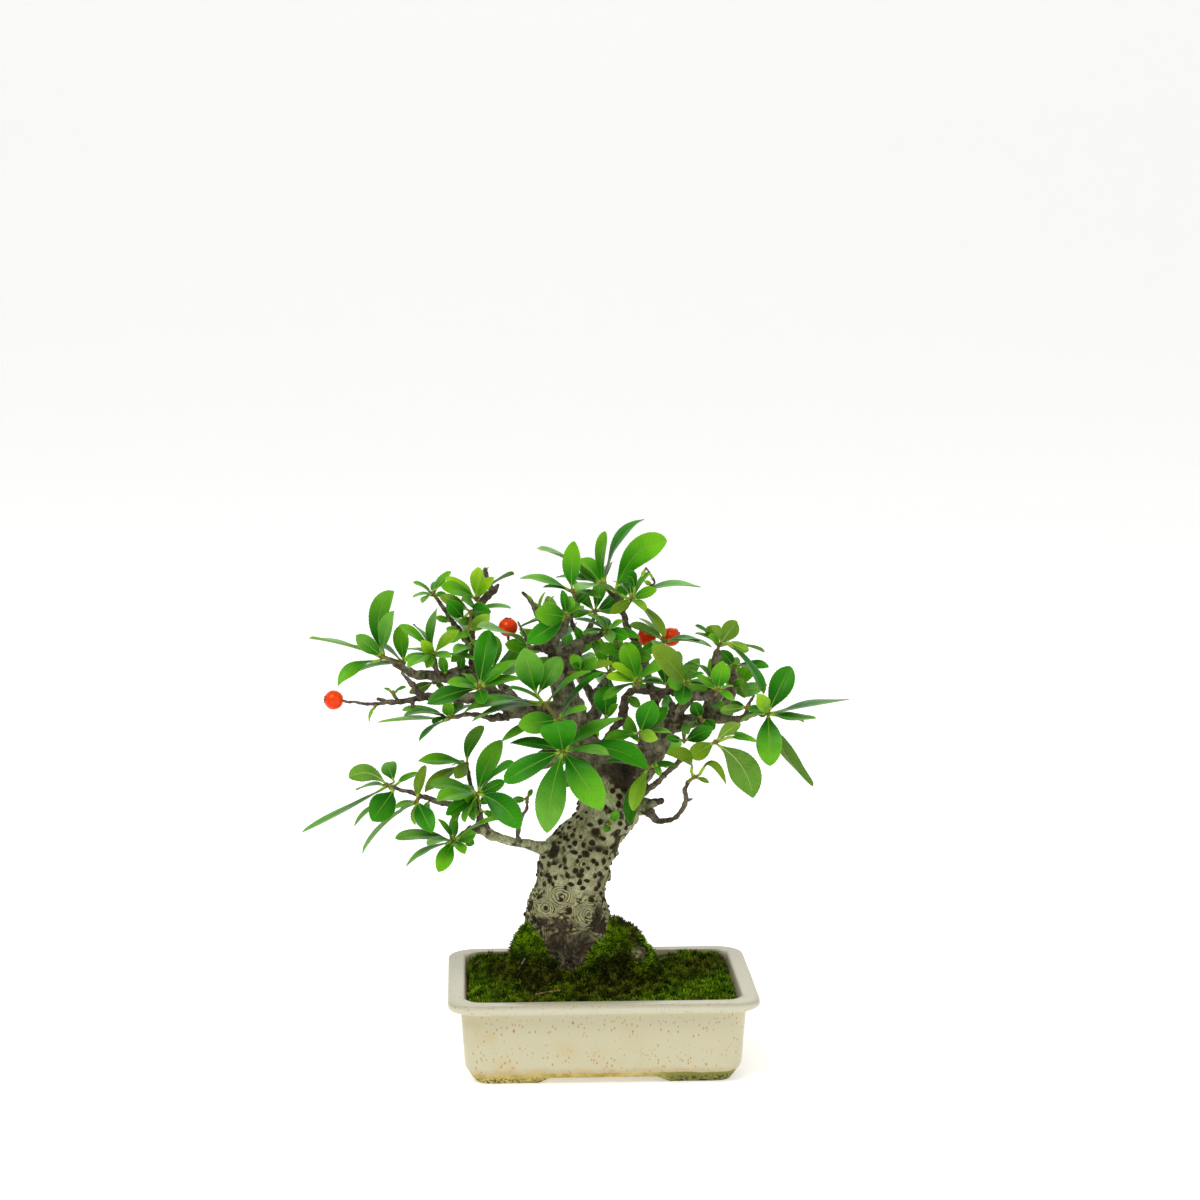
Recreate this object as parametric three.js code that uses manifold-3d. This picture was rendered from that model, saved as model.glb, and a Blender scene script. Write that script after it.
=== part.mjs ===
// A narrowleaf firethorn bonsai in its glazed rectangular pot.
// Millimetres, +Z up, the pot's long side along X and its front towards -Y.
// The tree is modelled round the middle of the pot's underside, and the finished
// group is then moved so that the origin is under the middle of the whole object.

import * as THREE from 'three';
import { mergeVertices } from 'three/addons/utils/BufferGeometryUtils.js';
import Module from 'manifold-3d';

const wasm = await Module();
wasm.setup();

// Driving dimensions of the pot
const POT_LENGTH = 125;
const POT_DEPTH = 91;
const POT_HEIGHT = 35;
const LIP_OVERHANG = 5.2;
const RIM_WIDTH = 7.4;
const CORNER_RADIUS = 11;
const FLOOR_TOP = 6.5;
const FOOT_INSET = 11.5;
const FOOT_HEIGHT = 2.6;
const FOOT_GAP_LENGTH = 48;
const FOOT_GAP_DEPTH = 28;
const DRAIN_RADIUS = 4.5;
const DRAIN_OFFSET = 26;
const SCREEN_SIZE = 17;
const SCREEN_THICKNESS = 0.8;

// Driving dimensions of the planting
const SOIL_TOP = 26;
const MOSS_EDGE = 32.2;
const CLEARANCE = 0.3;
const BERRY_DIAMETER = 7.9;
const BERRY_HEIGHT = 7.3;

// Driving dimensions of a leaf
const BLADE_THICKNESS = 0.8;
const BLADE_RATIO = 0.36;
const BLADE_WIDEST = 10.5;
const BLADE_FOLD = 0.22;
const BLADE_BOW = 0.07;
const PETIOLE_RADIUS = 0.45;
const CORE_RADIUS = 2;
const STUB_RADIUS = 0.9;

// The viewpoint that the photograph was taken from. Places read by eye in the
// photograph are given as across and down in its 1200 x 1200 frame, and near is
// the distance in mm in front of the upright plane through the pot's middle.
const FRAME_SIZE = 1200;
const FOCAL_LENGTH = 2838;
const VIEW_DISTANCE = 1135;
const VIEW_HEIGHT = 348;
const VIEW_TURN = THREE.MathUtils.degToRad(2.7);
const VIEW_TILT = THREE.MathUtils.degToRad(7.9);

const towardViewer = new THREE.Vector3(-Math.sin(VIEW_TURN), -Math.cos(VIEW_TURN), 0);
const viewRight = new THREE.Vector3(Math.cos(VIEW_TURN), -Math.sin(VIEW_TURN), 0);
const viewForward = new THREE.Vector3(
  Math.sin(VIEW_TURN) * Math.cos(VIEW_TILT),
  Math.cos(VIEW_TURN) * Math.cos(VIEW_TILT),
  -Math.sin(VIEW_TILT),
);
const viewUp = new THREE.Vector3().crossVectors(viewRight, viewForward);
const viewpoint = towardViewer.clone().multiplyScalar(VIEW_DISTANCE).setZ(VIEW_HEIGHT);

function placeAt(across, down, near) {
  const ray = viewForward.clone()
    .addScaledVector(viewRight, (across - FRAME_SIZE / 2) / FOCAL_LENGTH)
    .addScaledVector(viewUp, (FRAME_SIZE / 2 - down) / FOCAL_LENGTH);
  const reach = (near - VIEW_DISTANCE) / ray.dot(towardViewer);
  return viewpoint.clone().addScaledVector(ray, reach);
}

// One millimetre at the tree's distance, in the photograph's pixels
const PIXELS_PER_MM = placeAt(601, 700, 0).distanceTo(placeAt(600, 700, 0)) ** -1;

// The trunk from its foot in the soil to the fork at the top of the tree.
// Each row: across, down, near, thickness in mm.
const TRUNK = [
  [568, 1018, -4, 27],
  [568, 1000, -4, 31],
  [568, 962, -4, 34],
  [569, 935, -4, 34.5],
  [568, 914, -4, 35],
  [571, 888, -5, 28.5],
  [577, 862, -6, 31.5],
  [587, 842, -7, 28],
  [601, 821, -7, 25],
  [612, 802, -8, 25],
  [616, 783, -9, 22.5],
  [607, 765, -9, 18],
  [589, 754, -7, 15],
  [576, 739, -5, 13.5],
  [571, 722, -3, 12.4],
  [568, 705, -2, 11.4],
  [563, 687, -1, 10],
  [559, 667, 0, 9],
];

// Swellings and old scars on the trunk: across, down, side, size and height in mm.
// Side 1 is on the face towards the viewer, -1 on the far face.
const TRUNK_KNOTS = [
  [541, 908, 1, 5, 1.6],
  [584, 864, 1, 4.5, 1.3],
  [552, 850, 1, 4, 1.2],
  [610, 908, 1, 5, 1.4],
  [600, 845, 1, 5, 1.2],
  [534, 884, 1, 4, 1.0],
  [575, 912, 1, 5, 1.2],
  [596, 932, 1, 4, 1.4],
  [550, 930, 1, 5, 1.3],
  [570, 830, 1, 4.5, 1.0],
  [611, 880, 1, 4, 0.9],
  [545, 865, -1, 5, 1.5],
  [600, 870, -1, 6, 1.8],
  [575, 900, -1, 5, 1.6],
  [560, 925, -1, 6, 1.6],
  [610, 835, -1, 5, 1.4],
  [590, 815, -1, 5, 1.3],
];

// Roots that spread from the trunk's foot. Same columns as the trunk.
const ROOTS = {
  right: [
    [575, 925, 0, 22], [600, 939, 3, 18], [618, 947, 4, 15.5], [631, 960, 5, 13.5], [645, 977, 6, 11.5],
    [658, 993, 7, 9], [670, 1007, 9, 6],
  ],
  left: [[562, 925, 0, 22], [547, 939, 3, 18], [535, 953, 5, 15.5], [529, 970, 7, 12.5], [523, 990, 9, 9]],
  rear_right: [[572, 930, -9, 20], [592, 944, -17, 14], [610, 960, -24, 9], [622, 976, -28, 6]],
  rear_left: [[566, 930, -9, 20], [550, 944, -17, 14], [534, 960, -24, 9], [526, 974, -28, 6]],
};

// The roots that moss has grown over, with the number of stops it reaches along them
const MOSSY_ROOTS = { right: 4, left: 5 };
const MOSS_SLEEVE = 1.5;

// Mounds of moss over and between the roots: middle (across, down, near), spread and
// height in mm
const MOSS_MOUNDS = [
  [[611, 950, 1], 9, 8],
  [[534, 950, 3], 8, 7],
  [[604, 950, -20], 10, 5],
  [[546, 950, -19], 10, 5],
  [[640, 985, 12], 8, 2],
  [[570, 950, 13], 8, -9],
];

// Limbs, twigs, dead snags and thorns. Same columns as the trunk.
const BRANCHES = {
  right_limb: [
    [620, 785, -8, 17], [636, 771, -7, 14.5], [648, 757, -5, 11.8], [657, 746, -4, 10], [662, 735, -3, 9.2],
    [669, 725, -1, 8.6], [682, 723, 0, 7], [698, 720, 0, 5.6], [715, 719, 1, 4], [730, 719, 3, 3.2],
    [744, 717, 5, 2.8], [756, 714, 6, 2.5], [763, 714, 6.5, 2.2],
  ],
  right_rise: [
    [707, 718, 0, 6], [711, 704, -3, 6], [715, 690, -6, 5.2], [716, 668, -10, 4.6], [717, 653, -12, 3.6],
  ],
  right_rise_behind: [[718, 716, -1, 5], [729, 701, -11, 4], [732, 686, -18, 3.6], [733, 673, -23, 2.6]],
  right_shelf: [
    [668, 722, -1, 6], [677, 713, 0, 5], [685, 703, 2, 4.6], [692, 696, 4, 4.4], [704, 696, 7, 3.8],
    [714, 697, 11, 2.6],
  ],
  right_shelf_twig: [[689, 699, 3, 3], [687, 691, 6, 2.2]],
  right_shelf_snag: [[707, 697, 8, 2.4], [709, 690, 9, 1.6]],
  right_stub: [[669, 728, -1, 5], [672, 715, 1, 3.4], [672, 705, 2, 2.6]],
  cross_twig: [
    [600, 752, -12, 4], [608, 738, -14, 3.2], [615, 728, -15, 3], [622, 719, -16, 3.4],
    [624, 706, -16, 3.8], [627, 695, -16, 3], [638, 690, -15, 2.6], [650, 692, -13, 2.6],
    [664, 692, -9, 2.6], [680, 695, -4, 2.6], [690, 698, 2, 2.6],
  ],
  cross_twig_spur: [[640, 690, -14, 2], [638, 690, -4, 1.8], [638, 688, 4, 1.6]],
  back_limb: [
    [646, 756, -12, 7], [655, 728, -16, 4.4], [655, 704, -19, 3.6], [649, 682, -21, 3.4],
    [645, 663, -22, 3.2], [638, 648, -22, 3], [632, 638, -21, 2.8], [627, 625, -20, 2.6],
    [621, 609, -18, 2.4], [615, 597, -16, 2], [608, 590, -15, 1.6],
  ],
  back_limb_right: [[622, 611, -18, 2], [628, 604, -12, 1.6]],
  berry_twig_right: [[640, 651, -22, 2], [650, 650, -20, 1.7], [658, 646, -16, 1.5]],
  berry_stalk_right_a: [[651, 650, -19.8, 1.3], [651.7, 644.1, -19, 1.1]],
  berry_stalk_right_b: [[656, 647, -17.2, 1.3], [664.4, 642.8, -17.7, 1.1]],
  left_limb: [
    [582, 712, -2, 12], [562, 713, 1, 10.5], [541, 713, 5, 9.4], [522, 709, 8, 8.6], [506, 703, 10, 7.6],
    [494, 696, 9, 6.4], [482, 684, 7, 5.6], [472, 674, 7, 5.4], [460, 673, 8, 5.4], [446, 677, 9, 5],
    [432, 675, 10, 4.4], [414, 674, 9, 3.6], [400, 667, 8, 2.2], [390, 660, 7, 1.6],
  ],
  left_limb_thorn: [[424, 697, 14, 2.8], [413, 684, 14, 2.2], [402, 673, 14, 0.9]],
  left_hollow_spur: [[437, 676, 9, 2.6], [436, 679, 8, 1.8]],
  left_lower_twig: [
    [508, 704, 10, 5.5], [496, 700, 11, 5.4], [480, 698, 12, 5], [464, 698, 12, 4.6], [447, 697, 13, 3.8],
    [430, 697, 14, 3.2], [412, 700, 15, 2.3], [394, 702, 15, 2], [378, 699, 15, 1.3],
  ],
  left_lower_snag: [[413, 700, 15, 1.8], [412, 707, 16, 1]],
  left_lower_spur: [[398, 701, 15, 1.5], [395, 697, 16, 1.1]],
  left_berry_stalk: [[388, 702, 15, 1.5], [366, 704, 16, 1.2], [342.9, 700.7, 17.5, 1.1]],
  left_under_limb: [
    [524, 711, 9, 6], [514, 714, 11, 4], [503, 717, 13, 3.2], [492, 718, 14, 2.6], [478, 714, 14, 1.8],
    [466, 714, 14, 1.7], [456, 717, 14, 1.6],
  ],
  left_spur_low: [[438, 677, 11, 2.6], [436, 667, 11, 2], [435, 660, 11, 1.6]],
  left_spur_far: [[412, 674, 8, 2.4], [408, 669, -4, 1.6]],
  left_rise: [
    [474, 688, 8, 4], [473, 672, 6, 3.6], [473, 655, 2, 3], [471, 637, -1, 2.8], [473, 620, -6, 2.6],
    [477, 608, -11, 2.6], [480, 603, -13, 2.4],
  ],
  left_rise_far: [
    [474, 648, -1, 2.4], [462, 634, -8, 2.2], [452, 622, -13, 2], [445, 610, -15, 1.8],
    [438, 600, -16, 1.5],
  ],
  arch_twig: [[554, 648, -3, 3.4], [544, 649, -4, 2.6], [533, 648, -1, 2]],
  upper_left_snag: [
    [478, 607, -12, 2.8], [485, 599, -14, 3], [491, 592, -14, 3.1], [496, 588, -14, 2.4],
    [498, 585, -14, 1.4],
  ],
  upper_left_snag_fork: [
    [491, 592, -14, 2.4], [490, 584, -14, 2], [487, 576, -14, 1.8], [485, 569, -14, 1.6],
  ],
  upper_left_spur: [[474, 617, -7, 2], [472, 614, -5, 1.6]],
  upper_left_berry_stalk: [
    [538, 649, -3, 1.6], [524, 645, -4, 1.3], [514, 642, -2, 1.2], [509, 641, 0, 1.1], [508, 636.4, 1, 1.1],
  ],
  upper_left_arch_spur: [[535, 648, -1, 1.8], [532, 648, 0, 1.5]],
  upper_dead_twig: [
    [556, 636, -1, 3], [545, 622, -5, 2.2], [537, 611, -7, 2], [530, 600, -8, 1.7], [523, 593, -8, 1.2],
  ],
  top_left_limb: [
    [559, 672, 0, 8], [555, 655, 0, 6.4], [553, 641, 0, 5.2], [560, 631, 0, 4.4], [567, 618, -1, 3.4],
    [572, 605, -1, 2.6], [575, 597, 0, 1.8],
  ],
  top_left_stub: [[554, 651, 2, 4], [545, 650, 4, 3], [543, 645, 4, 1.6]],
  top_right_limb: [
    [560, 668, -2, 7], [566, 655, -2, 6], [574, 647, -3, 5], [583, 641, -4, 4], [592, 639, -4, 3.2],
    [602, 634, -3, 2],
  ],
  top_right_fork: [[581, 642, -4, 3], [577, 633, -6, 2.4], [573, 622, -6, 1.8], [570, 615, -6, 1.2]],
  low_left_limb: [
    [566, 849, -4, 10], [552, 848, -1, 7.4], [541, 848, 2, 5.6], [528, 844, 5, 4.3], [512, 842, 7, 3.7],
    [500, 838, 9, 3.8], [488, 833, 11, 4.4], [480, 826, 12, 3.6], [480, 815, 12, 2.4], [478, 803, 13, 2],
  ],
  low_left_arm: [
    [479, 806, 12.5, 2.8], [470, 803, 13, 2.8], [461, 806, 14, 2.6], [446, 803, 15, 2.3], [430, 799, 15, 2],
    [415, 795, 14, 1.8], [400, 790, 13, 1.6], [393, 787, 12, 1.4],
  ],
  low_left_peg: [[488, 833, 11, 3], [487, 826, 11.5, 2], [486.5, 822, 12, 1.8]],
  low_left_drop: [[484, 831, 11, 3.4], [472, 829, 14, 3], [464, 833, 16, 2.2], [458, 838, 17.5, 1.7]],
  low_left_rise: [[479, 806, 12, 2], [472, 792, 2, 1.8], [468, 772, -4, 1.5]],
  low_left_sprig: [
    [519, 842, 7, 2], [519, 829, 8, 1.7], [522, 816, 8, 1.5], [527, 808, 8, 1.2], [527, 803, 8, 1],
  ],
  front_spur: [[562, 712, 5, 5], [561, 726, 14, 3.4], [562, 741, 21, 2.4]],
  front_spur_left: [[545, 712, 8, 4], [545, 709, 15, 2.2]],
  front_spur_right: [[560, 722, 10, 3], [558, 722, 15, 2.2]],
  crown_spur: [[652, 752, -1, 4], [646, 744, 7, 2.8], [641, 738, 11, 1.8]],
  trunk_spur: [[636, 780, -4, 5], [643, 773, 3, 2.8], [647, 770, 5, 1.8]],
  right_stump: [
    [628, 807, -6, 9], [641, 806, -3, 7.2], [649, 804, -1, 5], [655, 803, 0, 3.2], [661, 801, 1, 2.4],
  ],
  curl_twig: [
    [636, 808, -3, 6], [647, 810, 0, 4.6], [652, 815, 3, 3.2], [658, 820, 4, 2.3], [667, 821, 6, 2],
    [676, 817, 8, 1.9], [684, 807, 10, 1.9], [686, 798, 11, 1.8], [684, 790, 11, 1.8], [688, 782, 12, 1.5],
  ],
  curl_thorn: [[685, 801, 10.5, 1.4], [692, 799, 12, 0.8]],
  low_right_twig: [
    [628, 802, -6, 5], [640, 795, -2, 3], [651, 787, 1, 2.4], [673, 767, 5, 2.2], [685, 755, 8, 2.4],
    [700, 749, 11, 2.4], [710, 745, 13, 2],
  ],
  under_spur: [[683, 724, 1, 3], [684, 735, 5, 1.5]],
  shelf_spur: [[700, 720, 1, 3], [701, 720, 4, 1.8]],
  old_stub: [[578, 742, -5, 10], [562, 750, -4, 8.8], [549, 757, -3, 8.4], [541, 760.5, -3, 7.4]],
  stem_front_spur: [[583, 728, -2, 3.6], [592, 723, 2, 2.6], [600, 721, 4, 1.8]],
  right_thorn: [[746, 716, 5, 2], [749, 705, 8, 1.4], [754, 696, 9, 0.8]],
  rear_limb_top: [
    [580, 728, -8, 8], [597, 711, -18, 5], [590, 693, -29, 4], [579, 677, -37, 3], [568, 664, -41, 2],
  ],
  rear_limb_top_fork: [[591, 697, -27, 3.2], [599, 688, -33, 2.6], [606, 679, -38, 1.8]],
  rear_limb_right: [
    [636, 770, -12, 8], [643, 750, -22, 5.4], [646, 735, -28, 4.6], [648, 718, -34, 4],
    [655, 703, -40, 3.2], [663, 695, -44, 2],
  ],
  rear_limb_right_fork: [[645, 741, -26, 3.2], [642, 742, -34, 2.4], [640, 744, -41, 1.8]],
  rear_limb_low: [
    [600, 815, -16, 8], [593, 800, -26, 5.4], [585, 785, -34, 4], [577, 768, -41, 2.8],
    [573, 761, -44, 1.8],
  ],
  rear_limb_low_fork: [[590, 795, -29, 3], [596, 790, -38, 2.2], [600, 788, -43, 1.6]],
  rear_limb_left: [
    [522, 708, 4, 6], [515, 700, -8, 4.4], [506, 690, -18, 3.4], [498, 681, -26, 2.4],
    [495, 676, -29, 1.6],
  ],
  rear_limb_far_right: [
    [690, 721, 0, 5], [702, 712, -12, 3.6], [716, 700, -22, 2.8], [723, 694, -28, 1.8],
  ],
  rear_leader: [
    [563, 690, -4, 7], [570, 668, -14, 5], [580, 648, -23, 3.8], [590, 628, -30, 2.6],
    [594, 618, -33, 1.6],
  ],
  rear_leader_fork: [[573, 662, -17, 3], [563, 648, -24, 2.2], [556, 638, -28, 1.6]],
};

// The leafy shoots that show in the photograph. Each has its name, the place of its
// growing point (across, down, near), and a row for each leaf: the tip's across and
// down, how far the tip stands nearer than the growing point in mm, the leaf's width
// as seen in pixels, and 1 where its upper side shows or -1 where its underside does.
// Four more numbers, where given, are a leaf foot away from the growing point, across
// and down, and then a place that the middle of an arched blade passes through.
// Two rows of one name are one branchlet, with a stem between its growing points.
const SEEN_SPRAYS = [
  ['spray_front_crown', [563, 751, 25], [
    [547, 833, 8, 30, 1, 563, 751, 552, 792], [603, 809, 10, 31, 1], [504, 782, 6, 22, 1],
    [557, 722, 16, 36, 1],
    [510, 743, -4, 13, 1], [648, 770, 4, 18, 1, 563, 751, 611, 749], [609, 755, 12, 10, 1],
    [623, 718, -4, 14, 1],
    [612, 804, -2, 9, 1],
  ]],
  ['spray_front_left', [545, 704, 19], [
    [524, 648, 2, 28, 1, 536, 694], [560, 657, -8, 20, 1, 538, 694], [591, 671, 4, 7, 1],
    [464, 712, 5, 9, 1, 536, 702, 500, 701], [472, 721, 3, 6, 1], [509, 688, 12, 6, 1],
  ]],
  ['spray_front_left', [558, 720, 19], [
    [602, 672, -2, 8, 1], [518, 725, 10, 22, 1], [501, 742, 2, 9, 1], [587, 709, 12, 8, 1],
  ]],
  ['spray_left_limb', [479, 688, 18], [
    [489, 630, -8, 23, 1], [517, 660, 2, 12, 1], [521, 679, 8, 9, 1], [447, 683, 12, 12, 1],
    [427, 704, 6, 16, 1], [484, 704, 12, 14, 1], [466, 675, -10, 9, 1], [461, 673, -12, 6, 1],
  ]],
  ['spray_left_under', [449, 718, 15], [
    [402, 710, 2, 8, 1], [378, 722, 6, 6, 1, 449, 718, 414, 719], [419, 741, 6, 5, 1], [405, 716, 12, 4, 1],
    [447, 700, 8, 12, 1], [463, 701, -8, 9, 1], [477, 704, -4, 5, 1], [433, 724, 12, 6, 1],
  ]],
  ['spray_left_inner', [433, 655, 11], [
    [421, 640, 10, 12, 1], [399, 625, 2, 9, 1], [459, 630, -2, 10, 1], [451, 657, 10, 9, 1],
    [426, 668, 10, 10, 1], [406, 649, -6, 4, 1], [404, 661, 8, 8, 1], [408, 668, 14, 11, 1],
    [437, 608, -8, 8, 1], [413, 624, -10, 4, 1], [475, 660, -4, 4, 1],
  ]],
  ['spray_left_hollow', [434, 682, 8], [[409, 693, -2, 11, -1], [444, 688, 2, 6, 1]]],
  ['spray_left_end', [383, 657, 5], [
    [309, 638, 4, 5, 1, 383, 657, 346, 645], [356, 635, 2, 16, 1],
    [394, 591, -6, 20, 1, 383, 657, 379, 617], [394, 611, 8, 12, 1],
    [338, 686, 10, 12, 1, 379, 660, 355, 668],
  ]],
  ['spray_left_end', [404, 663, -3], [[352, 674, 2, 5, 1], [366, 640, -6, 5, 1], [399, 626, -4, 16, 1]]],
  ['spray_left_shoot', [393, 693, 17], [[406, 687, 3, 4, 1], [384, 688, -2, 3, 1]]],
  ['spray_upper_left', [469, 631, 1], [
    [490, 615, 8, 14, 1], [450, 643, 4, 7, 1], [451, 662, 6, 12, 1, 472, 642], [461, 637, 12, 8, 1],
  ]],
  ['spray_upper_left', [471, 612, -5], [
    [447, 600, 10, 16, 1, 464, 618], [440, 596, -4, 12, 1], [511, 608, 6, 6, 1], [491, 612, 12, 20, 1],
  ]],
  ['spray_upper_left_top', [476, 599, -13], [
    [478, 567, -6, 15, 1], [494, 577, 6, 11, 1], [445, 578, 2, 9, 1], [441, 586, 8, 14, 1],
    [488, 567, -12, 9, 1], [514, 574, -4, 4, 1],
  ]],
  ['spray_upper_left_tip', [433, 594, -16], [
    [451, 571, -4, 8, 1], [413, 582, 2, 5, 1], [413, 597, 6, 4, 1], [422, 603, 10, 5, 1],
    [437, 581, -10, 7, 1], [448, 596, 4, 6, 1],
  ]],
  ['spray_upper_left_arch', [530, 648, 2], [[477, 627, 10, 5, 1], [505, 644, 6, 14, 1]]],
  ['spray_crown_left', [572, 591, 1], [
    [574, 541, 4, 18, 1], [520, 578, 4, 8, 1], [543, 587, 10, 6, 1], [601, 598, 6, 7, 1],
    [590, 584, -12, 5, 1],
  ]],
  ['spray_crown_top', [603, 585, -14], [
    [581, 558, -8, 20, 1], [556, 577, -2, 9, 1], [605, 531, -6, 14, 1],
    [644, 519, 0, 11, 1, 603, 585, 618, 543],
    [667, 541, 5, 27, 1, 614, 593, 637, 554], [612, 562, -14, 9, 1], [537, 548, -2, 6, 1],
  ]],
  ['spray_crown_right', [632, 599, -9], [
    [665, 637, 4, 10, 1], [575, 590, 6, 6, 1, 626, 597, 600, 586], [628, 573, -14, 15, 1],
    [614, 581, -10, 7, 1], [657, 590, 8, 11, 1], [701, 587, 2, 5, 1, 638, 593], [610, 613, 6, 11, 1],
    [645, 611, 12, 9, 1], [650, 572, -10, 8, 1], [617, 584, 8, 14, 1, 634, 597, 631, 577],
  ]],
  ['spray_crown_front', [566, 617, 6], [
    [527, 643, 8, 20, 1], [535, 612, 12, 22, 1], [571, 596, -8, 12, 1], [562, 590, -12, 9, 1],
    [543, 603, -4, 10, 1], [584, 608, 10, 4, 1], [520, 627, 4, 4, 1], [547, 629, 14, 7, 1],
  ]],
  ['spray_crown_inner', [608, 631, 0], [
    [575, 619, 4, 5, 1], [588, 615, 8, 4, 1], [603, 616, -10, 8, 1], [623, 621, 6, 6, 1],
    [629, 637, 10, 14, 1], [612, 643, 12, 12, 1], [640, 638, 4, 9, 1], [582, 634, 6, 6, 1],
  ]],
  ['spray_crown_inner', [623, 652, -11], [
    [596, 646, 6, 13, 1], [641, 643, 6, 12, 1], [652, 658, 4, 14, 1],
  ]],
  ['spray_stem_top', [580, 672, 6], [
    [613, 663, 2, 9, 1], [573, 654, -6, 12, 1], [597, 657, 8, 13, 1], [572, 664, 10, 8, 1],
  ]],
  ['spray_stem_front', [606, 719, 6], [[605, 687, -4, 24, 1], [618, 704, 6, 8, 1]]],
  ['spray_right_inner', [638, 682, 9], [
    [625, 642, -4, 21, 1], [612, 664, 4, 10, 1], [606, 677, 8, 10, 1], [603, 700, 6, 8, 1],
    [669, 655, 4, 7, 1], [661, 669, 10, 8, 1], [666, 685, 4, 5, 1], [663, 680, -6, 3, 1],
  ]],
  ['spray_right_front', [640, 733, 15], [
    [653, 700, 4, 23, 1], [667, 707, -6, 14, 1], [604, 740, 6, 12, 1], [658, 739, 12, 13, 1],
    [672, 733, 2, 6, 1],
  ]],
  ['spray_right_low', [648, 767, 8], [
    [633, 811, 6, 15, 1], [629, 824, -1, 16, 1], [606, 762, 3, 9, 1], [660, 776, 4, 7, 1, 656, 763],
    [667, 768, -3, 4, 1, 663, 762], [678, 766, -6, 6, 1],
  ]],
  ['spray_trunk_sprout', [610, 824, 9.5], [[618, 811, 0, 9, 1], [604, 832, 4, 8, 1]]],
  ['spray_berries', [664, 641, -12], [
    [630, 624, 4, 11, -1], [641, 653, 4, 12, 1], [639, 618, -4, 3, 1], [700, 640, 3, 6, 1],
    [712, 647, -3, 3, 1],
  ]],
  ['spray_right_broad', [685, 683, 9], [
    [652, 646, 8, 24, 1], [652, 640, -6, 16, 1], [667, 682, 12, 16, 1], [681, 705, 8, 18, 1],
    [704, 673, 3, 4, 1], [713, 689, 4, 3, 1],
  ]],
  ['spray_right_shelf', [718, 690, 13], [
    [723, 661, 2, 19, 1], [697, 677, 4, 8, 1], [733, 686, 3, 3, 1], [733, 701, 8, 7, 1],
    [686, 664, -4, 4, 1, 711, 684, 703, 668], [686, 670, -8, 3, 1, 711, 685],
  ]],
  ['spray_right_top', [719, 645, -12], [
    [711, 625, 6, 17, -1], [737, 621, 4, 18, -1], [695, 625, 3, 5, 1], [695, 633, 6, 4, 1],
    [708, 636, 10, 7, 1], [764, 694, 10, 9, 1, 728, 643], [749, 651, 3, 10, -1, 728, 642],
    [764, 652, -6, 3, 1],
  ]],
  ['spray_right_top_behind', [734, 666, -24], [
    [769, 667, 5, 9, 1], [745, 698, 3, 14, -1], [721, 650, 4, 13, 1],
  ]],
  ['spray_right_end', [768, 713, 8], [
    [790, 666, -6, 24, 1], [757, 694, 12, 14, 1], [849, 699, 4, 9, 1, 768, 713, 808, 706],
    [816, 718, 6, 10, 1, 768, 713, 792, 718],
    [804, 722, -5, 7, -1], [770, 766, 12, 26, 1], [813, 786, -5, 13, -1, 768, 713, 787, 755],
    [748, 710, 7, 8, 1],
    [740, 722, -6, 4, -1],
  ]],
  ['spray_right_thorn', [748, 708, 11], [[720, 711, 3, 10, -1], [731, 703, -6, 8, 1]]],
  ['spray_right_drop', [715, 742, 14], [
    [753, 798, 6, 31, -1, 718, 745, 742, 767], [757, 742, 4, 7, 1, 728, 737],
    [750, 738, -6, 5, 1, 726, 734],
    [740, 723, 8, 12, -1], [690, 757, -10, 18, 1],
  ]],
  ['spray_right_under', [684, 741, 7], [[713, 728, 3, 16, 1], [666, 737, 2, 8, 1]]],
  ['spray_right_nook', [701, 719, 6], [[693, 702, 3, 14, 1], [715, 729, 3, 12, 1]]],
  ['spray_curl_end', [694, 777, 13], [
    [667, 754, 2, 11, 1, 692, 771, 688, 758], [726, 784, 3, 8, 1, 699, 774, 712, 764],
    [709, 783, 3, 5, 1],
  ]],
  ['spray_low_inner', [478, 794, 14], [
    [502, 740, -6, 20, 1, 478, 794, 486, 767], [514, 762, 4, 8, 1], [505, 781, 10, 12, 1],
    [520, 829, 12, 26, 1, 478, 794, 502, 806],
    [446, 815, 8, 14, 1], [428, 784, 0, 12, 1], [437, 801, 12, 12, 1], [499, 820, -2, 7, 1, 480, 810],
    [465, 822, 14, 5, 1], [458, 786, -8, 6, 1],
  ]],
  ['spray_low_top', [467, 764, -5], [
    [484, 726, -8, 14, 1, 467, 764, 471, 743], [418, 761, 3, 13, 1], [455, 778, 10, 14, 1],
    [453, 765, -10, 6, 1],
    [425, 792, 8, 12, 1],
  ]],
  ['spray_low_middle', [417, 801, 18], [
    [362, 853, 8, 5, 1], [395, 808, 4, 6, 1], [398, 814, -6, 5, 1], [432, 833, 12, 20, 1],
    [415, 825, 4, 6, 1], [425, 765, -8, 12, 1],
  ]],
  ['spray_low_end', [387, 785, 11], [
    [302, 832, 6, 7, 1, 387, 785, 344, 811], [349, 778, 3, 18, -1, 387, 785, 368, 773],
    [387, 762, -14, 17, 1, 394, 782], [356, 790, -8, 4, 1],
    [372, 821, 14, 27, 1, 394, 790], [419, 773, -6, 7, 1, 395, 785], [354, 826, 9, 5, 1, 394, 796],
  ]],
  ['spray_low_drop', [453, 841, 19], [
    [395, 838, 4, 13, 1], [406, 866, 8, 7, 1], [438, 872, 10, 17, 1], [465, 854, 12, 10, 1],
    [476, 833, -6, 13, 1], [460, 808, -6, 7, 1], [498, 819, -8, 5, 1], [452, 821, 12, 8, 1],
    [438, 819, 2, 6, 1], [427, 845, 14, 8, 1],
  ]],
  ['spray_low_sprig', [527, 799, 8], [[512, 800, 3, 7, 1], [532, 789, -3, 5, 1]]],
];

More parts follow.
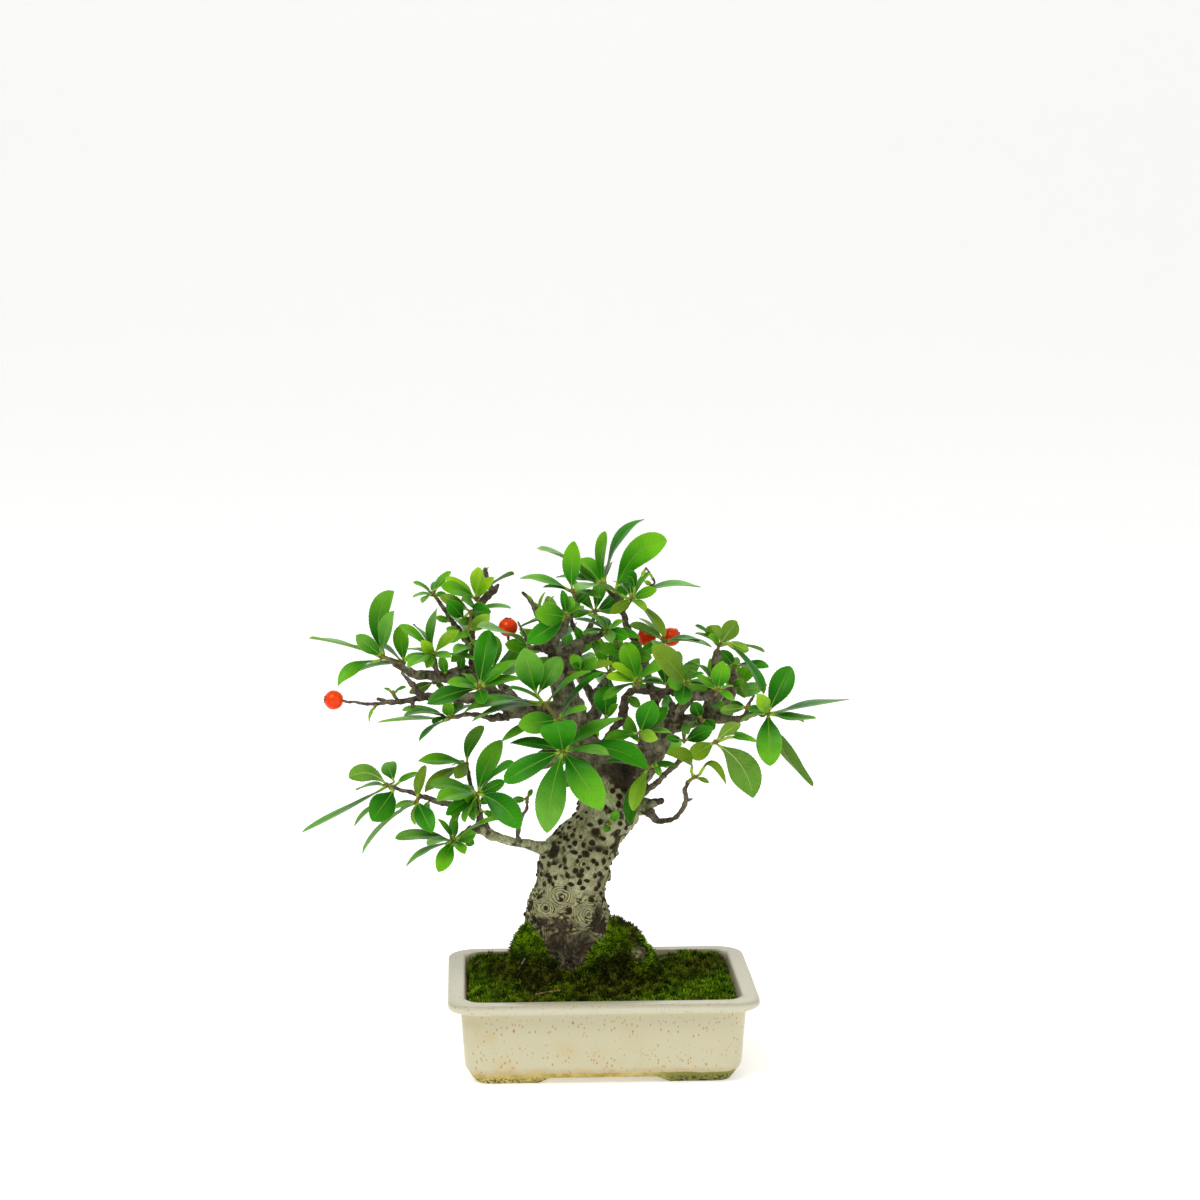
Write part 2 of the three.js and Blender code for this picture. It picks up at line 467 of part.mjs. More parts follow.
// The leafy shoots on the far side of the tree: name, growing point, the way the
// shoot points (x, y, z), number of leaves and their length in mm.
const REAR_SPRAYS = [
  ['spray_rear_top', [566, 661, -44], [-0.2, 0.95, 0.15], 7, 21],
  ['spray_rear_fork', [609, 673, -41], [0.25, 0.9, 0.3], 7, 21],
  ['spray_rear_right', [667, 689, -47], [0.3, 0.85, 0.4], 7, 22],
  ['spray_rear_right_low', [641, 745, -44], [0.2, 0.95, 0.1], 7, 21],
  ['spray_rear_low', [571, 758, -47], [-0.1, 0.97, 0.1], 6, 18],
  ['spray_rear_low_right', [603, 788, -46], [0.2, 0.95, 0.15], 6, 19],
  ['spray_rear_left', [493, 671, -32], [-0.2, 0.9, 0.35], 7, 21],
  ['spray_rear_far_right', [726, 690, -32], [0.3, 0.9, 0.3], 7, 20],
  ['spray_rear_leader', [595, 612, -36], [0.05, 0.8, 0.6], 7, 21],
  ['spray_rear_leader_left', [553, 632, -31], [-0.25, 0.85, 0.45], 7, 20],
];

// A leaf seen edge-on, narrower than this in pixels, is too thin for a solid
const SHOWING_WIDTH = 6.5;

// Berries: name, middle (across, down, near) and the end of the stalk that holds it
const BERRIES = [
  ['berry_left', [334, 700, 18], [342.9, 700.7, 17.5]],
  ['berry_upper_left', [508, 627.5, 1], [508, 636.4, 1]],
  ['berry_right_a', [647, 637, -19], [651.7, 644.1, -19]],
  ['berry_right_b', [671, 637, -18], [664.4, 642.8, -17.7]],
];

// Solids

function geometryOf(points, triangles) {
  const geometry = new THREE.BufferGeometry();
  const numbers = points.flatMap((point) => [point.x, point.y, point.z]);
  geometry.setAttribute('position', new THREE.Float32BufferAttribute(numbers, 3));
  geometry.setIndex(triangles.flat());
  return geometry;
}

function solidFrom(source) {
  let geometry = source.clone();
  geometry.deleteAttribute('normal');
  geometry.deleteAttribute('uv');
  geometry = mergeVertices(geometry, 1e-5);
  const mesh = new wasm.Mesh({
    numProp: 3,
    vertProperties: Float32Array.from(geometry.attributes.position.array),
    triVerts: Uint32Array.from(geometry.index.array),
  });
  return new wasm.Manifold(mesh);
}

function geometryFromSolid(solid) {
  const mesh = solid.getMesh();
  const geometry = new THREE.BufferGeometry();
  geometry.setAttribute('position', new THREE.BufferAttribute(Float32Array.from(mesh.vertProperties), 3));
  geometry.setIndex(new THREE.BufferAttribute(Uint32Array.from(mesh.triVerts), 1));
  geometry.computeVertexNormals();
  return geometry;
}

function largestBody(solid) {
  const bodies = solid.decompose();
  return bodies.reduce((best, body) => (body.volume() > best.volume() ? body : best));
}

function middleOf(points) {
  const sum = points.reduce((total, point) => total.add(point), new THREE.Vector3());
  return sum.multiplyScalar(1 / points.length);
}

// A closed solid through a stack of rings that all have the same number of points,
// each ring running anticlockwise seen from the end of the stack.
function loft(rings) {
  const count = rings[0].length;
  const points = rings.flat();
  const triangles = [];
  for (let ring = 0; ring + 1 < rings.length; ring += 1) {
    for (let k = 0; k < count; k += 1) {
      const a = ring * count + k;
      const b = ring * count + ((k + 1) % count);
      triangles.push([a, b, b + count], [a, b + count, a + count]);
    }
  }
  const last = (rings.length - 1) * count;
  const start = points.push(middleOf(rings[0])) - 1;
  const end = points.push(middleOf(rings[rings.length - 1])) - 1;
  for (let k = 0; k < count; k += 1) {
    const next = (k + 1) % count;
    triangles.push([start, next, k], [end, last + k, last + next]);
  }
  return geometryOf(points, triangles);
}

// Pot

const CORNER_STEPS = 3;

function roundedRectangle(halfX, halfY, radius, height) {
  const ring = [];
  for (let corner = 0; corner < 4; corner += 1) {
    const signX = corner === 0 || corner === 3 ? 1 : -1;
    const signY = corner < 2 ? 1 : -1;
    for (let step = 0; step <= CORNER_STEPS; step += 1) {
      const angle = (corner + step / CORNER_STEPS) * Math.PI / 2;
      ring.push(new THREE.Vector3(
        signX * (halfX - radius) + radius * Math.cos(angle),
        signY * (halfY - radius) + radius * Math.sin(angle),
        height,
      ));
    }
  }
  return ring;
}

// A ring of the pot, set in from the outer edge of the rim
function potRing(inset, height) {
  return roundedRectangle(
    POT_LENGTH / 2 - inset,
    POT_DEPTH / 2 - inset,
    Math.max(CORNER_RADIUS - inset * 0.45, 2.5),
    height,
  );
}

// The inside wall leans in from the rim to the floor
const INSIDE_INSET_TOP = RIM_WIDTH;
const INSIDE_INSET_FLOOR = RIM_WIDTH + 4;

function insideInset(height) {
  const t = (POT_HEIGHT - height) / (POT_HEIGHT - FLOOR_TOP);
  return THREE.MathUtils.lerp(INSIDE_INSET_TOP, INSIDE_INSET_FLOOR, t);
}

function slopedGap(length, through) {
  const slope = FOOT_HEIGHT;
  const outline = new THREE.Shape();
  outline.moveTo(-length / 2 - slope, -1);
  outline.lineTo(length / 2 + slope, -1);
  outline.lineTo(length / 2 + slope, 0);
  outline.lineTo(length / 2 - slope, FOOT_HEIGHT);
  outline.lineTo(-length / 2 + slope, FOOT_HEIGHT);
  outline.lineTo(-length / 2 - slope, 0);
  const gap = new THREE.ExtrudeGeometry(outline, { depth: through, bevelEnabled: false });
  gap.translate(0, 0, -through / 2);
  gap.rotateX(Math.PI / 2);
  return gap;
}

function drainCentres() {
  return [-DRAIN_OFFSET, DRAIN_OFFSET];
}

function makePot() {
  const body = LIP_OVERHANG;
  let pot = solidFrom(loft([
    potRing(FOOT_INSET, 0),
    potRing(FOOT_INSET - 1.4, 1.8),
    potRing(body + 2.6, 5.4),
    potRing(body + 1.6, 8.6),
    potRing(body + 0.2, 29.4),
    potRing(body - 0.9, 30.6),
    potRing(1.0, 31.2),
    potRing(0.2, 32.2),
    potRing(0.1, 33.8),
    potRing(1.0, 34.8),
    potRing(2.4, 35),
    potRing(RIM_WIDTH - 1.2, 35),
    potRing(RIM_WIDTH - 0.2, 34.2),
    potRing(insideInset(20), 20),
    potRing(insideInset(FLOOR_TOP) - 0.6, FLOOR_TOP + 1.5),
    potRing(INSIDE_INSET_FLOOR + 1.5, FLOOR_TOP),
  ]));
  const across = slopedGap(FOOT_GAP_LENGTH, POT_DEPTH);
  const along = slopedGap(FOOT_GAP_DEPTH, POT_LENGTH);
  along.rotateZ(Math.PI / 2);
  pot = pot.subtract(solidFrom(across)).subtract(solidFrom(along));
  for (const centre of drainCentres()) {
    const drain = new THREE.CylinderGeometry(DRAIN_RADIUS, DRAIN_RADIUS, FLOOR_TOP * 2, 12);
    drain.rotateX(Math.PI / 2);
    drain.translate(centre, 0, FLOOR_TOP);
    pot = pot.subtract(solidFrom(drain));
  }
  return pot;
}

function screenGeometry(centre, grow) {
  const screen = new THREE.BoxGeometry(
    SCREEN_SIZE + 2 * grow,
    SCREEN_SIZE + 2 * grow,
    SCREEN_THICKNESS + 2 * grow,
  );
  screen.translate(centre, 0, FLOOR_TOP + CLEARANCE + SCREEN_THICKNESS / 2);
  return screen;
}

// Wood

function sidesFor(thickness) {
  if (thickness > 20) return 12;
  if (thickness > 8.5) return 6;
  if (thickness > 5.5) return 5;
  if (thickness > 3.2) return 4;
  return 3;
}

function routeOf(rows) {
  return rows.map(([across, down, near, thickness]) => ({
    place: placeAt(across, down, near),
    radius: thickness / 2,
  }));
}

const BLUNT_RADIUS = 1.2;
const ROOT_SIDES = 6;

function directionAt(route, k) {
  const before = route[Math.max(k - 1, 0)].place;
  const after = route[Math.min(k + 1, route.length - 1)].place;
  return after.clone().sub(before).normalize();
}

// A tapered tube with a blunt tip. grow makes it fatter and longer all round, and
// relief gives the height of the knots at a point of its surface.
function tube(route, sides, grow = 0, relief = null) {
  const rings = [];
  let normal = new THREE.Vector3(0, 1, 0);
  const lastIndex = route.length - 1;
  const addRing = (place, radius) => {
    const ring = [];
    for (let side = 0; side < sides; side += 1) {
      const angle = (side / sides) * Math.PI * 2;
      const out = normal.clone().multiplyScalar(Math.cos(angle))
        .addScaledVector(new THREE.Vector3().crossVectors(direction, normal), Math.sin(angle));
      const point = place.clone().addScaledVector(out, radius);
      if (relief) point.addScaledVector(out, relief(point));
      ring.push(point);
    }
    rings.push(ring);
  };
  let direction = directionAt(route, 0);
  route.forEach((stop, k) => {
    direction = directionAt(route, k);
    normal.addScaledVector(direction, -normal.dot(direction)).normalize();
    const shift = k === 0 ? -grow : 0;
    addRing(stop.place.clone().addScaledVector(direction, shift), stop.radius + grow);
  });
  const tip = route[lastIndex];
  if (tip.radius > BLUNT_RADIUS) {
    const end = tip.place.clone().addScaledVector(direction, tip.radius * 0.5 + grow);
    addRing(end, tip.radius * 0.55 + grow * 0.6);
  }
  return loft(rings);
}

const knots = TRUNK_KNOTS.map(([across, down, side, size, height]) => {
  const onAxis = nearestStop(across, down);
  const sideways = (across - onAxis.across) / PIXELS_PER_MM;
  const depth = Math.sqrt(Math.max(onAxis.radius ** 2 - sideways ** 2, 0));
  return { place: placeAt(across, down, onAxis.near + side * depth), size, height };
});

// The trunk's middle and radius at a level of the photograph
function nearestStop(across, down) {
  let upper = TRUNK.findIndex((row) => row[1] <= down);
  upper = Math.max(upper, 1);
  const [belowAcross, belowDown, belowNear, belowThickness] = TRUNK[upper - 1];
  const [aboveAcross, aboveDown, aboveNear, aboveThickness] = TRUNK[upper];
  const t = (belowDown - down) / (belowDown - aboveDown);
  return {
    across: THREE.MathUtils.lerp(belowAcross, aboveAcross, t),
    near: THREE.MathUtils.lerp(belowNear, aboveNear, t),
    radius: THREE.MathUtils.lerp(belowThickness, aboveThickness, t) / 2,
  };
}

function knotRelief(point) {
  let height = 0;
  for (const knot of knots) {
    const distance = point.distanceTo(knot.place);
    height += knot.height * Math.exp(-((distance / knot.size) ** 2));
  }
  return height;
}

const trunkRoute = routeOf(TRUNK);
const rootRoutes = Object.values(ROOTS).map((rows) => routeOf(rows));
const branchRoutes = Object.values(BRANCHES).map((rows) => routeOf(rows));

function makeWood(grow) {
  let wood = solidFrom(tube(trunkRoute, sidesFor(TRUNK[0][3]), grow, knotRelief));
  for (const route of rootRoutes) {
    wood = wood.add(solidFrom(tube(route, ROOT_SIDES, grow)));
  }
  for (const route of branchRoutes) {
    wood = wood.add(solidFrom(tube(route, sidesFor(route[0].radius * 2), grow)));
  }
  return largestBody(wood);
}

// Soil and moss

const trunkFoot = placeAt(569, 945, -4);
const mossMounds = MOSS_MOUNDS.map(([place, spread, height]) => {
  return { middle: placeAt(...place), spread, height };
});

// Height of the moss. It lies just under the rim, climbs to the trunk's foot, and is
// lumpy all over.
function mossHeight(x, y) {
  const fromTrunk = Math.hypot(x - trunkFoot.x, (y - trunkFoot.y) * 1.05);
  let mound = 12 * Math.exp(-((Math.max(fromTrunk - 12, 0) / 13) ** 2));
  for (const { middle, spread, height } of mossMounds) {
    mound += height * Math.exp(-(((x - middle.x) ** 2 + (y - middle.y) ** 2) / spread ** 2));
  }
  const broadLumps = 0.7 * Math.sin(x * 0.42 + 1.3) * Math.cos(y * 0.51 - 0.4);
  const lumps = broadLumps + 0.5 * Math.sin(x * 0.83 - y * 0.67);
  const edge = Math.min(
    POT_LENGTH / 2 - insideInset(MOSS_EDGE) - Math.abs(x),
    POT_DEPTH / 2 - insideInset(MOSS_EDGE) - Math.abs(y),
  );
  const settled = THREE.MathUtils.smoothstep(edge, -1, 9);
  return MOSS_EDGE + mound * settled + lumps * (0.35 + 0.65 * settled);
}

const MOSS_RING_SCALES = [1, 0.89, 0.74, 0.59, 0.43, 0.27];
const MOSS_SIDE_STEPS = [5, 3];

// The outline of the inside wall, with extra points along the straight sides
function planterRing(inset, height, scale = 1) {
  const corners = roundedRectangle(
    POT_LENGTH / 2 - inset,
    POT_DEPTH / 2 - inset,
    Math.max(CORNER_RADIUS - inset * 0.45, 2.5),
    height,
  );
  const ring = [];
  corners.forEach((point, k) => {
    ring.push(point);
    const next = corners[(k + 1) % corners.length];
    const lastOfCorner = k % (CORNER_STEPS + 1) === CORNER_STEPS;
    if (!lastOfCorner) return;
    const alongX = Math.abs(next.x - point.x) > Math.abs(next.y - point.y);
    const steps = alongX ? MOSS_SIDE_STEPS[0] : MOSS_SIDE_STEPS[1];
    for (let step = 1; step < steps; step += 1) {
      ring.push(point.clone().lerp(next, step / steps));
    }
  });
  return ring.map((point) => new THREE.Vector3(point.x * scale, point.y * scale, point.z));
}

function makeMoss(woodRoom) {
  const bottom = SOIL_TOP + CLEARANCE;
  const rings = [planterRing(insideInset(bottom) + CLEARANCE, bottom)];
  for (const scale of MOSS_RING_SCALES) {
    const ring = planterRing(insideInset(bottom) + CLEARANCE, 0, scale);
    rings.push(ring.map((point) => point.setZ(mossHeight(point.x, point.y))));
  }
  let moss = solidFrom(loft(rings));
  for (const [root, stops] of Object.entries(MOSSY_ROOTS)) {
    moss = moss.add(solidFrom(tube(routeOf(ROOTS[root]).slice(1, stops), ROOT_SIDES, MOSS_SLEEVE)));
  }
  return largestBody(moss.subtract(woodRoom));
}

function makeSoil(woodRoom) {
  let soil = solidFrom(loft([
    planterRing(INSIDE_INSET_FLOOR + 1.5 + CLEARANCE, FLOOR_TOP + CLEARANCE),
    planterRing(insideInset(FLOOR_TOP) + CLEARANCE, FLOOR_TOP + 2),
    planterRing(insideInset(SOIL_TOP) + CLEARANCE, SOIL_TOP),
  ]));
  for (const centre of drainCentres()) {
    soil = soil.subtract(solidFrom(screenGeometry(centre, CLEARANCE)));
  }
  return largestBody(soil.subtract(woodRoom));
}

// Berries

const BERRY_SIDES = 8;

// A small pome: a squat ball with a dimple at the stalk and the five-pointed
// remains of the flower round a dimple at the top.
function makeBerry(middle, stalkEnd) {
  const radius = BERRY_DIAMETER / 2;
  const half = BERRY_HEIGHT / 2;
  const profile = [
    new THREE.Vector2(0, -half * 0.9),
    new THREE.Vector2(radius * 0.28, -half * 0.98),
    new THREE.Vector2(radius * 0.72, -half * 0.72),
    new THREE.Vector2(radius * 0.98, -half * 0.2),
    new THREE.Vector2(radius * 0.95, half * 0.32),
    new THREE.Vector2(radius * 0.66, half * 0.8),
    new THREE.Vector2(radius * 0.34, half),
    new THREE.Vector2(radius * 0.2, half * 0.82),
    new THREE.Vector2(0, half * 0.72),
  ];
  const berry = new THREE.LatheGeometry(profile, BERRY_SIDES);
  const place = berry.attributes.position;
  for (let k = 0; k < place.count; k += 1) {
    const around = Math.atan2(place.getZ(k), place.getX(k));
    const fromAxis = Math.hypot(place.getX(k), place.getZ(k));
    const rimShare = Math.abs(fromAxis - radius * 0.34) < 0.05 ? 1 : 0;
    const lift = rimShare * 0.35 * (0.5 + 0.5 * Math.cos(around * 5));
    if (place.getY(k) > 0) place.setY(k, place.getY(k) + lift);
  }
  const axis = middle.clone().sub(stalkEnd).normalize();
  berry.applyQuaternion(new THREE.Quaternion().setFromUnitVectors(new THREE.Vector3(0, 1, 0), axis));
  berry.translate(middle.x, middle.y, middle.z);
  return solidFrom(berry);
}

// Leaves

// Width of a blade along its length, as a share of its greatest width
const BROAD_BLADE_STATIONS = [[0.46, 0.88], [0.8, 0.84]];
const BLADE_STATIONS = [[0.62, 1]];
const BROAD_BLADE_WIDTH = 8.8;
const FOOT_STEP = 0.8;
const BLADE_OUTLINE = [[0, 0.1], [0.12, 0.18], [0.44, 0.86], [0.62, 1], [0.8, 0.84], [1, 0.12]];

function shareAt(t) {
  const stops = BLADE_OUTLINE;
  const next = Math.max(stops.findIndex((stop) => stop[0] >= t), 1);
  const [fromT, fromShare] = stops[next - 1];
  const [toT, toShare] = stops[next];
  return THREE.MathUtils.lerp(fromShare, toShare, (t - fromT) / (toT - fromT));
}

// A leaf: its spine is a bow from foot to tip, across is its sideways direction
function leafBetween(core, foot, tip, width, across, upper, via) {
  const length = foot.distanceTo(tip);
  const middle = foot.clone().lerp(tip, 0.5);
  const passes = via ?? middle.clone().addScaledVector(upper, BLADE_BOW * length);
  const control = passes.clone().multiplyScalar(2).sub(middle);
  return { core, width, across, spine: new THREE.QuadraticBezierCurve3(foot, control, tip) };
}

function surfacePoint(leaf, t, side) {
  const place = leaf.spine.getPoint(t);
  const up = new THREE.Vector3().crossVectors(leaf.spine.getTangent(t), leaf.across).normalize();
  const half = shareAt(t) * leaf.width / 2;
  place.addScaledVector(leaf.across, side * half);
  return place.addScaledVector(up, Math.abs(side) * half * BLADE_FOLD);
}

// Lays a leaf so that it looks as wide as it does in the photograph, with its
// upper side turned up as far as that allows.
function seenLeaf(core, row, shift) {
  const [tipAcross, tipDown, out, width, face, footAcross, footDown, viaAcross, viaDown] = row;
  const [coreAcross, coreDown, near] = core;
  const reach = out + shift;
  const corePlace = placeAt(coreAcross, coreDown, near);
  const foot = footAcross
    ? placeAt(footAcross, footDown, near + reach * 0.15)
    : corePlace.clone();
  const tip = placeAt(tipAcross, tipDown, near + reach);
  const along = tip.clone().sub(foot);
  const length = along.length();
  along.normalize();
  const seenWidth = width / PIXELS_PER_MM;
  const trueWidth = Math.max(seenWidth, Math.min(BLADE_RATIO * length, BLADE_WIDEST));
  const toViewer = viewpoint.clone().sub(foot).normalize();
  const facing = toViewer.addScaledVector(along, -toViewer.dot(along)).normalize();
  const flat = new THREE.Vector3().crossVectors(along, facing);
  const seenShare = THREE.MathUtils.clamp((seenWidth / trueWidth - 0.12) / 0.88, 0, 1);
  const roll = Math.acos(seenShare);
  const options = [roll, -roll].map((angle) => {
    const across = flat.clone().multiplyScalar(Math.cos(angle)).addScaledVector(facing, Math.sin(angle));
    const upper = facing.clone().multiplyScalar(Math.cos(angle)).addScaledVector(flat, -Math.sin(angle));
    return { across: across.multiplyScalar(-face), upper: upper.multiplyScalar(face) };
  });
  const { across, upper } = options[0].upper.z >= options[1].upper.z ? options[0] : options[1];
  const via = viaAcross ? placeAt(viaAcross, viaDown, near + reach * 0.55) : null;
  return leafBetween(corePlace, foot, tip, trueWidth, across, upper, via);
}

// A leaf of a shoot on the far side: leaves stand round the shoot by the golden
// angle, the outer ones spreading wider than the inner ones.
const GOLDEN_ANGLE = THREE.MathUtils.degToRad(137.5);

function whorlLeaf(core, axis, order, count, length, turn) {
  const corePlace = placeAt(...core);
  const pole = new THREE.Vector3(...axis).normalize();
  const level = new THREE.Vector3(0, 0, 1).cross(pole).normalize();
  const rise = new THREE.Vector3().crossVectors(pole, level);
  const angle = order * GOLDEN_ANGLE + turn;
  const spread = THREE.MathUtils.degToRad(28 + 58 * (1 - order / count));
  const outward = level.multiplyScalar(Math.cos(angle)).addScaledVector(rise, Math.sin(angle));
  const along = pole.clone().multiplyScalar(Math.cos(spread)).addScaledVector(outward, Math.sin(spread));
  const reach = length * (0.72 + 0.28 * ((order * 5) % count) / count);
  const tip = corePlace.clone().addScaledVector(along, reach);
  const across = new THREE.Vector3().crossVectors(pole, outward).multiplyScalar(-1);
  const upper = new THREE.Vector3().crossVectors(along, across).normalize();
  return leafBetween(corePlace, corePlace.clone(), tip, reach * BLADE_RATIO, across, upper, null);
}

// Room for the leaves. A leaf that would cross another shoot, the wood or a berry is
// swung in steps, in the line of sight for those seen in the photograph, until it is
// clear of them.
const LEAF_ROOM = 2.1;
const OWN_LEAF_ROOM = 1.2;
const WOOD_ROOM = 0.85;
const SWING_STEP = 2;
const SWING_STEPS = 8;
const TEST_STATIONS = [0.12, 0.22, 0.32, 0.43, 0.54, 0.65, 0.76, 0.87, 0.98];
const TEST_SIDES = [-1, -0.5, 0, 0.5, 1];

const taken = [];

function take(place, room, owner, fromCore = Infinity) {
  taken.push({ x: place.x, y: place.y, z: place.z, room, owner, fromCore });
}

function takeRoute(route) {
  for (let k = 0; k + 1 < route.length; k += 1) {
    const steps = Math.ceil(route[k].place.distanceTo(route[k + 1].place) / 1.5);
    for (let step = 0; step < steps; step += 1) {
      const t = step / steps;
      const radius = THREE.MathUtils.lerp(route[k].radius, route[k + 1].radius, t);
      take(route[k].place.clone().lerp(route[k + 1].place, t), radius + WOOD_ROOM, 'wood');
    }
  }
}

function testPoints(leaf) {
  const points = [];
  for (const t of TEST_STATIONS) {
    for (const side of TEST_SIDES) {
      const place = surfacePoint(leaf, t, side);
      points.push({ place, fromCore: place.distanceTo(leaf.core) });
    }
  }
  return points;
}

const OWN_ROOT_REACH = 3.4;
const OWN_LEAF_REACH = 9;

// How far the leaf stands clear of everything, less the room it needs
function clearanceOf(points, owner) {
  let least = Infinity;
  for (const { place, fromCore } of points) {
    for (const other of taken) {
      let room = other.room;
      if (other.owner === owner) {
        if (fromCore < OWN_LEAF_REACH || other.fromCore < OWN_LEAF_REACH) continue;
        room = OWN_LEAF_ROOM;
      } else if (other.owner === 'wood' && fromCore < OWN_ROOT_REACH) {
        continue;
      }
      const dx = place.x - other.x;
      const dy = place.y - other.y;
      const dz = place.z - other.z;
      const square = dx * dx + dy * dy + dz * dz;
      if (square < (room + 1) * (room + 1)) least = Math.min(least, Math.sqrt(square) - room);
    }
  }
  return least;
}

// The first swing of a leaf that is clear, or else the clearest one
function bentClear(leafAtSwing, owner) {
  let best = null;
  for (let step = 0; step <= 2 * SWING_STEPS; step += 1) {
    const swing = (step % 2 === 1 ? 1 : -1) * Math.ceil(step / 2);
    const leaf = leafAtSwing(swing);
    const points = testPoints(leaf);
    const clearance = clearanceOf(points, owner);
    if (!best || clearance > best.clearance) best = { leaf, points, clearance };
    if (clearance >= 0) break;
  }
  for (const { place, fromCore } of best.points) take(place, LEAF_ROOM, owner, fromCore);
  return best.leaf;
}

// A blade is a thin solid, flat above and keeled below along its midrib
function bladeGeometry(leaf) {
  const points = [];
  const triangles = [];
  const addRing = (place, up, halfWidth) => {
    const lift = halfWidth * BLADE_FOLD * 0.5;
    points.push(place.clone().addScaledVector(leaf.across, halfWidth).addScaledVector(up, lift));
    points.push(place.clone().addScaledVector(leaf.across, -halfWidth).addScaledVector(up, lift));
    points.push(place.clone().addScaledVector(up, lift - BLADE_THICKNESS));
  };
  const upAt = (t) => new THREE.Vector3().crossVectors(leaf.spine.getTangent(t), leaf.across).normalize();
  const foot = leaf.spine.getPoint(0);
  const hasStalk = foot.distanceTo(leaf.core) > 1;
  if (hasStalk) addRing(leaf.core, upAt(0), PETIOLE_RADIUS);
  const start = hasStalk ? foot : foot.clone().addScaledVector(leaf.spine.getTangent(0), FOOT_STEP);
  addRing(start, upAt(0), PETIOLE_RADIUS);
  const stations = leaf.width > BROAD_BLADE_WIDTH ? BROAD_BLADE_STATIONS : BLADE_STATIONS;
  for (const [t, share] of stations) {
    addRing(leaf.spine.getPoint(t), upAt(t), Math.max(share * leaf.width / 2, PETIOLE_RADIUS));
  }
  const rings = points.length / 3;
  for (let ring = 0; ring + 1 < rings; ring += 1) {
    const a = ring * 3;
    const b = a + 3;
    triangles.push([a, b + 1, a + 1], [a, b, b + 1]);
    triangles.push([a + 1, b + 2, a + 2], [a + 1, b + 1, b + 2]);
    triangles.push([a, a + 2, b + 2], [a, b + 2, b]);
  }
  const tip = points.push(leaf.spine.getPoint(1)) - 1;
  const last = (rings - 1) * 3;
  triangles.push([last, tip, last + 1], [last + 1, tip, last + 2], [last + 2, tip, last]);
  triangles.push([0, 1, 2]);
  return geometryOf(points, triangles);
}

function solidBlade(leaf) {
  const blade = solidFrom(bladeGeometry(leaf));
  if (blade.volume() > 0) return blade;
  const turned = bladeGeometry(leaf);
  const index = turned.index.array;
  for (let k = 0; k < index.length; k += 3) [index[k], index[k + 1]] = [index[k + 1], index[k]];
  return solidFrom(turned);
}

// The short stalk that seats a shoot on the wood nearest to its growing point
function seatOf(core) {
  let best = null;
  for (const route of [trunkRoute, ...branchRoutes]) {
    for (let k = 0; k + 1 < route.length; k += 1) {
      const line = new THREE.Line3(route[k].place, route[k + 1].place);
      const t = line.closestPointToPointParameter(core, true);
      const place = line.at(t, new THREE.Vector3());
      const radius = THREE.MathUtils.lerp(route[k].radius, route[k + 1].radius, t);
      const gap = place.distanceTo(core) - radius;
      if (!best || gap < best.gap) best = { gap, place };
    }
  }
  return best.place;
}

function stem(from, to) {
  const route = [{ place: from, radius: STUB_RADIUS }, { place: to, radius: STUB_RADIUS * 0.8 }];
  return solidFrom(tube(route, 4));
}

// A spray of one shoot, or of two that a stem joins between their growing points
function makeSpray(shoots, woodRoom) {
  let spray = null;
  shoots.forEach(({ core, leaves }, k) => {
    const heart = new THREE.OctahedronGeometry(CORE_RADIUS, 0);
    heart.translate(core.x, core.y, core.z);
    const shoot = solidFrom(heart).add(k === 0 ? stem(core, seatOf(core)) : stem(core, shoots[k - 1].core));
    spray = spray ? spray.add(shoot) : shoot;
    for (const leaf of leaves) spray = spray.add(solidBlade(leaf));
  });
  return largestBody(spray.subtract(woodRoom));
}

// Laying out every leaf, in the order of the lists above

function layOutLeaves() {
  [trunkRoute, ...rootRoutes, ...branchRoutes].forEach((route) => takeRoute(route));
  for (const [, middle] of BERRIES) take(placeAt(...middle), BERRY_DIAMETER / 2 + 1, 'berry');
  for (const [name, core] of [...SEEN_SPRAYS, ...REAR_SPRAYS]) {
    take(placeAt(...core), CORE_RADIUS + 1, name);
  }
  const sprays = new Map();
  const addShoot = (name, core, leaves) => {
    sprays.set(name, [...(sprays.get(name) ?? []), { core: placeAt(...core), leaves }]);
  };
  for (const [name, core, allRows] of SEEN_SPRAYS) {
    const rows = allRows.filter((row) => row[3] >= SHOWING_WIDTH);
    const leafOf = (row) => bentClear((swing) => seenLeaf(core, row, swing * SWING_STEP), name);
    addShoot(name, core, rows.map((row) => leafOf(row)));
  }
  const turnStep = THREE.MathUtils.degToRad(7);
  for (const [name, core, axis, count, length] of REAR_SPRAYS) {
    const leaves = [];
    for (let order = 0; order < count; order += 1) {
      const leafAtSwing = (swing) => whorlLeaf(core, axis, order, count, length, swing * turnStep);
      leaves.push(bentClear(leafAtSwing, name));
    }
    addShoot(name, core, leaves);
  }
  return sprays;
}

// The finished object

const materials = {
  glaze: { color: 0xd9d5c2, roughness: 0.35, metalness: 0 },
  soil: { color: 0x3d2f22, roughness: 1, metalness: 0 },
  moss: { color: 0x4f7a1e, roughness: 1, metalness: 0 },
  bark: { color: 0x6f6652, roughness: 0.9, metalness: 0 },
  leaf: { color: 0x4f8f22, roughness: 0.45, metalness: 0 },
  berry: { color: 0xe4501e, roughness: 0.3, metalness: 0 },
  screen: { color: 0x2b2d30, roughness: 0.6, metalness: 0 },
};

const bonsai = new THREE.Group();

function addPiece(name, solid, material) {
  const finish = new THREE.MeshStandardMaterial(materials[material]);
  const mesh = new THREE.Mesh(geometryFromSolid(solid), finish);
  mesh.name = name;
  bonsai.add(mesh);
}

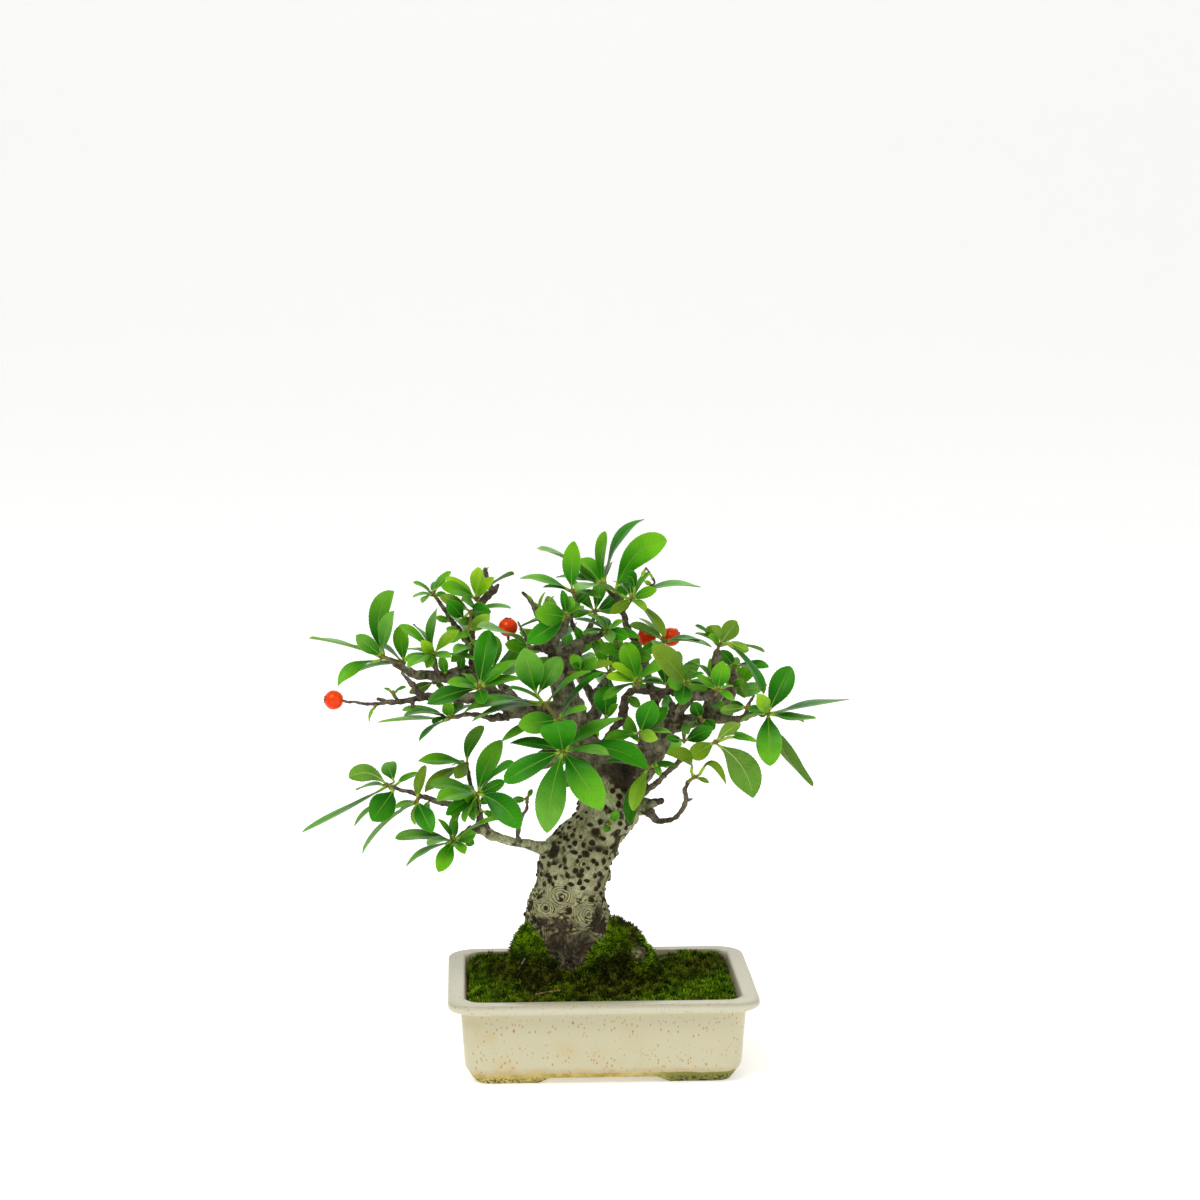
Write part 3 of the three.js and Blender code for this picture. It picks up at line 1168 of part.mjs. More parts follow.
const woodRoom = makeWood(CLEARANCE);
addPiece('pot', makePot(), 'glaze');
drainCentres().forEach((centre, k) => {
  const name = k === 0 ? 'drain_screen_left' : 'drain_screen_right';
  addPiece(name, solidFrom(screenGeometry(centre, 0)), 'screen');
});
addPiece('soil', makeSoil(woodRoom), 'soil');
addPiece('moss', makeMoss(woodRoom), 'moss');
addPiece('wood', makeWood(0), 'bark');
for (const [name, middle, stalkEnd] of BERRIES) {
  addPiece(name, makeBerry(placeAt(...middle), placeAt(...stalkEnd)), 'berry');
}
for (const [name, shoots] of layOutLeaves()) {
  addPiece(name, makeSpray(shoots, woodRoom), 'leaf');
}

const extent = new THREE.Box3().setFromObject(bonsai);
bonsai.position.set(
  -(extent.min.x + extent.max.x) / 2,
  -(extent.min.y + extent.max.y) / 2,
  -extent.min.z,
);
bonsai.updateMatrixWorld(true);

export default bonsai;
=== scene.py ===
import math

import bpy
import numpy as np
from mathutils import Matrix, Vector


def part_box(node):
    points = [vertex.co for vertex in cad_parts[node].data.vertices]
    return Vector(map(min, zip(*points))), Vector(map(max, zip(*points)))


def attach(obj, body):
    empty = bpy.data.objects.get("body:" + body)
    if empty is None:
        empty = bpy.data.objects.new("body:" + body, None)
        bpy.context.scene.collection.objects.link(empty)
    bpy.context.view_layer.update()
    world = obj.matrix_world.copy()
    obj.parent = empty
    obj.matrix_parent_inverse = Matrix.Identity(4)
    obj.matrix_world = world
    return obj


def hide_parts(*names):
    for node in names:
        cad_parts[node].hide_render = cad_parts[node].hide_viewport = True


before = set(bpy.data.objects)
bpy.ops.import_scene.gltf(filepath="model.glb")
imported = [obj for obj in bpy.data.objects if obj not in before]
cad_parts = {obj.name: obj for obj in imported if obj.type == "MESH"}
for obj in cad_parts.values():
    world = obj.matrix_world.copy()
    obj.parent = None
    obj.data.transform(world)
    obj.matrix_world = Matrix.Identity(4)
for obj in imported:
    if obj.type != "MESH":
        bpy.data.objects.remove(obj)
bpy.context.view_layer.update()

# Viewpoint. The tree is placed by what the photograph shows: across and down are
# pixels of its 1200 x 1200 frame, and near is the distance in mm in front of the
# upright plane through the pot's middle. Shapes are worked out in mm from there.
MM = 0.001
PHOTO_SIZE = 1200
FOCAL_LENGTH = 2838
SENSOR_WIDTH = 36
VIEW_DISTANCE = 1135
VIEW_HEIGHT = 348
VIEW_TURN = math.radians(2.7)
VIEW_TILT = math.radians(7.9)

pot_low, pot_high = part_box("pot")
pot_middle = np.array([(pot_low[0] + pot_high[0]) / 2, (pot_low[1] + pot_high[1]) / 2, 0.0])
toward_viewer = np.array([-math.sin(VIEW_TURN), -math.cos(VIEW_TURN), 0.0])
view_right = np.array([math.cos(VIEW_TURN), -math.sin(VIEW_TURN), 0.0])
view_forward = np.array([
    math.sin(VIEW_TURN) * math.cos(VIEW_TILT),
    math.cos(VIEW_TURN) * math.cos(VIEW_TILT),
    -math.sin(VIEW_TILT),
])
view_up = np.cross(view_right, view_forward)
viewpoint = toward_viewer * VIEW_DISTANCE + np.array([0.0, 0.0, VIEW_HEIGHT])


def place_at(across, down, near):
    half = PHOTO_SIZE / 2
    ray = view_forward + view_right * (across - half) / FOCAL_LENGTH + view_up * (half - down) / FOCAL_LENGTH
    return viewpoint + ray * (near - VIEW_DISTANCE) / ray.dot(toward_viewer)


def seen_at(points):
    """Across and down of points in the photograph, and their distance along the view."""
    away = points - viewpoint
    depth = away @ view_forward
    across = PHOTO_SIZE / 2 + FOCAL_LENGTH * (away @ view_right) / depth
    down = PHOTO_SIZE / 2 - FOCAL_LENGTH * (away @ view_up) / depth
    return across, down, depth


def in_metres(points):
    return np.asarray(points) * MM + pot_middle


camera_data = bpy.data.cameras.new("camera")
camera_data.sensor_width = SENSOR_WIDTH
camera_data.lens = FOCAL_LENGTH / PHOTO_SIZE * SENSOR_WIDTH
camera_data.clip_start = 0.05
camera_data.clip_end = 30
camera = bpy.data.objects.new("camera", camera_data)
turned = Matrix(np.column_stack([view_right, view_up, -view_forward]).tolist()).to_4x4()
camera.matrix_world = Matrix.Translation(in_metres(viewpoint).tolist()) @ turned
bpy.context.scene.collection.objects.link(camera)
bpy.context.scene.camera = camera

# Setting. A pale seamless floor that rises behind the tree, a white sky and three
# large soft lamps, the strongest one high on the left of the viewer.
FLOOR_HALF = 6.0
FLOOR_BACK = 2.2
SWEEP_RADIUS = 1.6
FLOOR_RISE = 5.0
FLOOR_GLOW = 0.42
SKY_STRENGTH = 0.4
LAMP_TARGET = (0, 0, 0.11)
# Each lamp's name, its place and size in metres, and its power in watts
LAMPS = [
    ("key_lamp", (-0.5, -0.7, 1.25), 0.7, 10.5),
    ("fill_lamp", (1.0, -0.8, 0.7), 1.0, 3.0),
    ("back_lamp", (0.2, 1.1, 1.1), 0.9, 4.0),
]

bpy.context.scene.view_settings.view_transform = "Standard"
sky = bpy.data.worlds.new("sky")
sky.use_nodes = True
sky_light = sky.node_tree.nodes["Background"]
sky_light.inputs["Color"].default_value = (1.0, 1.0, 1.0, 1.0)
sky_light.inputs["Strength"].default_value = SKY_STRENGTH
bpy.context.scene.world = sky
for lamp_name, lamp_place, lamp_size, lamp_power in LAMPS:
    lamp_data = bpy.data.lights.new(lamp_name, "AREA")
    lamp_data.size = lamp_size
    lamp_data.energy = lamp_power
    lamp = bpy.data.objects.new(lamp_name, lamp_data)
    lamp.location = lamp_place
    aim = Vector(LAMP_TARGET) - Vector(lamp_place)
    lamp.rotation_euler = aim.to_track_quat("-Z", "Y").to_euler()
    bpy.context.scene.collection.objects.link(lamp)


def wire(tree, kind, inputs=(), **settings):
    """Adds a node; an input is a value, or the socket that feeds it."""
    made = tree.nodes.new(kind)
    for name, value in settings.items():
        setattr(made, name, value)
    for key, value in dict(inputs).items():
        if isinstance(value, bpy.types.NodeSocket):
            tree.links.new(value, made.inputs[key])
        else:
            made.inputs[key].default_value = value
    return made


def ink(red, green, blue):
    """A colour as seen on a screen, 0 to 255, as the shader's linear colour."""
    shares = [value / 255 for value in (red, green, blue)]
    return tuple(((s + 0.055) / 1.055) ** 2.4 if s > 0.04045 else s / 12.92 for s in shares) + (1.0,)


def new_material(name, colour, roughness):
    material = bpy.data.materials.new(name)
    material.use_nodes = True
    material.diffuse_color = colour
    shader = material.node_tree.nodes["Principled BSDF"]
    shader.inputs["Base Color"].default_value = colour
    shader.inputs["Roughness"].default_value = roughness
    return material, material.node_tree, shader


def make_piece(name, points, faces, material, smooth=True):
    """A mesh object at the origin from points in mm round the pot's middle."""
    mesh = bpy.data.meshes.new(name)
    mesh.from_pydata(in_metres(points).tolist(), [], faces)
    mesh.materials.append(material)
    if smooth:
        mesh.shade_smooth()
    piece = bpy.data.objects.new(name, mesh)
    bpy.context.scene.collection.objects.link(piece)
    return piece


paper, _, paper_shader = new_material("pale_floor", ink(246, 246, 244), 0.9)
paper_shader.inputs["Emission Color"].default_value = (1.0, 1.0, 1.0, 1.0)
paper_shader.inputs["Emission Strength"].default_value = FLOOR_GLOW
sweep = [(-FLOOR_HALF, 0.0), (FLOOR_BACK, 0.0)]
for angle in np.linspace(0.15, math.pi / 2, 10):
    sweep.append((FLOOR_BACK + SWEEP_RADIUS * math.sin(angle), SWEEP_RADIUS - SWEEP_RADIUS * math.cos(angle)))
sweep.append((FLOOR_BACK + SWEEP_RADIUS, FLOOR_RISE))
floor_points = [(side * FLOOR_HALF, y, z) for y, z in sweep for side in (-1, 1)]
floor_faces = [(2 * k, 2 * k + 1, 2 * k + 3, 2 * k + 2) for k in range(len(sweep) - 1)]
floor_mesh = bpy.data.meshes.new("floor")
floor_mesh.from_pydata(floor_points, [], floor_faces)
floor_mesh.materials.append(paper)
floor_mesh.shade_smooth()
floor = bpy.data.objects.new("floor", floor_mesh)
bpy.context.scene.collection.objects.link(floor)

# Pot. A pressed stoneware pot with a rolled lip, low feet at the corners and two
# drain holes, dipped in a cream glaze that iron in the clay has speckled. The glaze
# stops short of the feet, where the bare tan clay is stained by water and algae.
POT_LENGTH = 125
POT_DEPTH = 91
CORNER_RADIUS = 11
LEAST_RADIUS = 2.5
CORNER_STEPS = 12
LONG_SIDE_STEPS = 34
SHORT_SIDE_STEPS = 24
# The pot's section from underneath, over the lip, to its floor: mm in from the lip, mm up
POT_PROFILE = [
    (30, 0), (20, 0), (13, 0), (11.5, 0), (11.15, 0.3), (10.1, 1.8), (9.0, 3.6), (7.8, 5.4), (7.1, 6.9),
    (6.8, 8.6), (6.45, 13), (6.1, 18), (5.75, 23), (5.4, 28), (5.25, 29.4), (4.9, 30.2), (4.2, 30.6),
    (2.2, 30.85), (1.1, 31.1), (0.4, 31.6), (0.12, 32.4), (0.06, 33.2), (0.25, 34.0), (0.85, 34.6),
    (1.9, 34.93), (3.2, 35.0), (5.0, 35.0), (6.2, 34.95), (6.9, 34.7), (7.25, 34.2), (7.45, 33.4), (7.8, 31),
    (8.3, 28), (9.2, 20), (10.6, 9), (11.2, 7.4), (12.4, 6.5), (20, 6.5), (30, 6.5),
]
FLOOR_TOP = 6.5
# Heights where the lip's edge turns over and where its top begins
LIP_TURN = 33.2
LIP_TOP = 34
FOOT_HEIGHT = 2.6
# Each gap between the feet: its width, how far it cuts through, its turn in degrees
FOOT_GAPS = [(48, POT_DEPTH, 0), (28, POT_LENGTH, 90)]
DRAIN_RADIUS = 4.5
DRAIN_CENTRES = (-26, 26)
GLAZE_HAND_WOBBLE = 0.12
WOBBLE_ABOVE = 4


def lattice_value(x, y, z, seed):
    mixed = (x * 73856093) ^ (y * 19349663) ^ (z * 83492791) ^ (seed * 40503001)
    mixed = ((mixed ^ (mixed >> 13)) * 1274126177) & 0x7FFFFFFF
    mixed = ((mixed ^ (mixed >> 15)) * 461845907) & 0x7FFFFFFF
    return ((mixed >> 8) & 0xFFFF) / 32767.5 - 1


def cloud(points, size, seed, octaves=3):
    """Smooth random values from -1 to 1 at points, in lumps about as wide as size."""
    total = np.zeros(len(points))
    weight = 0
    for octave in range(octaves):
        scaled = np.asarray(points) * (2 ** octave / size) + 37.3 * octave
        cell = np.floor(scaled).astype(np.int64)
        part = scaled - cell
        part = part * part * (3 - 2 * part)
        value = np.zeros(len(points))
        for corner in range(8):
            step = np.array([corner & 1, (corner >> 1) & 1, (corner >> 2) & 1])
            share = np.prod(np.where(step == 1, part, 1 - part), axis=1)
            at = cell + step
            value += share * lattice_value(at[:, 0], at[:, 1], at[:, 2], seed + octave)
        total += value * 0.5 ** octave
        weight += 0.5 ** octave
    return total / weight * 1.6


def rounded_ring(half_x, half_y, radius, corner_steps, long_steps, short_steps):
    """A rounded rectangle as points along its edge, anticlockwise from above."""
    corners = []
    for corner in range(4):
        sign_x = 1 if corner in (0, 3) else -1
        sign_y = 1 if corner < 2 else -1
        for step in range(corner_steps + 1):
            angle = (corner + step / corner_steps) * math.pi / 2
            corners.append((
                sign_x * (half_x - radius) + radius * math.cos(angle),
                sign_y * (half_y - radius) + radius * math.sin(angle),
            ))
    ring = []
    for k, point in enumerate(corners):
        ring.append(point)
        if k % (corner_steps + 1) == corner_steps:
            other = corners[(k + 1) % len(corners)]
            steps = long_steps if abs(other[0] - point[0]) > abs(other[1] - point[1]) else short_steps
            for share in np.arange(1, steps) / steps:
                ring.append([here + (there - here) * share for here, there in zip(point, other)])
    return np.array(ring)


def pot_ring(inset, *steps):
    """The pot's outline seen from above, this far in from its lip."""
    radius = max(CORNER_RADIUS - inset * 0.45, LEAST_RADIUS)
    return rounded_ring(POT_LENGTH / 2 - inset, POT_DEPTH / 2 - inset, radius, *steps)


def ring_faces(rings, count):
    """Quads between rings of count points, and a cap on the first and last ring."""
    faces = []
    for ring in range(rings - 1):
        for k in range(count):
            a = ring * count + k
            b = ring * count + (k + 1) % count
            faces.append((a, b, b + count, a + count))
    faces.append(tuple(range(count - 1, -1, -1)))
    faces.append(tuple((rings - 1) * count + k for k in range(count)))
    return faces


def bake_modifiers(piece):
    """Leaves the piece with the mesh that its modifiers make of it, and none of them."""
    graph = bpy.context.evaluated_depsgraph_get()
    mesh = bpy.data.meshes.new_from_object(piece.evaluated_get(graph), depsgraph=graph)
    piece.modifiers.clear()
    old = piece.data
    piece.data = mesh
    bpy.data.meshes.remove(old)


def points_of(mesh):
    points = np.empty(len(mesh.vertices) * 3)
    mesh.vertices.foreach_get("co", points)
    return (points.reshape(-1, 3) - pot_middle) / MM


def add_attribute(mesh, name, values, kind="FLOAT", domain="POINT"):
    made = mesh.attributes.new(name, kind, domain)
    field = "color" if kind == "FLOAT_COLOR" else "value"
    made.data.foreach_set(field, np.asarray(values, dtype=np.float32).ravel())


def worked(operation, first, second=0.0):
    """One step of arithmetic between values, of which at least one is a socket."""
    tree = first.id_data if isinstance(first, bpy.types.NodeSocket) else second.id_data
    return wire(tree, "ShaderNodeMath", {0: first, 1: second}, operation=operation).outputs[0]


def times(first, second):
    return worked("MULTIPLY", first, second)


def plus(first, second):
    return worked("ADD", first, second)


def ramped(value, start, end):
    """0 where value is start, 1 where it is end, smooth between them."""
    return wire(value.id_data, "ShaderNodeMapRange", {"Value": value, "From Min": start, "From Max": end},
                interpolation_type="SMOOTHSTEP").outputs["Result"]


def spread(value, low, high):
    """Low where value is 0, high where it is 1."""
    made = wire(value.id_data, "ShaderNodeMapRange", {"Value": value, "To Min": low, "To Max": high})
    return made.outputs["Result"]


def mask_group(name, kind):
    """A shader node group that gives a mask: soft clouds, or scattered round spots."""
    group = bpy.data.node_groups.new(name, "ShaderNodeTree")
    group.interface.new_socket(name="Vector", in_out="INPUT", socket_type="NodeSocketVector")
    for socket in ("Scale", "From", "To"):
        group.interface.new_socket(name=socket, in_out="INPUT", socket_type="NodeSocketFloat")
    group.interface.new_socket(name="Mask", in_out="OUTPUT", socket_type="NodeSocketFloat")
    given = wire(group, "NodeGroupInput").outputs
    at = {"Vector": given["Vector"], "Scale": given["Scale"]}
    if kind == "clouds":
        noise = wire(group, "ShaderNodeTexNoise", {**at, "Detail": 5.0, "Roughness": 0.6})
        mask = ramped(noise.outputs["Fac"], given["From"], given["To"])
    else:
        spots = wire(group, "ShaderNodeTexVoronoi", at)
        chance = wire(group, "ShaderNodeSeparateColor", {0: spots.outputs["Color"]}).outputs
        inside = ramped(spots.outputs["Distance"], times(chance[1], given["To"]), 0.0)
        mask = times(inside, worked("LESS_THAN", chance[0], given["From"]))
    wire(group, "NodeGroupOutput", {"Mask": mask})
    return group


cloud_mask = mask_group("cloud_mask", "clouds")
spot_mask = mask_group("spot_mask", "spots")


def given_value(tree, name):
    return wire(tree, "ShaderNodeAttribute", attribute_name=name).outputs["Fac"]


def object_coordinates(tree):
    return wire(tree, "ShaderNodeTexCoord").outputs["Object"]


def masked(group, vector, scale, start, end):
    values = {"Vector": vector, "Scale": scale, "From": start, "To": end}
    return wire(vector.id_data, "ShaderNodeGroup", values, node_tree=group).outputs["Mask"]


def blended(factor, first, second):
    """Colour going from first to second as factor goes from 0 to 1."""
    tree = factor.id_data if isinstance(factor, bpy.types.NodeSocket) else first.id_data
    return wire(tree, "ShaderNodeMix", {0: factor, 6: first, 7: second}, data_type="RGBA").outputs[2]


def layered(colour, layers):
    """Colour under layers, each with a mask, its strength and its own colour."""
    for mask, strength, tint in layers:
        over = tint if isinstance(tint, bpy.types.NodeSocket) else ink(*tint)
        colour = blended(times(mask, strength), colour, over)
    return colour


def feed(shader, name, value):
    shader.id_data.links.new(value, shader.inputs[name])


def bumped(shader, height, strength, distance):
    values = {"Height": height, "Strength": strength, "Distance": distance}
    feed(shader, "Normal", wire(shader.id_data, "ShaderNodeBump", values).outputs["Normal"])


# Where rusty water has dried on the front: place (across, down, near), radius in mm
TAN_STAINS = [([566, 1056, 44], 9), ([712, 1060, 44], 7), ([490, 1040, 44], 5), ([505, 1072, 42], 8),
              ([640, 1068, 42], 6)]

glaze, glaze_tree, glaze_shader = new_material("speckled_cream_glaze", ink(214, 207, 180), 0.32)
glaze_at = object_coordinates(glaze_tree)
glaze_across, _, glaze_height = wire(glaze_tree, "ShaderNodeSeparateXYZ", {0: glaze_at}).outputs
glaze_run = wire(glaze_tree, "ShaderNodeMapping", {"Vector": glaze_at, "Scale": (1.0, 1.0, 0.62)}).outputs[0]
stain = masked(cloud_mask, glaze_at, 38, 0.5, 0.76)
drips = times(masked(cloud_mask, glaze_at, 95, 0.62, 0.78), ramped(glaze_height, 0.017, 0.004))
edge_wobble = masked(cloud_mask, glaze_at, 160, 0.3, 0.7)
glazed = ramped(plus(glaze_height, times(edge_wobble, 0.0006)), 0.0047, 0.0053)
thin_glaze = ramped(plus(glaze_height, times(edge_wobble, 0.0014)), 0.0088, 0.0056)
tans = []
for stain_at, stain_radius in TAN_STAINS:
    centre = tuple(in_metres(place_at(*stain_at)))
    away = wire(glaze_tree, "ShaderNodeVectorMath", {0: glaze_at, 1: centre}, operation="DISTANCE")
    tan = ramped(away.outputs["Value"], stain_radius * MM, 0.0)
    tans.append(times(tan, masked(cloud_mask, glaze_at, 130, 0.25, 0.6)))
cream = layered(blended(times(stain, 0.55), ink(202, 196, 164), ink(200, 182, 134)), [
    (drips, 0.75, (182, 148, 92)),
    *[(tan, 0.7, (202, 172, 108)) for tan in tans],
    # Painted light: paler glaze from the cove under the lip up over the lip lifts the shade under the lip and
    # brightens the lip's band
    (ramped(glaze_height, 0.0298, 0.0315), 0.7, (208, 205, 184)),
    (ramped(glaze_height, 0.0338, 0.0346), 0.5, (184, 178, 150)),
    (thin_glaze, 0.6, (184, 162, 112)),
    (masked(spot_mask, glaze_run, 980, 0.46, 0.62), 0.95, (176, 120, 18)),
    (masked(spot_mask, glaze_run, 470, 0.17, 0.38), 0.95, (150, 88, 20)),
    (given_value(glaze_tree, "worn_edge"), 0.7, (150, 122, 78)),
])
algae = plus(masked(cloud_mask, glaze_at, 75, 0.34, 0.5), times(ramped(glaze_across, 0.03, 0.05), 0.6))
algae = times(algae, masked(cloud_mask, glaze_at, 900, 0.49, 0.56))
clay_patch = masked(cloud_mask, glaze_at, 210, 0.35, 0.65)
clay = layered(blended(clay_patch, ink(204, 184, 112), ink(168, 146, 72)), [
    (ramped(glaze_across, 0.022, 0.042), 0.85, (116, 120, 40)),
    (times(algae, ramped(glaze_height, 0.0042, 0.0012)), 0.92, (46, 54, 18)),
    (masked(spot_mask, glaze_at, 700, 0.3, 0.4), 0.7, (78, 70, 36)),
])
feed(glaze_shader, "Base Color", blended(glazed, clay, cream))
feed(glaze_shader, "Roughness", plus(spread(glazed, 0.85, 0.3), times(stain, 0.12)))
orange_peel = masked(cloud_mask, glaze_at, 420, 0.2, 0.8)
pits = masked(spot_mask, glaze_at, 620, 0.1, 0.22)
bumped(glaze_shader, plus(times(orange_peel, 0.35), times(pits, -0.7)), 0.35, 0.0003)

pot_rings = []
for inset, height in POT_PROFILE:
    ring = pot_ring(inset, CORNER_STEPS, LONG_SIDE_STEPS, SHORT_SIDE_STEPS)
    pot_rings.append(np.column_stack([ring, np.full(len(ring), float(height))]))
pot_points = np.concatenate(pot_rings)
pot_wobble = cloud(pot_points * [1, 1, 1.6], 34, 5, 2) * GLAZE_HAND_WOBBLE
outward = pot_points * [1, 1, 0] / np.linalg.norm(pot_points[:, :2], axis=1)[:, None]
pot_points += outward * (pot_wobble * (pot_points[:, 2] > WOBBLE_ABOVE))[:, None]
pot_points[:, 2] -= np.where(pot_points[:, 2] > LIP_TOP, np.abs(pot_wobble), 0)
pot = make_piece("glazed_pot", pot_points, ring_faces(len(POT_PROFILE), len(pot_rings[0])), glaze)

cutters = []
for gap_width, gap_through, gap_turn in FOOT_GAPS:
    half, slope = gap_width / 2, FOOT_HEIGHT
    outline = [(-half - slope, -1), (half + slope, -1), (half + slope, 0), (half - slope, FOOT_HEIGHT),
               (-half + slope, FOOT_HEIGHT), (-half - slope, 0)]
    prism = [(x, side * gap_through / 2, z) for side in (-1, 1) for x, z in outline]
    if gap_turn:
        prism = [(-y, x, z) for x, y, z in prism]
    prism_faces = [tuple(range(6)), tuple(range(11, 5, -1))]
    prism_faces += [(k, k + 6, (k + 1) % 6 + 6, (k + 1) % 6) for k in range(6)]
    cutters.append(make_piece("foot_gap", prism, prism_faces, glaze, smooth=False))
for drain_x in DRAIN_CENTRES:
    circle = [(drain_x + DRAIN_RADIUS * math.cos(a), DRAIN_RADIUS * math.sin(a))
              for a in np.linspace(0, 2 * math.pi, 32, endpoint=False)]
    drain = [(x, y, z) for z in (-2, FLOOR_TOP + 3) for x, y in circle]
    cutters.append(make_piece("drain", drain, ring_faces(2, 32), glaze, smooth=False))
for cutter in cutters:
    cut = pot.modifiers.new("cut", "BOOLEAN")
    cut.operation = "DIFFERENCE"
    cut.solver = "EXACT"
    cut.object = cutter
bake_modifiers(pot)
pot_points = points_of(pot.data)
beyond = np.abs(pot_points[:, :2]) - [POT_LENGTH / 2 - CORNER_RADIUS, POT_DEPTH / 2 - CORNER_RADIUS]
inset = CORNER_RADIUS - np.hypot(*np.maximum(beyond, 0).T) - np.minimum(beyond.max(axis=1), 0)
worn_edge = np.exp(-((inset - 7.0) / 0.4) ** 2) + 0.45 * np.exp(-((inset - 0.5) / 0.35) ** 2)
add_attribute(pot.data, "worn_edge", worn_edge * (pot_points[:, 2] > LIP_TURN))
for cutter in cutters:
    bpy.data.objects.remove(cutter)
pot.data.shade_smooth()
pot.data.set_sharp_from_angle(angle=math.radians(38))
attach(pot, "root")
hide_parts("pot")

# Drain screens. A square of black plastic netting lies over each drain hole inside
# the pot and keeps the soil in. Its strands are moulded, crossing at right angles.
SCREEN_SIZE = 17
STRANDS = 13
STRAND_WIDTH = 0.5
STRAND_THICKNESS = 0.42
STRAND_LIFT = 0.1

netting, netting_tree, netting_shader = new_material("black_netting", ink(34, 35, 38), 0.55)
netting_dust = masked(cloud_mask, object_coordinates(netting_tree), 260, 0.45, 0.75)
feed(netting_shader, "Base Color", blended(times(netting_dust, 0.5), ink(30, 31, 34), ink(88, 76, 60)))
bumped(netting_shader, netting_dust, 0.3, 0.0002)


def growth_nodes(name, values):
    """A geometry node tree with an input for each value: the tree, the inputs and what they give."""
    tree = bpy.data.node_groups.new(name, "GeometryNodeTree")
    tree.interface.new_socket(name="Geometry", in_out="INPUT", socket_type="NodeSocketGeometry")
    identifiers = []
    for socket_name, value in values.items():
        socket = tree.interface.new_socket(name=socket_name, in_out="INPUT", socket_type="NodeSocketFloat")
        socket.default_value = value
        identifiers.append(socket.identifier)
    tree.interface.new_socket(name="Geometry", in_out="OUTPUT", socket_type="NodeSocketGeometry")
    return tree, identifiers, wire(tree, "NodeGroupInput").outputs


def end_growth(tree, grown, material):
    """Ends a geometry node tree with a real mesh in one material."""
    whole = wire(tree, "GeometryNodeRealizeInstances", {0: grown}).outputs[0]
    finished = wire(tree, "GeometryNodeSetMaterial", {"Geometry": whole, "Material": material}).outputs[0]
    wire(tree, "NodeGroupOutput", {0: finished})


def grow(piece, tree, identifiers, values):
    growth = piece.modifiers.new(tree.name, "NODES")
    growth.node_group = tree
    for identifier, value in zip(identifiers, values):
        growth[identifier] = value
    bake_modifiers(piece)


netting_sizes = {"Side": SCREEN_SIZE * MM, "Strand Width": STRAND_WIDTH * MM,
                 "Strand Thickness": STRAND_THICKNESS * MM}
netting_nodes, netting_inputs, given = growth_nodes("netting", netting_sizes)
row_length = worked("SUBTRACT", given["Side"], given["Strand Width"])
start, end = (wire(netting_nodes, "ShaderNodeCombineXYZ", {0: times(row_length, side)}).outputs[0]
              for side in (-0.5, 0.5))
size = wire(netting_nodes, "ShaderNodeCombineXYZ",
            {0: given["Strand Width"], 1: given["Side"], 2: given["Strand Thickness"]}).outputs[0]
both_ways = wire(netting_nodes, "GeometryNodeJoinGeometry")
for turn, lift in ((0.0, STRAND_LIFT), (math.pi / 2, -STRAND_LIFT)):
    row = wire(netting_nodes, "GeometryNodeMeshLine",
               {"Count": STRANDS, "Start Location": start, "Offset": end}, mode="END_POINTS").outputs[0]
    strand = wire(netting_nodes, "GeometryNodeMeshCube", {"Size": size, "Vertices Y": 2}).outputs[0]
    placed = wire(netting_nodes, "GeometryNodeInstanceOnPoints",
                  {"Points": row, "Instance": strand}).outputs[0]
    turned_row = wire(netting_nodes, "GeometryNodeTransform", {
        "Geometry": placed, "Rotation": (0, 0, turn), "Translation": (0, 0, lift * MM)}).outputs[0]
    netting_nodes.links.new(turned_row, both_ways.inputs[0])
end_growth(netting_nodes, both_ways.outputs[0], netting)

for screen_name in ("drain_screen_left", "drain_screen_right"):
    screen = make_piece(screen_name.replace("drain", "net"), [(0, 0, 0)], [], netting, smooth=False)
    grow(screen, netting_nodes, netting_inputs, netting_sizes.values())
    low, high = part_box(screen_name)
    middle = [(low[axis] + high[axis]) / 2 for axis in range(3)]
    screen.data.transform(Matrix.Translation(middle))
    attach(screen, "root")
    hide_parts(screen_name)

# Soil. Dark potting grit that fills the pot to under the moss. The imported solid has
# its shape, and shows only through the drain holes, so it keeps its mesh.
grit, grit_tree, grit_shader = new_material("potting_grit", ink(58, 44, 32), 0.95)
grit_at = object_coordinates(grit_tree)
grains = wire(grit_tree, "ShaderNodeTexVoronoi", {"Vector": grit_at, "Scale": 520.0}).outputs
grain_tint = wire(grit_tree, "ShaderNodeSeparateColor", {0: grains["Color"]}).outputs[0]
grit_colour = blended(grain_tint, ink(40, 29, 20), ink(96, 76, 54))
# Painted shade: the grit darkens towards the edges of its grains, where they meet
shaded_grit_gaps = ramped(grains["Distance"], 0.75, 0.35)
feed(grit_shader, "Base Color", blended(shaded_grit_gaps, ink(22, 15, 10), grit_colour))
bumped(grit_shader, shaded_grit_gaps, 0.8, 0.0012)
soil_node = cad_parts["soil"]
soil_node.data.materials.clear()
soil_node.data.materials.append(grit)

# Trunk, roots and limbs. One piece of living wood with a fluted, leaning trunk. The
# bark is pale grey-green, dotted with raised dark lenticels, scarred with rings where
# twigs were pruned, and dark and cracked where the roots enter the moss.
ROUTE_STEP = 1.1
LIMB_THICKNESS = 3.1
SKIN_VOXEL = 0.43
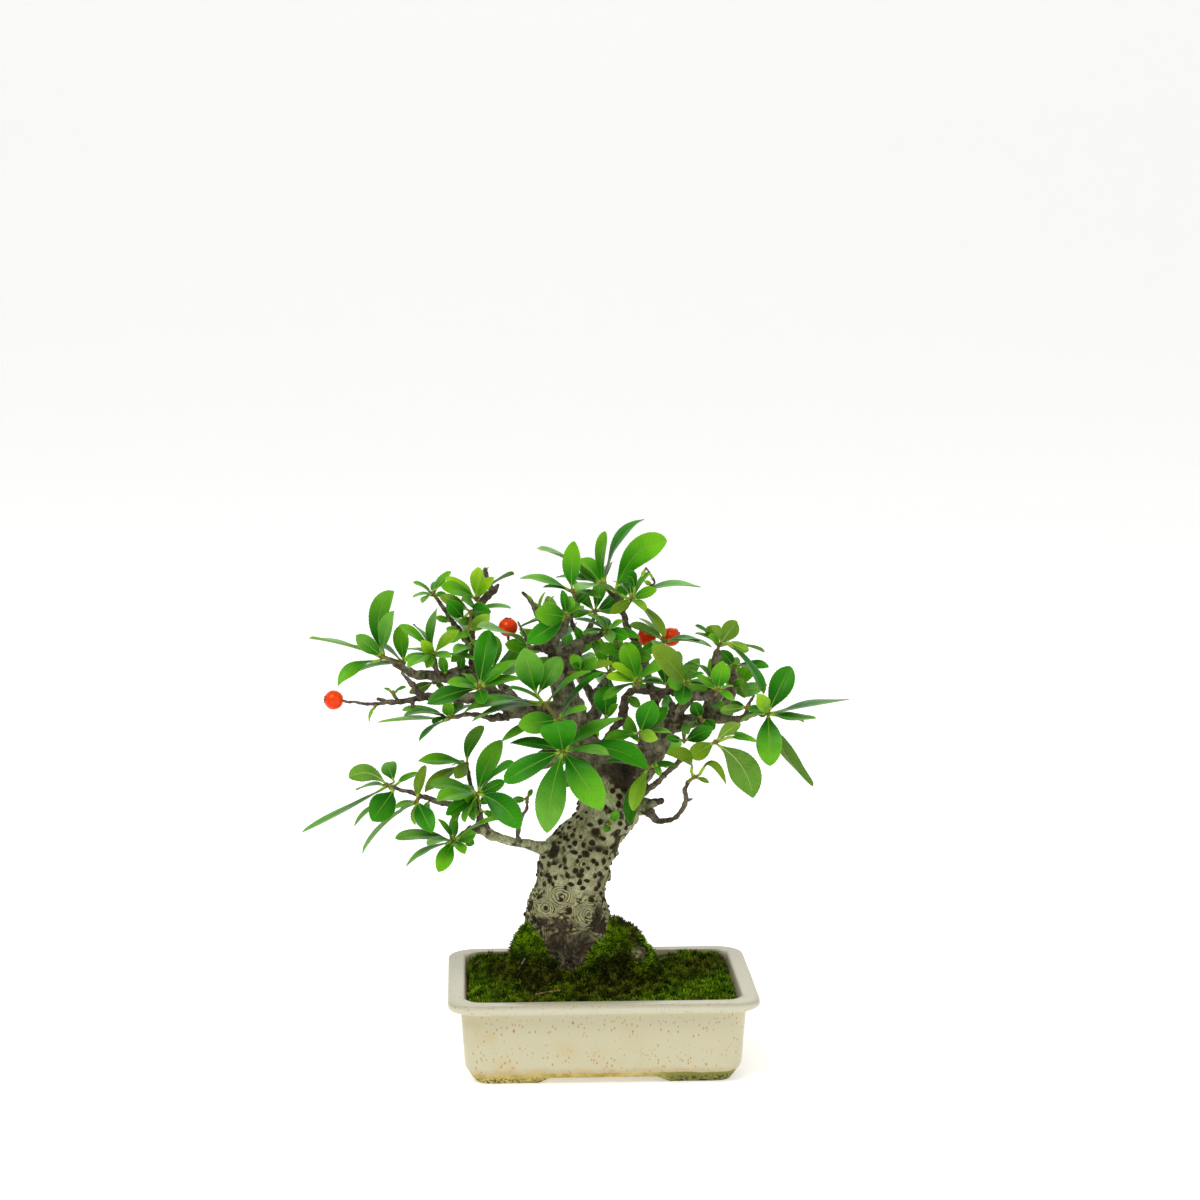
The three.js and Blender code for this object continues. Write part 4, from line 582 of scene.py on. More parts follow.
# Rows of across, down, near and thickness in mm, as in the roots and branches below
TRUNK = [
    [568, 1018, -4, 27],
    [568, 1000, -4, 31],
    [568, 962, -4, 34],
    [569, 935, -4, 34.5],
    [568, 914, -4, 35],
    [571, 888, -5, 28.5],
    [577, 862, -6, 31.5],
    [587, 842, -7, 28],
    [601, 821, -7, 25],
    [612, 802, -8, 25],
    [616, 783, -9, 22.5],
    [607, 765, -9, 18],
    [589, 754, -7, 15],
    [576, 739, -5, 13.5],
    [571, 722, -3, 12.4],
    [568, 705, -2, 11.4],
    [563, 687, -1, 10],
    [559, 667, 0, 9],
]
ROOTS = {
    "right": [
        [575, 925, 0, 22], [600, 939, 3, 18], [618, 947, 4, 15.5], [631, 960, 5, 13.5], [645, 977, 6, 11.5],
        [658, 993, 7, 9], [670, 1007, 9, 6],
    ],
    "left": [
        [562, 925, 0, 22], [547, 939, 3, 18], [535, 953, 5, 15.5], [529, 970, 7, 12.5], [523, 990, 9, 9],
    ],
    "rear_right": [[572, 930, -9, 20], [592, 944, -17, 14], [610, 960, -24, 9], [622, 976, -28, 6]],
    "rear_left": [[566, 930, -9, 20], [550, 944, -17, 14], [534, 960, -24, 9], [526, 974, -28, 6]],
}
BRANCHES = {
    "right_limb": [
        [620, 785, -8, 17], [636, 771, -7, 14.5], [648, 757, -5, 11.8], [657, 746, -4, 10],
        [662, 735, -3, 9.2], [669, 725, -1, 8.6], [682, 723, 0, 7], [698, 720, 0, 5.6], [715, 719, 1, 4],
        [730, 719, 3, 3.2], [744, 717, 5, 2.8], [756, 714, 6, 2.5], [763, 714, 6.5, 2.2],
    ],
    "right_rise": [
        [707, 718, 0, 6], [711, 704, -3, 6], [715, 690, -6, 5.2], [716, 668, -10, 4.6], [717, 653, -12, 3.6],
    ],
    "right_rise_behind": [[718, 716, -1, 5], [729, 701, -11, 4], [732, 686, -18, 3.6], [733, 673, -23, 2.6]],
    "right_shelf": [
        [668, 722, -1, 6], [677, 713, 0, 5], [685, 703, 2, 4.6], [692, 696, 4, 4.4], [704, 696, 7, 3.8],
        [714, 697, 11, 2.6],
    ],
    "right_shelf_twig": [[689, 699, 3, 3], [687, 691, 6, 2.2]],
    "right_shelf_snag": [[707, 697, 8, 2.4], [709, 690, 9, 1.6]],
    "right_stub": [[669, 728, -1, 5], [672, 715, 1, 3.4], [672, 705, 2, 2.6]],
    "cross_twig": [
        [600, 752, -12, 4], [608, 738, -14, 3.2], [615, 728, -15, 3], [622, 719, -16, 3.4],
        [624, 706, -16, 3.8], [627, 695, -16, 3], [638, 690, -15, 2.6], [650, 692, -13, 2.6],
        [664, 692, -9, 2.6], [680, 695, -4, 2.6], [690, 698, 2, 2.6],
    ],
    "cross_twig_spur": [[640, 690, -14, 2], [638, 690, -4, 1.8], [638, 688, 4, 1.6]],
    "back_limb": [
        [646, 756, -12, 7], [655, 728, -16, 4.4], [655, 704, -19, 3.6], [649, 682, -21, 3.4],
        [645, 663, -22, 3.2], [638, 648, -22, 3], [632, 638, -21, 2.8], [627, 625, -20, 2.6],
        [621, 609, -18, 2.4], [615, 597, -16, 2], [608, 590, -15, 1.6],
    ],
    "back_limb_right": [[622, 611, -18, 2], [628, 604, -12, 1.6]],
    "berry_twig_right": [[640, 651, -22, 2], [650, 650, -20, 1.7], [658, 646, -16, 1.5]],
    "berry_stalk_right_a": [[651, 650, -19.8, 1.3], [651.7, 644.1, -19, 1.1]],
    "berry_stalk_right_b": [[656, 647, -17.2, 1.3], [664.4, 642.8, -17.7, 1.1]],
    "left_limb": [
        [582, 712, -2, 12], [562, 713, 1, 10.5], [541, 713, 5, 9.4], [522, 709, 8, 8.6], [506, 703, 10, 7.6],
        [494, 696, 9, 6.4], [482, 684, 7, 5.6], [472, 674, 7, 5.4], [460, 673, 8, 5.4], [446, 677, 9, 5],
        [432, 675, 10, 4.4], [414, 674, 9, 3.6], [400, 667, 8, 2.2], [390, 660, 7, 1.6],
    ],
    "left_limb_thorn": [[424, 697, 14, 2.8], [413, 684, 14, 2.2], [402, 673, 14, 0.9]],
    "left_hollow_spur": [[437, 676, 9, 2.6], [436, 679, 8, 1.8]],
    "left_lower_twig": [
        [508, 704, 10, 5.5], [496, 700, 11, 5.4], [480, 698, 12, 5], [464, 698, 12, 4.6], [447, 697, 13, 3.8],
        [430, 697, 14, 3.2], [412, 700, 15, 2.3], [394, 702, 15, 2], [378, 699, 15, 1.3],
    ],
    "left_lower_snag": [[413, 700, 15, 1.8], [412, 707, 16, 1]],
    "left_lower_spur": [[398, 701, 15, 1.5], [395, 697, 16, 1.1]],
    "left_berry_stalk": [[388, 702, 15, 1.5], [366, 704, 16, 1.2], [342.9, 700.7, 17.5, 1.1]],
    "left_under_limb": [
        [524, 711, 9, 6], [514, 714, 11, 4], [503, 717, 13, 3.2], [492, 718, 14, 2.6], [478, 714, 14, 1.8],
        [466, 714, 14, 1.7], [456, 717, 14, 1.6],
    ],
    "left_spur_low": [[438, 677, 11, 2.6], [436, 667, 11, 2], [435, 660, 11, 1.6]],
    "left_spur_far": [[412, 674, 8, 2.4], [408, 669, -4, 1.6]],
    "left_rise": [
        [474, 688, 8, 4], [473, 672, 6, 3.6], [473, 655, 2, 3], [471, 637, -1, 2.8], [473, 620, -6, 2.6],
        [477, 608, -11, 2.6], [480, 603, -13, 2.4],
    ],
    "left_rise_far": [
        [474, 648, -1, 2.4], [462, 634, -8, 2.2], [452, 622, -13, 2], [445, 610, -15, 1.8],
        [438, 600, -16, 1.5],
    ],
    "arch_twig": [[554, 648, -3, 3.4], [544, 649, -4, 2.6], [533, 648, -1, 2]],
    "upper_left_snag": [
        [478, 607, -12, 2.8], [485, 599, -14, 3], [491, 592, -14, 3.1], [496, 588, -14, 2.4],
        [498, 585, -14, 1.4],
    ],
    "upper_left_snag_fork": [
        [491, 592, -14, 2.4], [490, 584, -14, 2], [487, 576, -14, 1.8], [485, 569, -14, 1.6],
    ],
    "upper_left_spur": [[474, 617, -7, 2], [472, 614, -5, 1.6]],
    "upper_left_berry_stalk": [
        [538, 649, -3, 1.6], [524, 645, -4, 1.3], [514, 642, -2, 1.2], [509, 641, 0, 1.1],
        [508, 636.4, 1, 1.1],
    ],
    "upper_left_arch_spur": [[535, 648, -1, 1.8], [532, 648, 0, 1.5]],
    "upper_dead_twig": [
        [556, 636, -1, 3], [545, 622, -5, 2.2], [537, 611, -7, 2], [530, 600, -8, 1.7], [523, 593, -8, 1.2],
    ],
    "top_left_limb": [
        [559, 672, 0, 8], [555, 655, 0, 6.4], [553, 641, 0, 5.2], [560, 631, 0, 4.4], [567, 618, -1, 3.4],
        [572, 605, -1, 2.6], [575, 597, 0, 1.8],
    ],
    "top_left_stub": [[554, 651, 2, 4], [545, 650, 4, 3], [543, 645, 4, 1.6]],
    "top_right_limb": [
        [560, 668, -2, 7], [566, 655, -2, 6], [574, 647, -3, 5], [583, 641, -4, 4], [592, 639, -4, 3.2],
        [602, 634, -3, 2],
    ],
    "top_right_fork": [[581, 642, -4, 3], [577, 633, -6, 2.4], [573, 622, -6, 1.8], [570, 615, -6, 1.2]],
    "low_left_limb": [
        [566, 849, -4, 10], [552, 848, -1, 7.4], [541, 848, 2, 5.6], [528, 844, 5, 4.3], [512, 842, 7, 3.7],
        [500, 838, 9, 3.8], [488, 833, 11, 4.4], [480, 826, 12, 3.6], [480, 815, 12, 2.4], [478, 803, 13, 2],
    ],
    "low_left_arm": [
        [479, 806, 12.5, 2.8], [470, 803, 13, 2.8], [461, 806, 14, 2.6], [446, 803, 15, 2.3],
        [430, 799, 15, 2], [415, 795, 14, 1.8], [400, 790, 13, 1.6], [393, 787, 12, 1.4],
    ],
    "low_left_peg": [[488, 833, 11, 3], [487, 826, 11.5, 2], [486.5, 822, 12, 1.8]],
    "low_left_drop": [[484, 831, 11, 3.4], [472, 829, 14, 3], [464, 833, 16, 2.2], [458, 838, 17.5, 1.7]],
    "low_left_rise": [[479, 806, 12, 2], [472, 792, 2, 1.8], [468, 772, -4, 1.5]],
    "low_left_sprig": [
        [519, 842, 7, 2], [519, 829, 8, 1.7], [522, 816, 8, 1.5], [527, 808, 8, 1.2], [527, 803, 8, 1],
    ],
    "front_spur": [[562, 712, 5, 5], [561, 726, 14, 3.4], [562, 741, 21, 2.4]],
    "front_spur_left": [[545, 712, 8, 4], [545, 709, 15, 2.2]],
    "front_spur_right": [[560, 722, 10, 3], [558, 722, 15, 2.2]],
    "crown_spur": [[652, 752, -1, 4], [646, 744, 7, 2.8], [641, 738, 11, 1.8]],
    "trunk_spur": [[636, 780, -4, 5], [643, 773, 3, 2.8], [647, 770, 5, 1.8]],
    "right_stump": [
        [628, 807, -6, 9], [641, 806, -3, 7.2], [649, 804, -1, 5], [655, 803, 0, 3.2], [661, 801, 1, 2.4],
    ],
    "curl_twig": [
        [636, 808, -3, 6], [647, 810, 0, 4.6], [652, 815, 3, 3.2], [658, 820, 4, 2.3], [667, 821, 6, 2],
        [676, 817, 8, 1.9], [684, 807, 10, 1.9], [686, 798, 11, 1.8], [684, 790, 11, 1.8],
        [688, 782, 12, 1.5],
    ],
    "curl_thorn": [[685, 801, 10.5, 1.4], [692, 799, 12, 0.8]],
    "low_right_twig": [
        [628, 802, -6, 5], [640, 795, -2, 3], [651, 787, 1, 2.4], [673, 767, 5, 2.2], [685, 755, 8, 2.4],
        [700, 749, 11, 2.4], [710, 745, 13, 2],
    ],
    "under_spur": [[683, 724, 1, 3], [684, 735, 5, 1.5]],
    "shelf_spur": [[700, 720, 1, 3], [701, 720, 4, 1.8]],
    "old_stub": [[578, 742, -5, 10], [562, 750, -4, 8.8], [549, 757, -3, 8.4], [541, 760.5, -3, 7.4]],
    "stem_front_spur": [[583, 728, -2, 3.6], [592, 723, 2, 2.6], [600, 721, 4, 1.8]],
    "right_thorn": [[746, 716, 5, 2], [749, 705, 8, 1.4], [754, 696, 9, 0.8]],
    "rear_limb_top": [
        [580, 728, -8, 8], [597, 711, -18, 5], [590, 693, -29, 4], [579, 677, -37, 3], [568, 664, -41, 2],
    ],
    "rear_limb_top_fork": [[591, 697, -27, 3.2], [599, 688, -33, 2.6], [606, 679, -38, 1.8]],
    "rear_limb_right": [
        [636, 770, -12, 8], [643, 750, -22, 5.4], [646, 735, -28, 4.6], [648, 718, -34, 4],
        [655, 703, -40, 3.2], [663, 695, -44, 2],
    ],
    "rear_limb_right_fork": [[645, 741, -26, 3.2], [642, 742, -34, 2.4], [640, 744, -41, 1.8]],
    "rear_limb_low": [
        [600, 815, -16, 8], [593, 800, -26, 5.4], [585, 785, -34, 4], [577, 768, -41, 2.8],
        [573, 761, -44, 1.8],
    ],
    "rear_limb_low_fork": [[590, 795, -29, 3], [596, 790, -38, 2.2], [600, 788, -43, 1.6]],
    "rear_limb_left": [
        [522, 708, 4, 6], [515, 700, -8, 4.4], [506, 690, -18, 3.4], [498, 681, -26, 2.4],
        [495, 676, -29, 1.6],
    ],
    "rear_limb_far_right": [
        [690, 721, 0, 5], [702, 712, -12, 3.6], [716, 700, -22, 2.8], [723, 694, -28, 1.8],
    ],
    "rear_leader": [
        [563, 690, -4, 7], [570, 668, -14, 5], [580, 648, -23, 3.8], [590, 628, -30, 2.6],
        [594, 618, -33, 1.6],
    ],
    "rear_leader_fork": [[573, 662, -17, 3], [563, 648, -24, 2.2], [556, 638, -28, 1.6]],
}
# Raised lenticels on the side seen in the photograph: across, down and width in mm
LENTICELS = [
    (559, 818, 1.8), (586, 812, 2), (598, 806, 2.2), (566, 868, 2.4), (560, 866, 2), (580, 857, 2),
    (597, 864, 2.4), (590, 850, 2), (570, 847, 2.4), (568, 840, 2), (581, 837, 2.2), (611, 872, 2),
    (543, 868, 1.6), (566, 888, 2), (577, 806, 2), (575.5, 816, 2.2), (581, 819, 2.2), (569, 822, 2),
    (569, 828, 2.5), (575, 830, 2), (562, 828, 2), (557, 832, 2.5), (560, 836, 2), (565, 838, 3),
    (573, 835, 2.5), (575, 843, 3), (584, 845, 2.8), (559, 842, 2), (574, 852, 3), (586, 854, 4),
    (565, 860, 2.8), (592, 843, 3), (595, 833, 4), (549, 865, 2.5), (554, 864, 2), (541, 866, 2),
    (538, 869, 2), (548, 875, 3), (550, 880, 3.5), (556, 877, 2.6), (545, 884, 2.5), (554, 884, 2.2),
    (568, 875, 3), (575, 871, 3), (580, 875, 3.5), (582, 870, 2.5), (593, 861, 3), (604, 862, 3.4),
    (600, 874, 2.8), (594, 876, 2.5), (587, 880, 2.5), (571, 884, 3), (580, 882, 3), (598, 885, 3),
    (595, 888, 3), (538, 878, 2.5), (536, 883, 2), (540, 898, 3.4), (531, 910, 2.5), (534, 917, 2.5),
    (546, 908, 3), (569, 911, 3), (590, 900, 3.5), (601, 900, 3), (604, 910, 2.5), (597, 915, 3),
    (562, 901, 2.6), (614, 845, 3), (610, 858, 2), (613, 864, 2.5), (618, 836, 3), (625, 828, 2.5),
    (619, 823, 2.5), (616, 815, 2), (606, 808, 3), (610, 812, 2), (618, 804, 3.2), (619, 797, 3.2),
    (613, 791, 3), (624, 790, 3.4), (617, 787, 3), (607, 830, 3), (600, 822, 3), (590, 825, 2.5),
    (603, 838, 3), (612, 846, 3), (605, 852, 3.4), (598, 850, 3), (544, 857, 2.2), (542, 874, 2.2),
    (533, 903, 2.6), (577, 861, 2.2), (588, 868, 2.2), (606, 868, 2.6), (583, 887, 2.6), (600, 893, 2.8),
    (606, 903, 2.4),
]
# Round scars with rings like a target: across, down, radius in mm
RING_SCARS = [(584, 864, 3.6), (592, 843, 5.4), (546, 908, 5.2), (562, 897, 6.2), (589, 915, 6.5)]
# Holes whose insides are darkened as painted shade: across, down, half width, half height in mm, depth in mm
HOLLOWS = [
    (552, 850, 2.1, 2.7, 1.6), (622, 774, 4.2, 4.6, 1.6), (596, 833, 2, 2.4, 0.9), (598, 925, 3, 4, 0.8),
    (546, 909, 0.9, 0.9, 0.7), (584, 864, 0.8, 0.8, 0.6), (569, 910, 1.1, 1.1, 0.6),
]
# Dark patches on the bark: across, down, half width, half height in mm. Most are charred-looking wood at the
# trunk's foot; the one at 622, 770 is a painted shadow under a leaf
DARK_PATCHES = [
    (558, 940, 8, 7.5), (576, 948, 11, 4.5), (560, 925, 7, 2.6), (597, 916, 2.4, 4.5), (598, 848, 4.5, 1.2),
    (594, 834, 2, 2.6), (622, 770, 11, 4.5), (541, 922, 5, 2), (633, 947, 4, 2.2), (641, 959, 4, 3),
]
# Pale lichen on the dark foot: across, down and radius in mm
LICHEN = [(551, 922, 0.9), (550, 933, 0.9), (551, 958, 0.9), (562, 960, 1), (640, 952, 1), (637, 957, 0.8),
          (568, 930, 0.6), (643, 957, 0.7), (633, 948, 0.8)]
# Where the trunk is drawn in at its sides: across, down, radius in pixels, depth in mm
WAISTS = [
    (569, 812, 13, 2.2), (556, 834, 9, 1.2), (622, 842, 9, 1.8), (616, 866, 10, 2.0), (611, 886, 8, 1.6),
]
# A bare knobbly root that stands out of the moss on the right
ROOT_KNOB = [[627, 946, 8, 4], [632, 950, 9.5, 6.5], [637, 955, 10, 7.6], [642, 961, 9.5, 5.5]]
FAR_SIDE_LENTICELS = 190
WOOD_TRIANGLES = 190000
POINTS_AT_ONCE = 4000


def stops_of(rows):
    """Rows of across, down, near and thickness as x, y, z and radius in mm."""
    return np.array([[*place_at(*row[:3]), row[3] / 2] for row in rows])


def smooth_route(rows, step=ROUTE_STEP):
    """Rows of x, y, z and radius in mm, about a step apart, on a smooth curve."""
    stops = stops_of(rows)
    route = []
    for k in range(len(stops) - 1):
        before, here, there, after = (stops[min(max(at, 0), len(stops) - 1)] for at in range(k - 1, k + 3))
        count = max(int(np.linalg.norm((there - here)[:3]) / step), 2)
        for share in np.arange(count) / count:
            curve = 2 * here + (there - before) * share
            curve = curve + (2 * before - 5 * here + 4 * there - after) * share ** 2
            route.append(0.5 * (curve + (-before + 3 * here - 3 * there + after) * share ** 3))
    route.append(stops[-1])
    return np.array(route)


def tube_shape(route, sides):
    """Points and faces of a closed round tube with a domed tip."""
    heading = np.gradient(route[:, :3], axis=0)
    heading /= np.linalg.norm(heading, axis=1)[:, None]
    angles = np.arange(sides) * 2 * math.pi / sides
    normal = np.array([0.0, 1.0, 0.0])
    rings = []
    stops = [(row[:3], row[3], ahead) for row, ahead in zip(route, heading)]
    tip, tip_radius, ahead = stops[-1]
    for tilt in (0.5, 0.95, 1.35):
        stops.append((tip + ahead * tip_radius * math.sin(tilt), tip_radius * math.cos(tilt), ahead))
    for centre, radius, ahead in stops:
        normal = normal - ahead * normal.dot(ahead)
        normal /= np.linalg.norm(normal)
        sideways = np.cross(ahead, normal)
        round_it = np.cos(angles)[:, None] * normal + np.sin(angles)[:, None] * sideways
        rings.append(centre + radius * round_it)
    return np.concatenate(rings), ring_faces(len(rings), sides)


def joined_shapes(shapes):
    points, faces, start = [], [], 0
    for shape_points, shape_faces in shapes:
        points.append(shape_points)
        faces += [tuple(corner + start for corner in face) for face in shape_faces]
        start += len(shape_points)
    return np.concatenate(points), faces


def smooth_share(value, start, end):
    share = np.clip((value - start) / (end - start), 0, 1)
    return share * share * (3 - 2 * share)


def normals_of(mesh):
    normals = np.empty(len(mesh.vertices) * 3)
    mesh.vertex_normals.foreach_get("vector", normals)
    return normals.reshape(-1, 3)


def set_points(mesh, points):
    mesh.vertices.foreach_set("co", in_metres(points).ravel())
    mesh.update()


bark, bark_tree, bark_shader = new_material("firethorn_bark", ink(112, 112, 84), 0.85)
bark_shader.inputs["Specular IOR Level"].default_value = 0.22
bark_at = object_coordinates(bark_tree)
bark_streaks = wire(bark_tree, "ShaderNodeMapping", {"Vector": bark_at, "Scale": (1.0, 1.0, 0.55)}).outputs[0]
bark_patch = masked(cloud_mask, bark_streaks, 130, 0.36, 0.66)
bark_fine = masked(cloud_mask, bark_streaks, 620, 0.3, 0.72)
bark_green = masked(cloud_mask, bark_at, 75, 0.45, 0.7)
bark_flecks = masked(cloud_mask, bark_at, 1500, 0.52, 0.62)
height_share, swirl, ring_share, ring_away, crown_shade_share, twig_share, dark_bark_and_shade, wart_share, lichen_share = (
    given_value(bark_tree, name)
    for name in ("relief", "swirl", "ring", "ring_away", "crown", "twig", "dark", "wart", "lichen"))
swirl_noise = wire(bark_tree, "ShaderNodeTexNoise", {
    "Vector": bark_streaks, "Scale": 105.0, "Detail": 1.5, "Roughness": 0.4}).outputs["Fac"]
swirl_turns = blended(ring_share, times(swirl_noise, 96.0), times(ring_away, 4.8))
swirl_turns = plus(swirl_turns, times(bark_fine, 1.3))
swirl_line = times(ramped(worked("SINE", swirl_turns), -0.35, 0.55), swirl)
# Painted shade and darker bark together: the wood up in the crown, under the leaves, is darkened
crown_shade_bark = blended(bark_fine, ink(108, 98, 78), ink(40, 32, 24))
twig_bark = layered(blended(bark_fine, ink(110, 94, 80), ink(42, 29, 23)), [
    (bark_patch, 0.6, (140, 134, 108)),
    (bark_flecks, 0.6, (46, 32, 24)),
])
dark_bark = layered(blended(bark_patch, ink(20, 16, 10), ink(66, 52, 40)), [(bark_flecks, 0.4, (96, 82, 56))])
bark_colour = layered(blended(bark_patch, ink(216, 216, 174), ink(160, 163, 118)), [
    (bark_green, 0.5, (118, 126, 66)),
    (bark_fine, 0.5, (88, 84, 54)),
    (bark_flecks, 0.62, (66, 60, 32)),
    (swirl, 0.5, (196, 190, 126)),
    (swirl_line, 0.95, (50, 44, 20)),
    (crown_shade_share, 0.78, crown_shade_bark),
    (twig_share, 1.0, twig_bark),
    # Painted shade in the hollows of the bark's fine relief, and painted light on its ridges
    (ramped(height_share, 0.02, -0.24), 0.9, (46, 40, 22)),
    (ramped(height_share, 0.08, 0.34), 0.4, (176, 174, 138)),
    (dark_bark_and_shade, 0.93, dark_bark),
    (wart_share, 0.3, (84, 76, 46)),
    (times(lichen_share, masked(cloud_mask, bark_at, 900, 0.35, 0.6)), 0.8, (150, 144, 96)),
])
feed(bark_shader, "Base Color", bark_colour)
bark_grain = plus(times(masked(cloud_mask, bark_streaks, 900, 0.2, 0.8), 0.7), times(bark_patch, 0.3))
bumped(bark_shader, plus(bark_grain, times(swirl_line, -0.8)), 0.6, 0.0006)
feed(bark_shader, "Roughness", spread(bark_fine, 0.72, 0.95))

trunk_route = smooth_route(TRUNK)
root_routes = {name: smooth_route(rows) for name, rows in ROOTS.items()}
limb_routes = {name: smooth_route(rows) for name, rows in BRANCHES.items()}
thick_parts = [tube_shape(trunk_route, 40)] + [tube_shape(route, 24) for route in root_routes.values()]
for route in limb_routes.values():
    thick_rows = route[:, 3] * 2 >= LIMB_THICKNESS
    if thick_rows[:3].all():
        stop = len(route) if thick_rows.all() else int(np.argmin(thick_rows))
        thick_parts.append(tube_shape(route[:stop], 16))
knob_route = smooth_route(ROOT_KNOB)
knob_route[:, 3] *= 1 + 0.16 * np.sin(np.arange(len(knob_route)) * 1.9)
thick_parts.append(tube_shape(knob_route, 20))
wood = make_piece("trunk_and_limbs", *joined_shapes(thick_parts), bark)
skin = wood.modifiers.new("skin", "REMESH")
skin.mode = "VOXEL"
skin.voxel_size = SKIN_VOXEL * MM
skin.use_smooth_shade = True
soften = wood.modifiers.new("soften", "SMOOTH")
soften.factor = 0.5
soften.iterations = 4
bake_modifiers(wood)

axis_rows = np.concatenate([trunk_route, *root_routes.values(), *limb_routes.values(), knob_route])
wood_points = points_of(wood.data)
wood_normals = normals_of(wood.data)
# The wood's half thickness at each point, from the nearest stretch of its routes
half_thickness = np.empty(len(wood_points))
for first in range(0, len(wood_points), POINTS_AT_ONCE):
    part = wood_points[first:first + POINTS_AT_ONCE]
    distance = np.linalg.norm(part[:, None, :] - axis_rows[None, :, :3], axis=2) - axis_rows[None, :, 3]
    half_thickness[first:first + POINTS_AT_ONCE] = axis_rows[np.argmin(distance, axis=1), 3]
stout = smooth_share(half_thickness, 2.5, 9)
across, down, depth = seen_at(wood_points)
to_front = wood_normals @ toward_viewer
facing = smooth_share(to_front, 0.0, 0.3) * stout
pixels_per_mm = FOCAL_LENGTH / depth
foot_height = place_at(570, 925, 8)[2]
low_wood = smooth_share(wood_points[:, 2], foot_height + 30, foot_height - 4)
broad_relief = cloud(wood_points, 7.5, 11) * (0.12 + 0.45 * stout)
relief = broad_relief + cloud(wood_points, 2.7, 12) * (0.32 - 0.1 * stout + 0.16 * low_wood)
relief += cloud(wood_points, 1.25, 13) * 0.14
furrow = np.abs(cloud(wood_points * [1, 1, 0.38], 2.6, 17, 2))
relief += (np.minimum(furrow, 0.35) - 0.25) * (0.35 + 0.9 * low_wood) * stout
contour = np.sin(cloud(wood_points * [1, 1, 1.25], 8.5, 47, 2) * 17)
swirl_share = smooth_share(wood_points[:, 2], foot_height + 17, foot_height + 9) * stout
relief += contour * (0.06 + 0.26 * swirl_share) * stout
right_edge = smooth_share(across, 600, 622) * smooth_share(down, 800, 825) * smooth_share(down, 895, 870)
relief += cloud(wood_points, 3.8, 19, 2) * 1.3 * right_edge * stout
ring_away = np.full(len(wood_points), 20.0)
ring_share = np.zeros(len(wood_points))
for scar_across, scar_down, scar_radius in RING_SCARS:
    seen_away = np.hypot(across - scar_across, (down - scar_down) * 1.1) / pixels_per_mm
    away = seen_away + 0.5 * cloud(wood_points, 3, 23, 2)
    ripple = 0.26 * np.cos(away * 2 * math.pi / 1.45) * np.exp(-(away / scar_radius) ** 4)
    relief += (ripple + 0.5 * np.exp(-(away / scar_radius) ** 2)) * facing
    away = seen_away + 0.75 * cloud(wood_points, 3.2, 23, 2)
    ring_share = np.maximum(ring_share, np.exp(-(away / scar_radius) ** 6) * facing)
    ring_away = np.minimum(ring_away, away)
wart_share = np.zeros(len(wood_points))
for wart_across, wart_down, wart_width in LENTICELS:
    stretch = np.hypot(across - wart_across, (down - wart_down) * 1.15) / pixels_per_mm
    near_wart = np.exp(-((stretch + 0.2 * cloud(wood_points, 1.1, 29, 1)) / (wart_width * 0.42)) ** 6)
    wart_share = np.maximum(wart_share, near_wart * facing)
rng = np.random.default_rng(41)
far_side = np.flatnonzero((to_front < 0.32) & (half_thickness > 6) & (wood_points[:, 2] > foot_height - 2))
lenticel_places = []
for k, radius in zip(rng.choice(far_side, FAR_SIDE_LENTICELS, replace=False),
                     rng.uniform(0.45, 1.1, FAR_SIDE_LENTICELS)):
    distance = np.linalg.norm(wood_points - wood_points[k], axis=1)
    wart_share = np.maximum(wart_share, np.exp(-(distance / radius) ** 6))
    lenticel_places.append((k, radius))
for wart_across, wart_down, wart_width in LENTICELS:
    missed = np.hypot(across - wart_across, down - wart_down) * 1.5 + depth * 0.3
    missed += np.where(to_front > 0.1, 0, 50)
    lenticel_places.append((np.argmin(missed), wart_width * 0.37))
relief += wart_share * 0.3
drawn_in = np.zeros(len(wood_points))
for waist_across, waist_down, waist_radius, waist_depth in WAISTS:
    away = np.hypot(across - waist_across, down - waist_down) / waist_radius
    drawn_in += waist_depth * np.exp(-away ** 2) * stout
dark_bark_and_shade = np.zeros(len(wood_points))
# Painted shade: the insides of the holes are darkened as well as sunk
for hole_across, hole_down, hole_width, hole_height, hole_depth in HOLLOWS:
    inside = np.hypot((across - hole_across) / hole_width, (down - hole_down) / hole_height) / pixels_per_mm
    inside = np.exp(-(inside + 0.2 * cloud(wood_points, 2, 31, 2)) ** 4) * facing
    relief -= inside * hole_depth
    dark_bark_and_shade = np.maximum(dark_bark_and_shade, inside)
# Dark patches: charred-looking wood at the foot, and at 622, 770 a painted shadow under a leaf
for patch_across, patch_down, patch_width, patch_height in DARK_PATCHES:
    inside = np.hypot((across - patch_across) / patch_width, (down - patch_down) / patch_height)
    inside = inside / pixels_per_mm + 0.45 * cloud(wood_points, 3, 37)
    dark_bark_and_shade = np.maximum(dark_bark_and_shade, np.exp(-inside ** 4) * facing)
ground_height = wood_points[:, 2] + 5 * cloud(wood_points, 6, 43)
ground_share = smooth_share(ground_height, foot_height + 2, foot_height - 9)
dark_bark_and_shade = np.maximum(dark_bark_and_shade, ground_share * 0.95)
lichen_share = np.zeros(len(wood_points))
for spot_across, spot_down, spot_radius in LICHEN:
    away = np.hypot(across - spot_across, down - spot_down) / pixels_per_mm
    away = away + 0.5 * cloud(wood_points, 1.6, 67, 2)
    lichen_share = np.maximum(lichen_share, np.exp(-(away / spot_radius) ** 4) * (to_front > 0))
set_points(wood.data, wood_points + wood_normals * (relief - drawn_in)[:, None])
# The crown value darkens the wood above the crown's foot, as painted shade and as darker bark
crown_foot = place_at(620, 778, -8)[2]
crown_height = wood_points[:, 2] + 3 * cloud(wood_points, 6, 97)
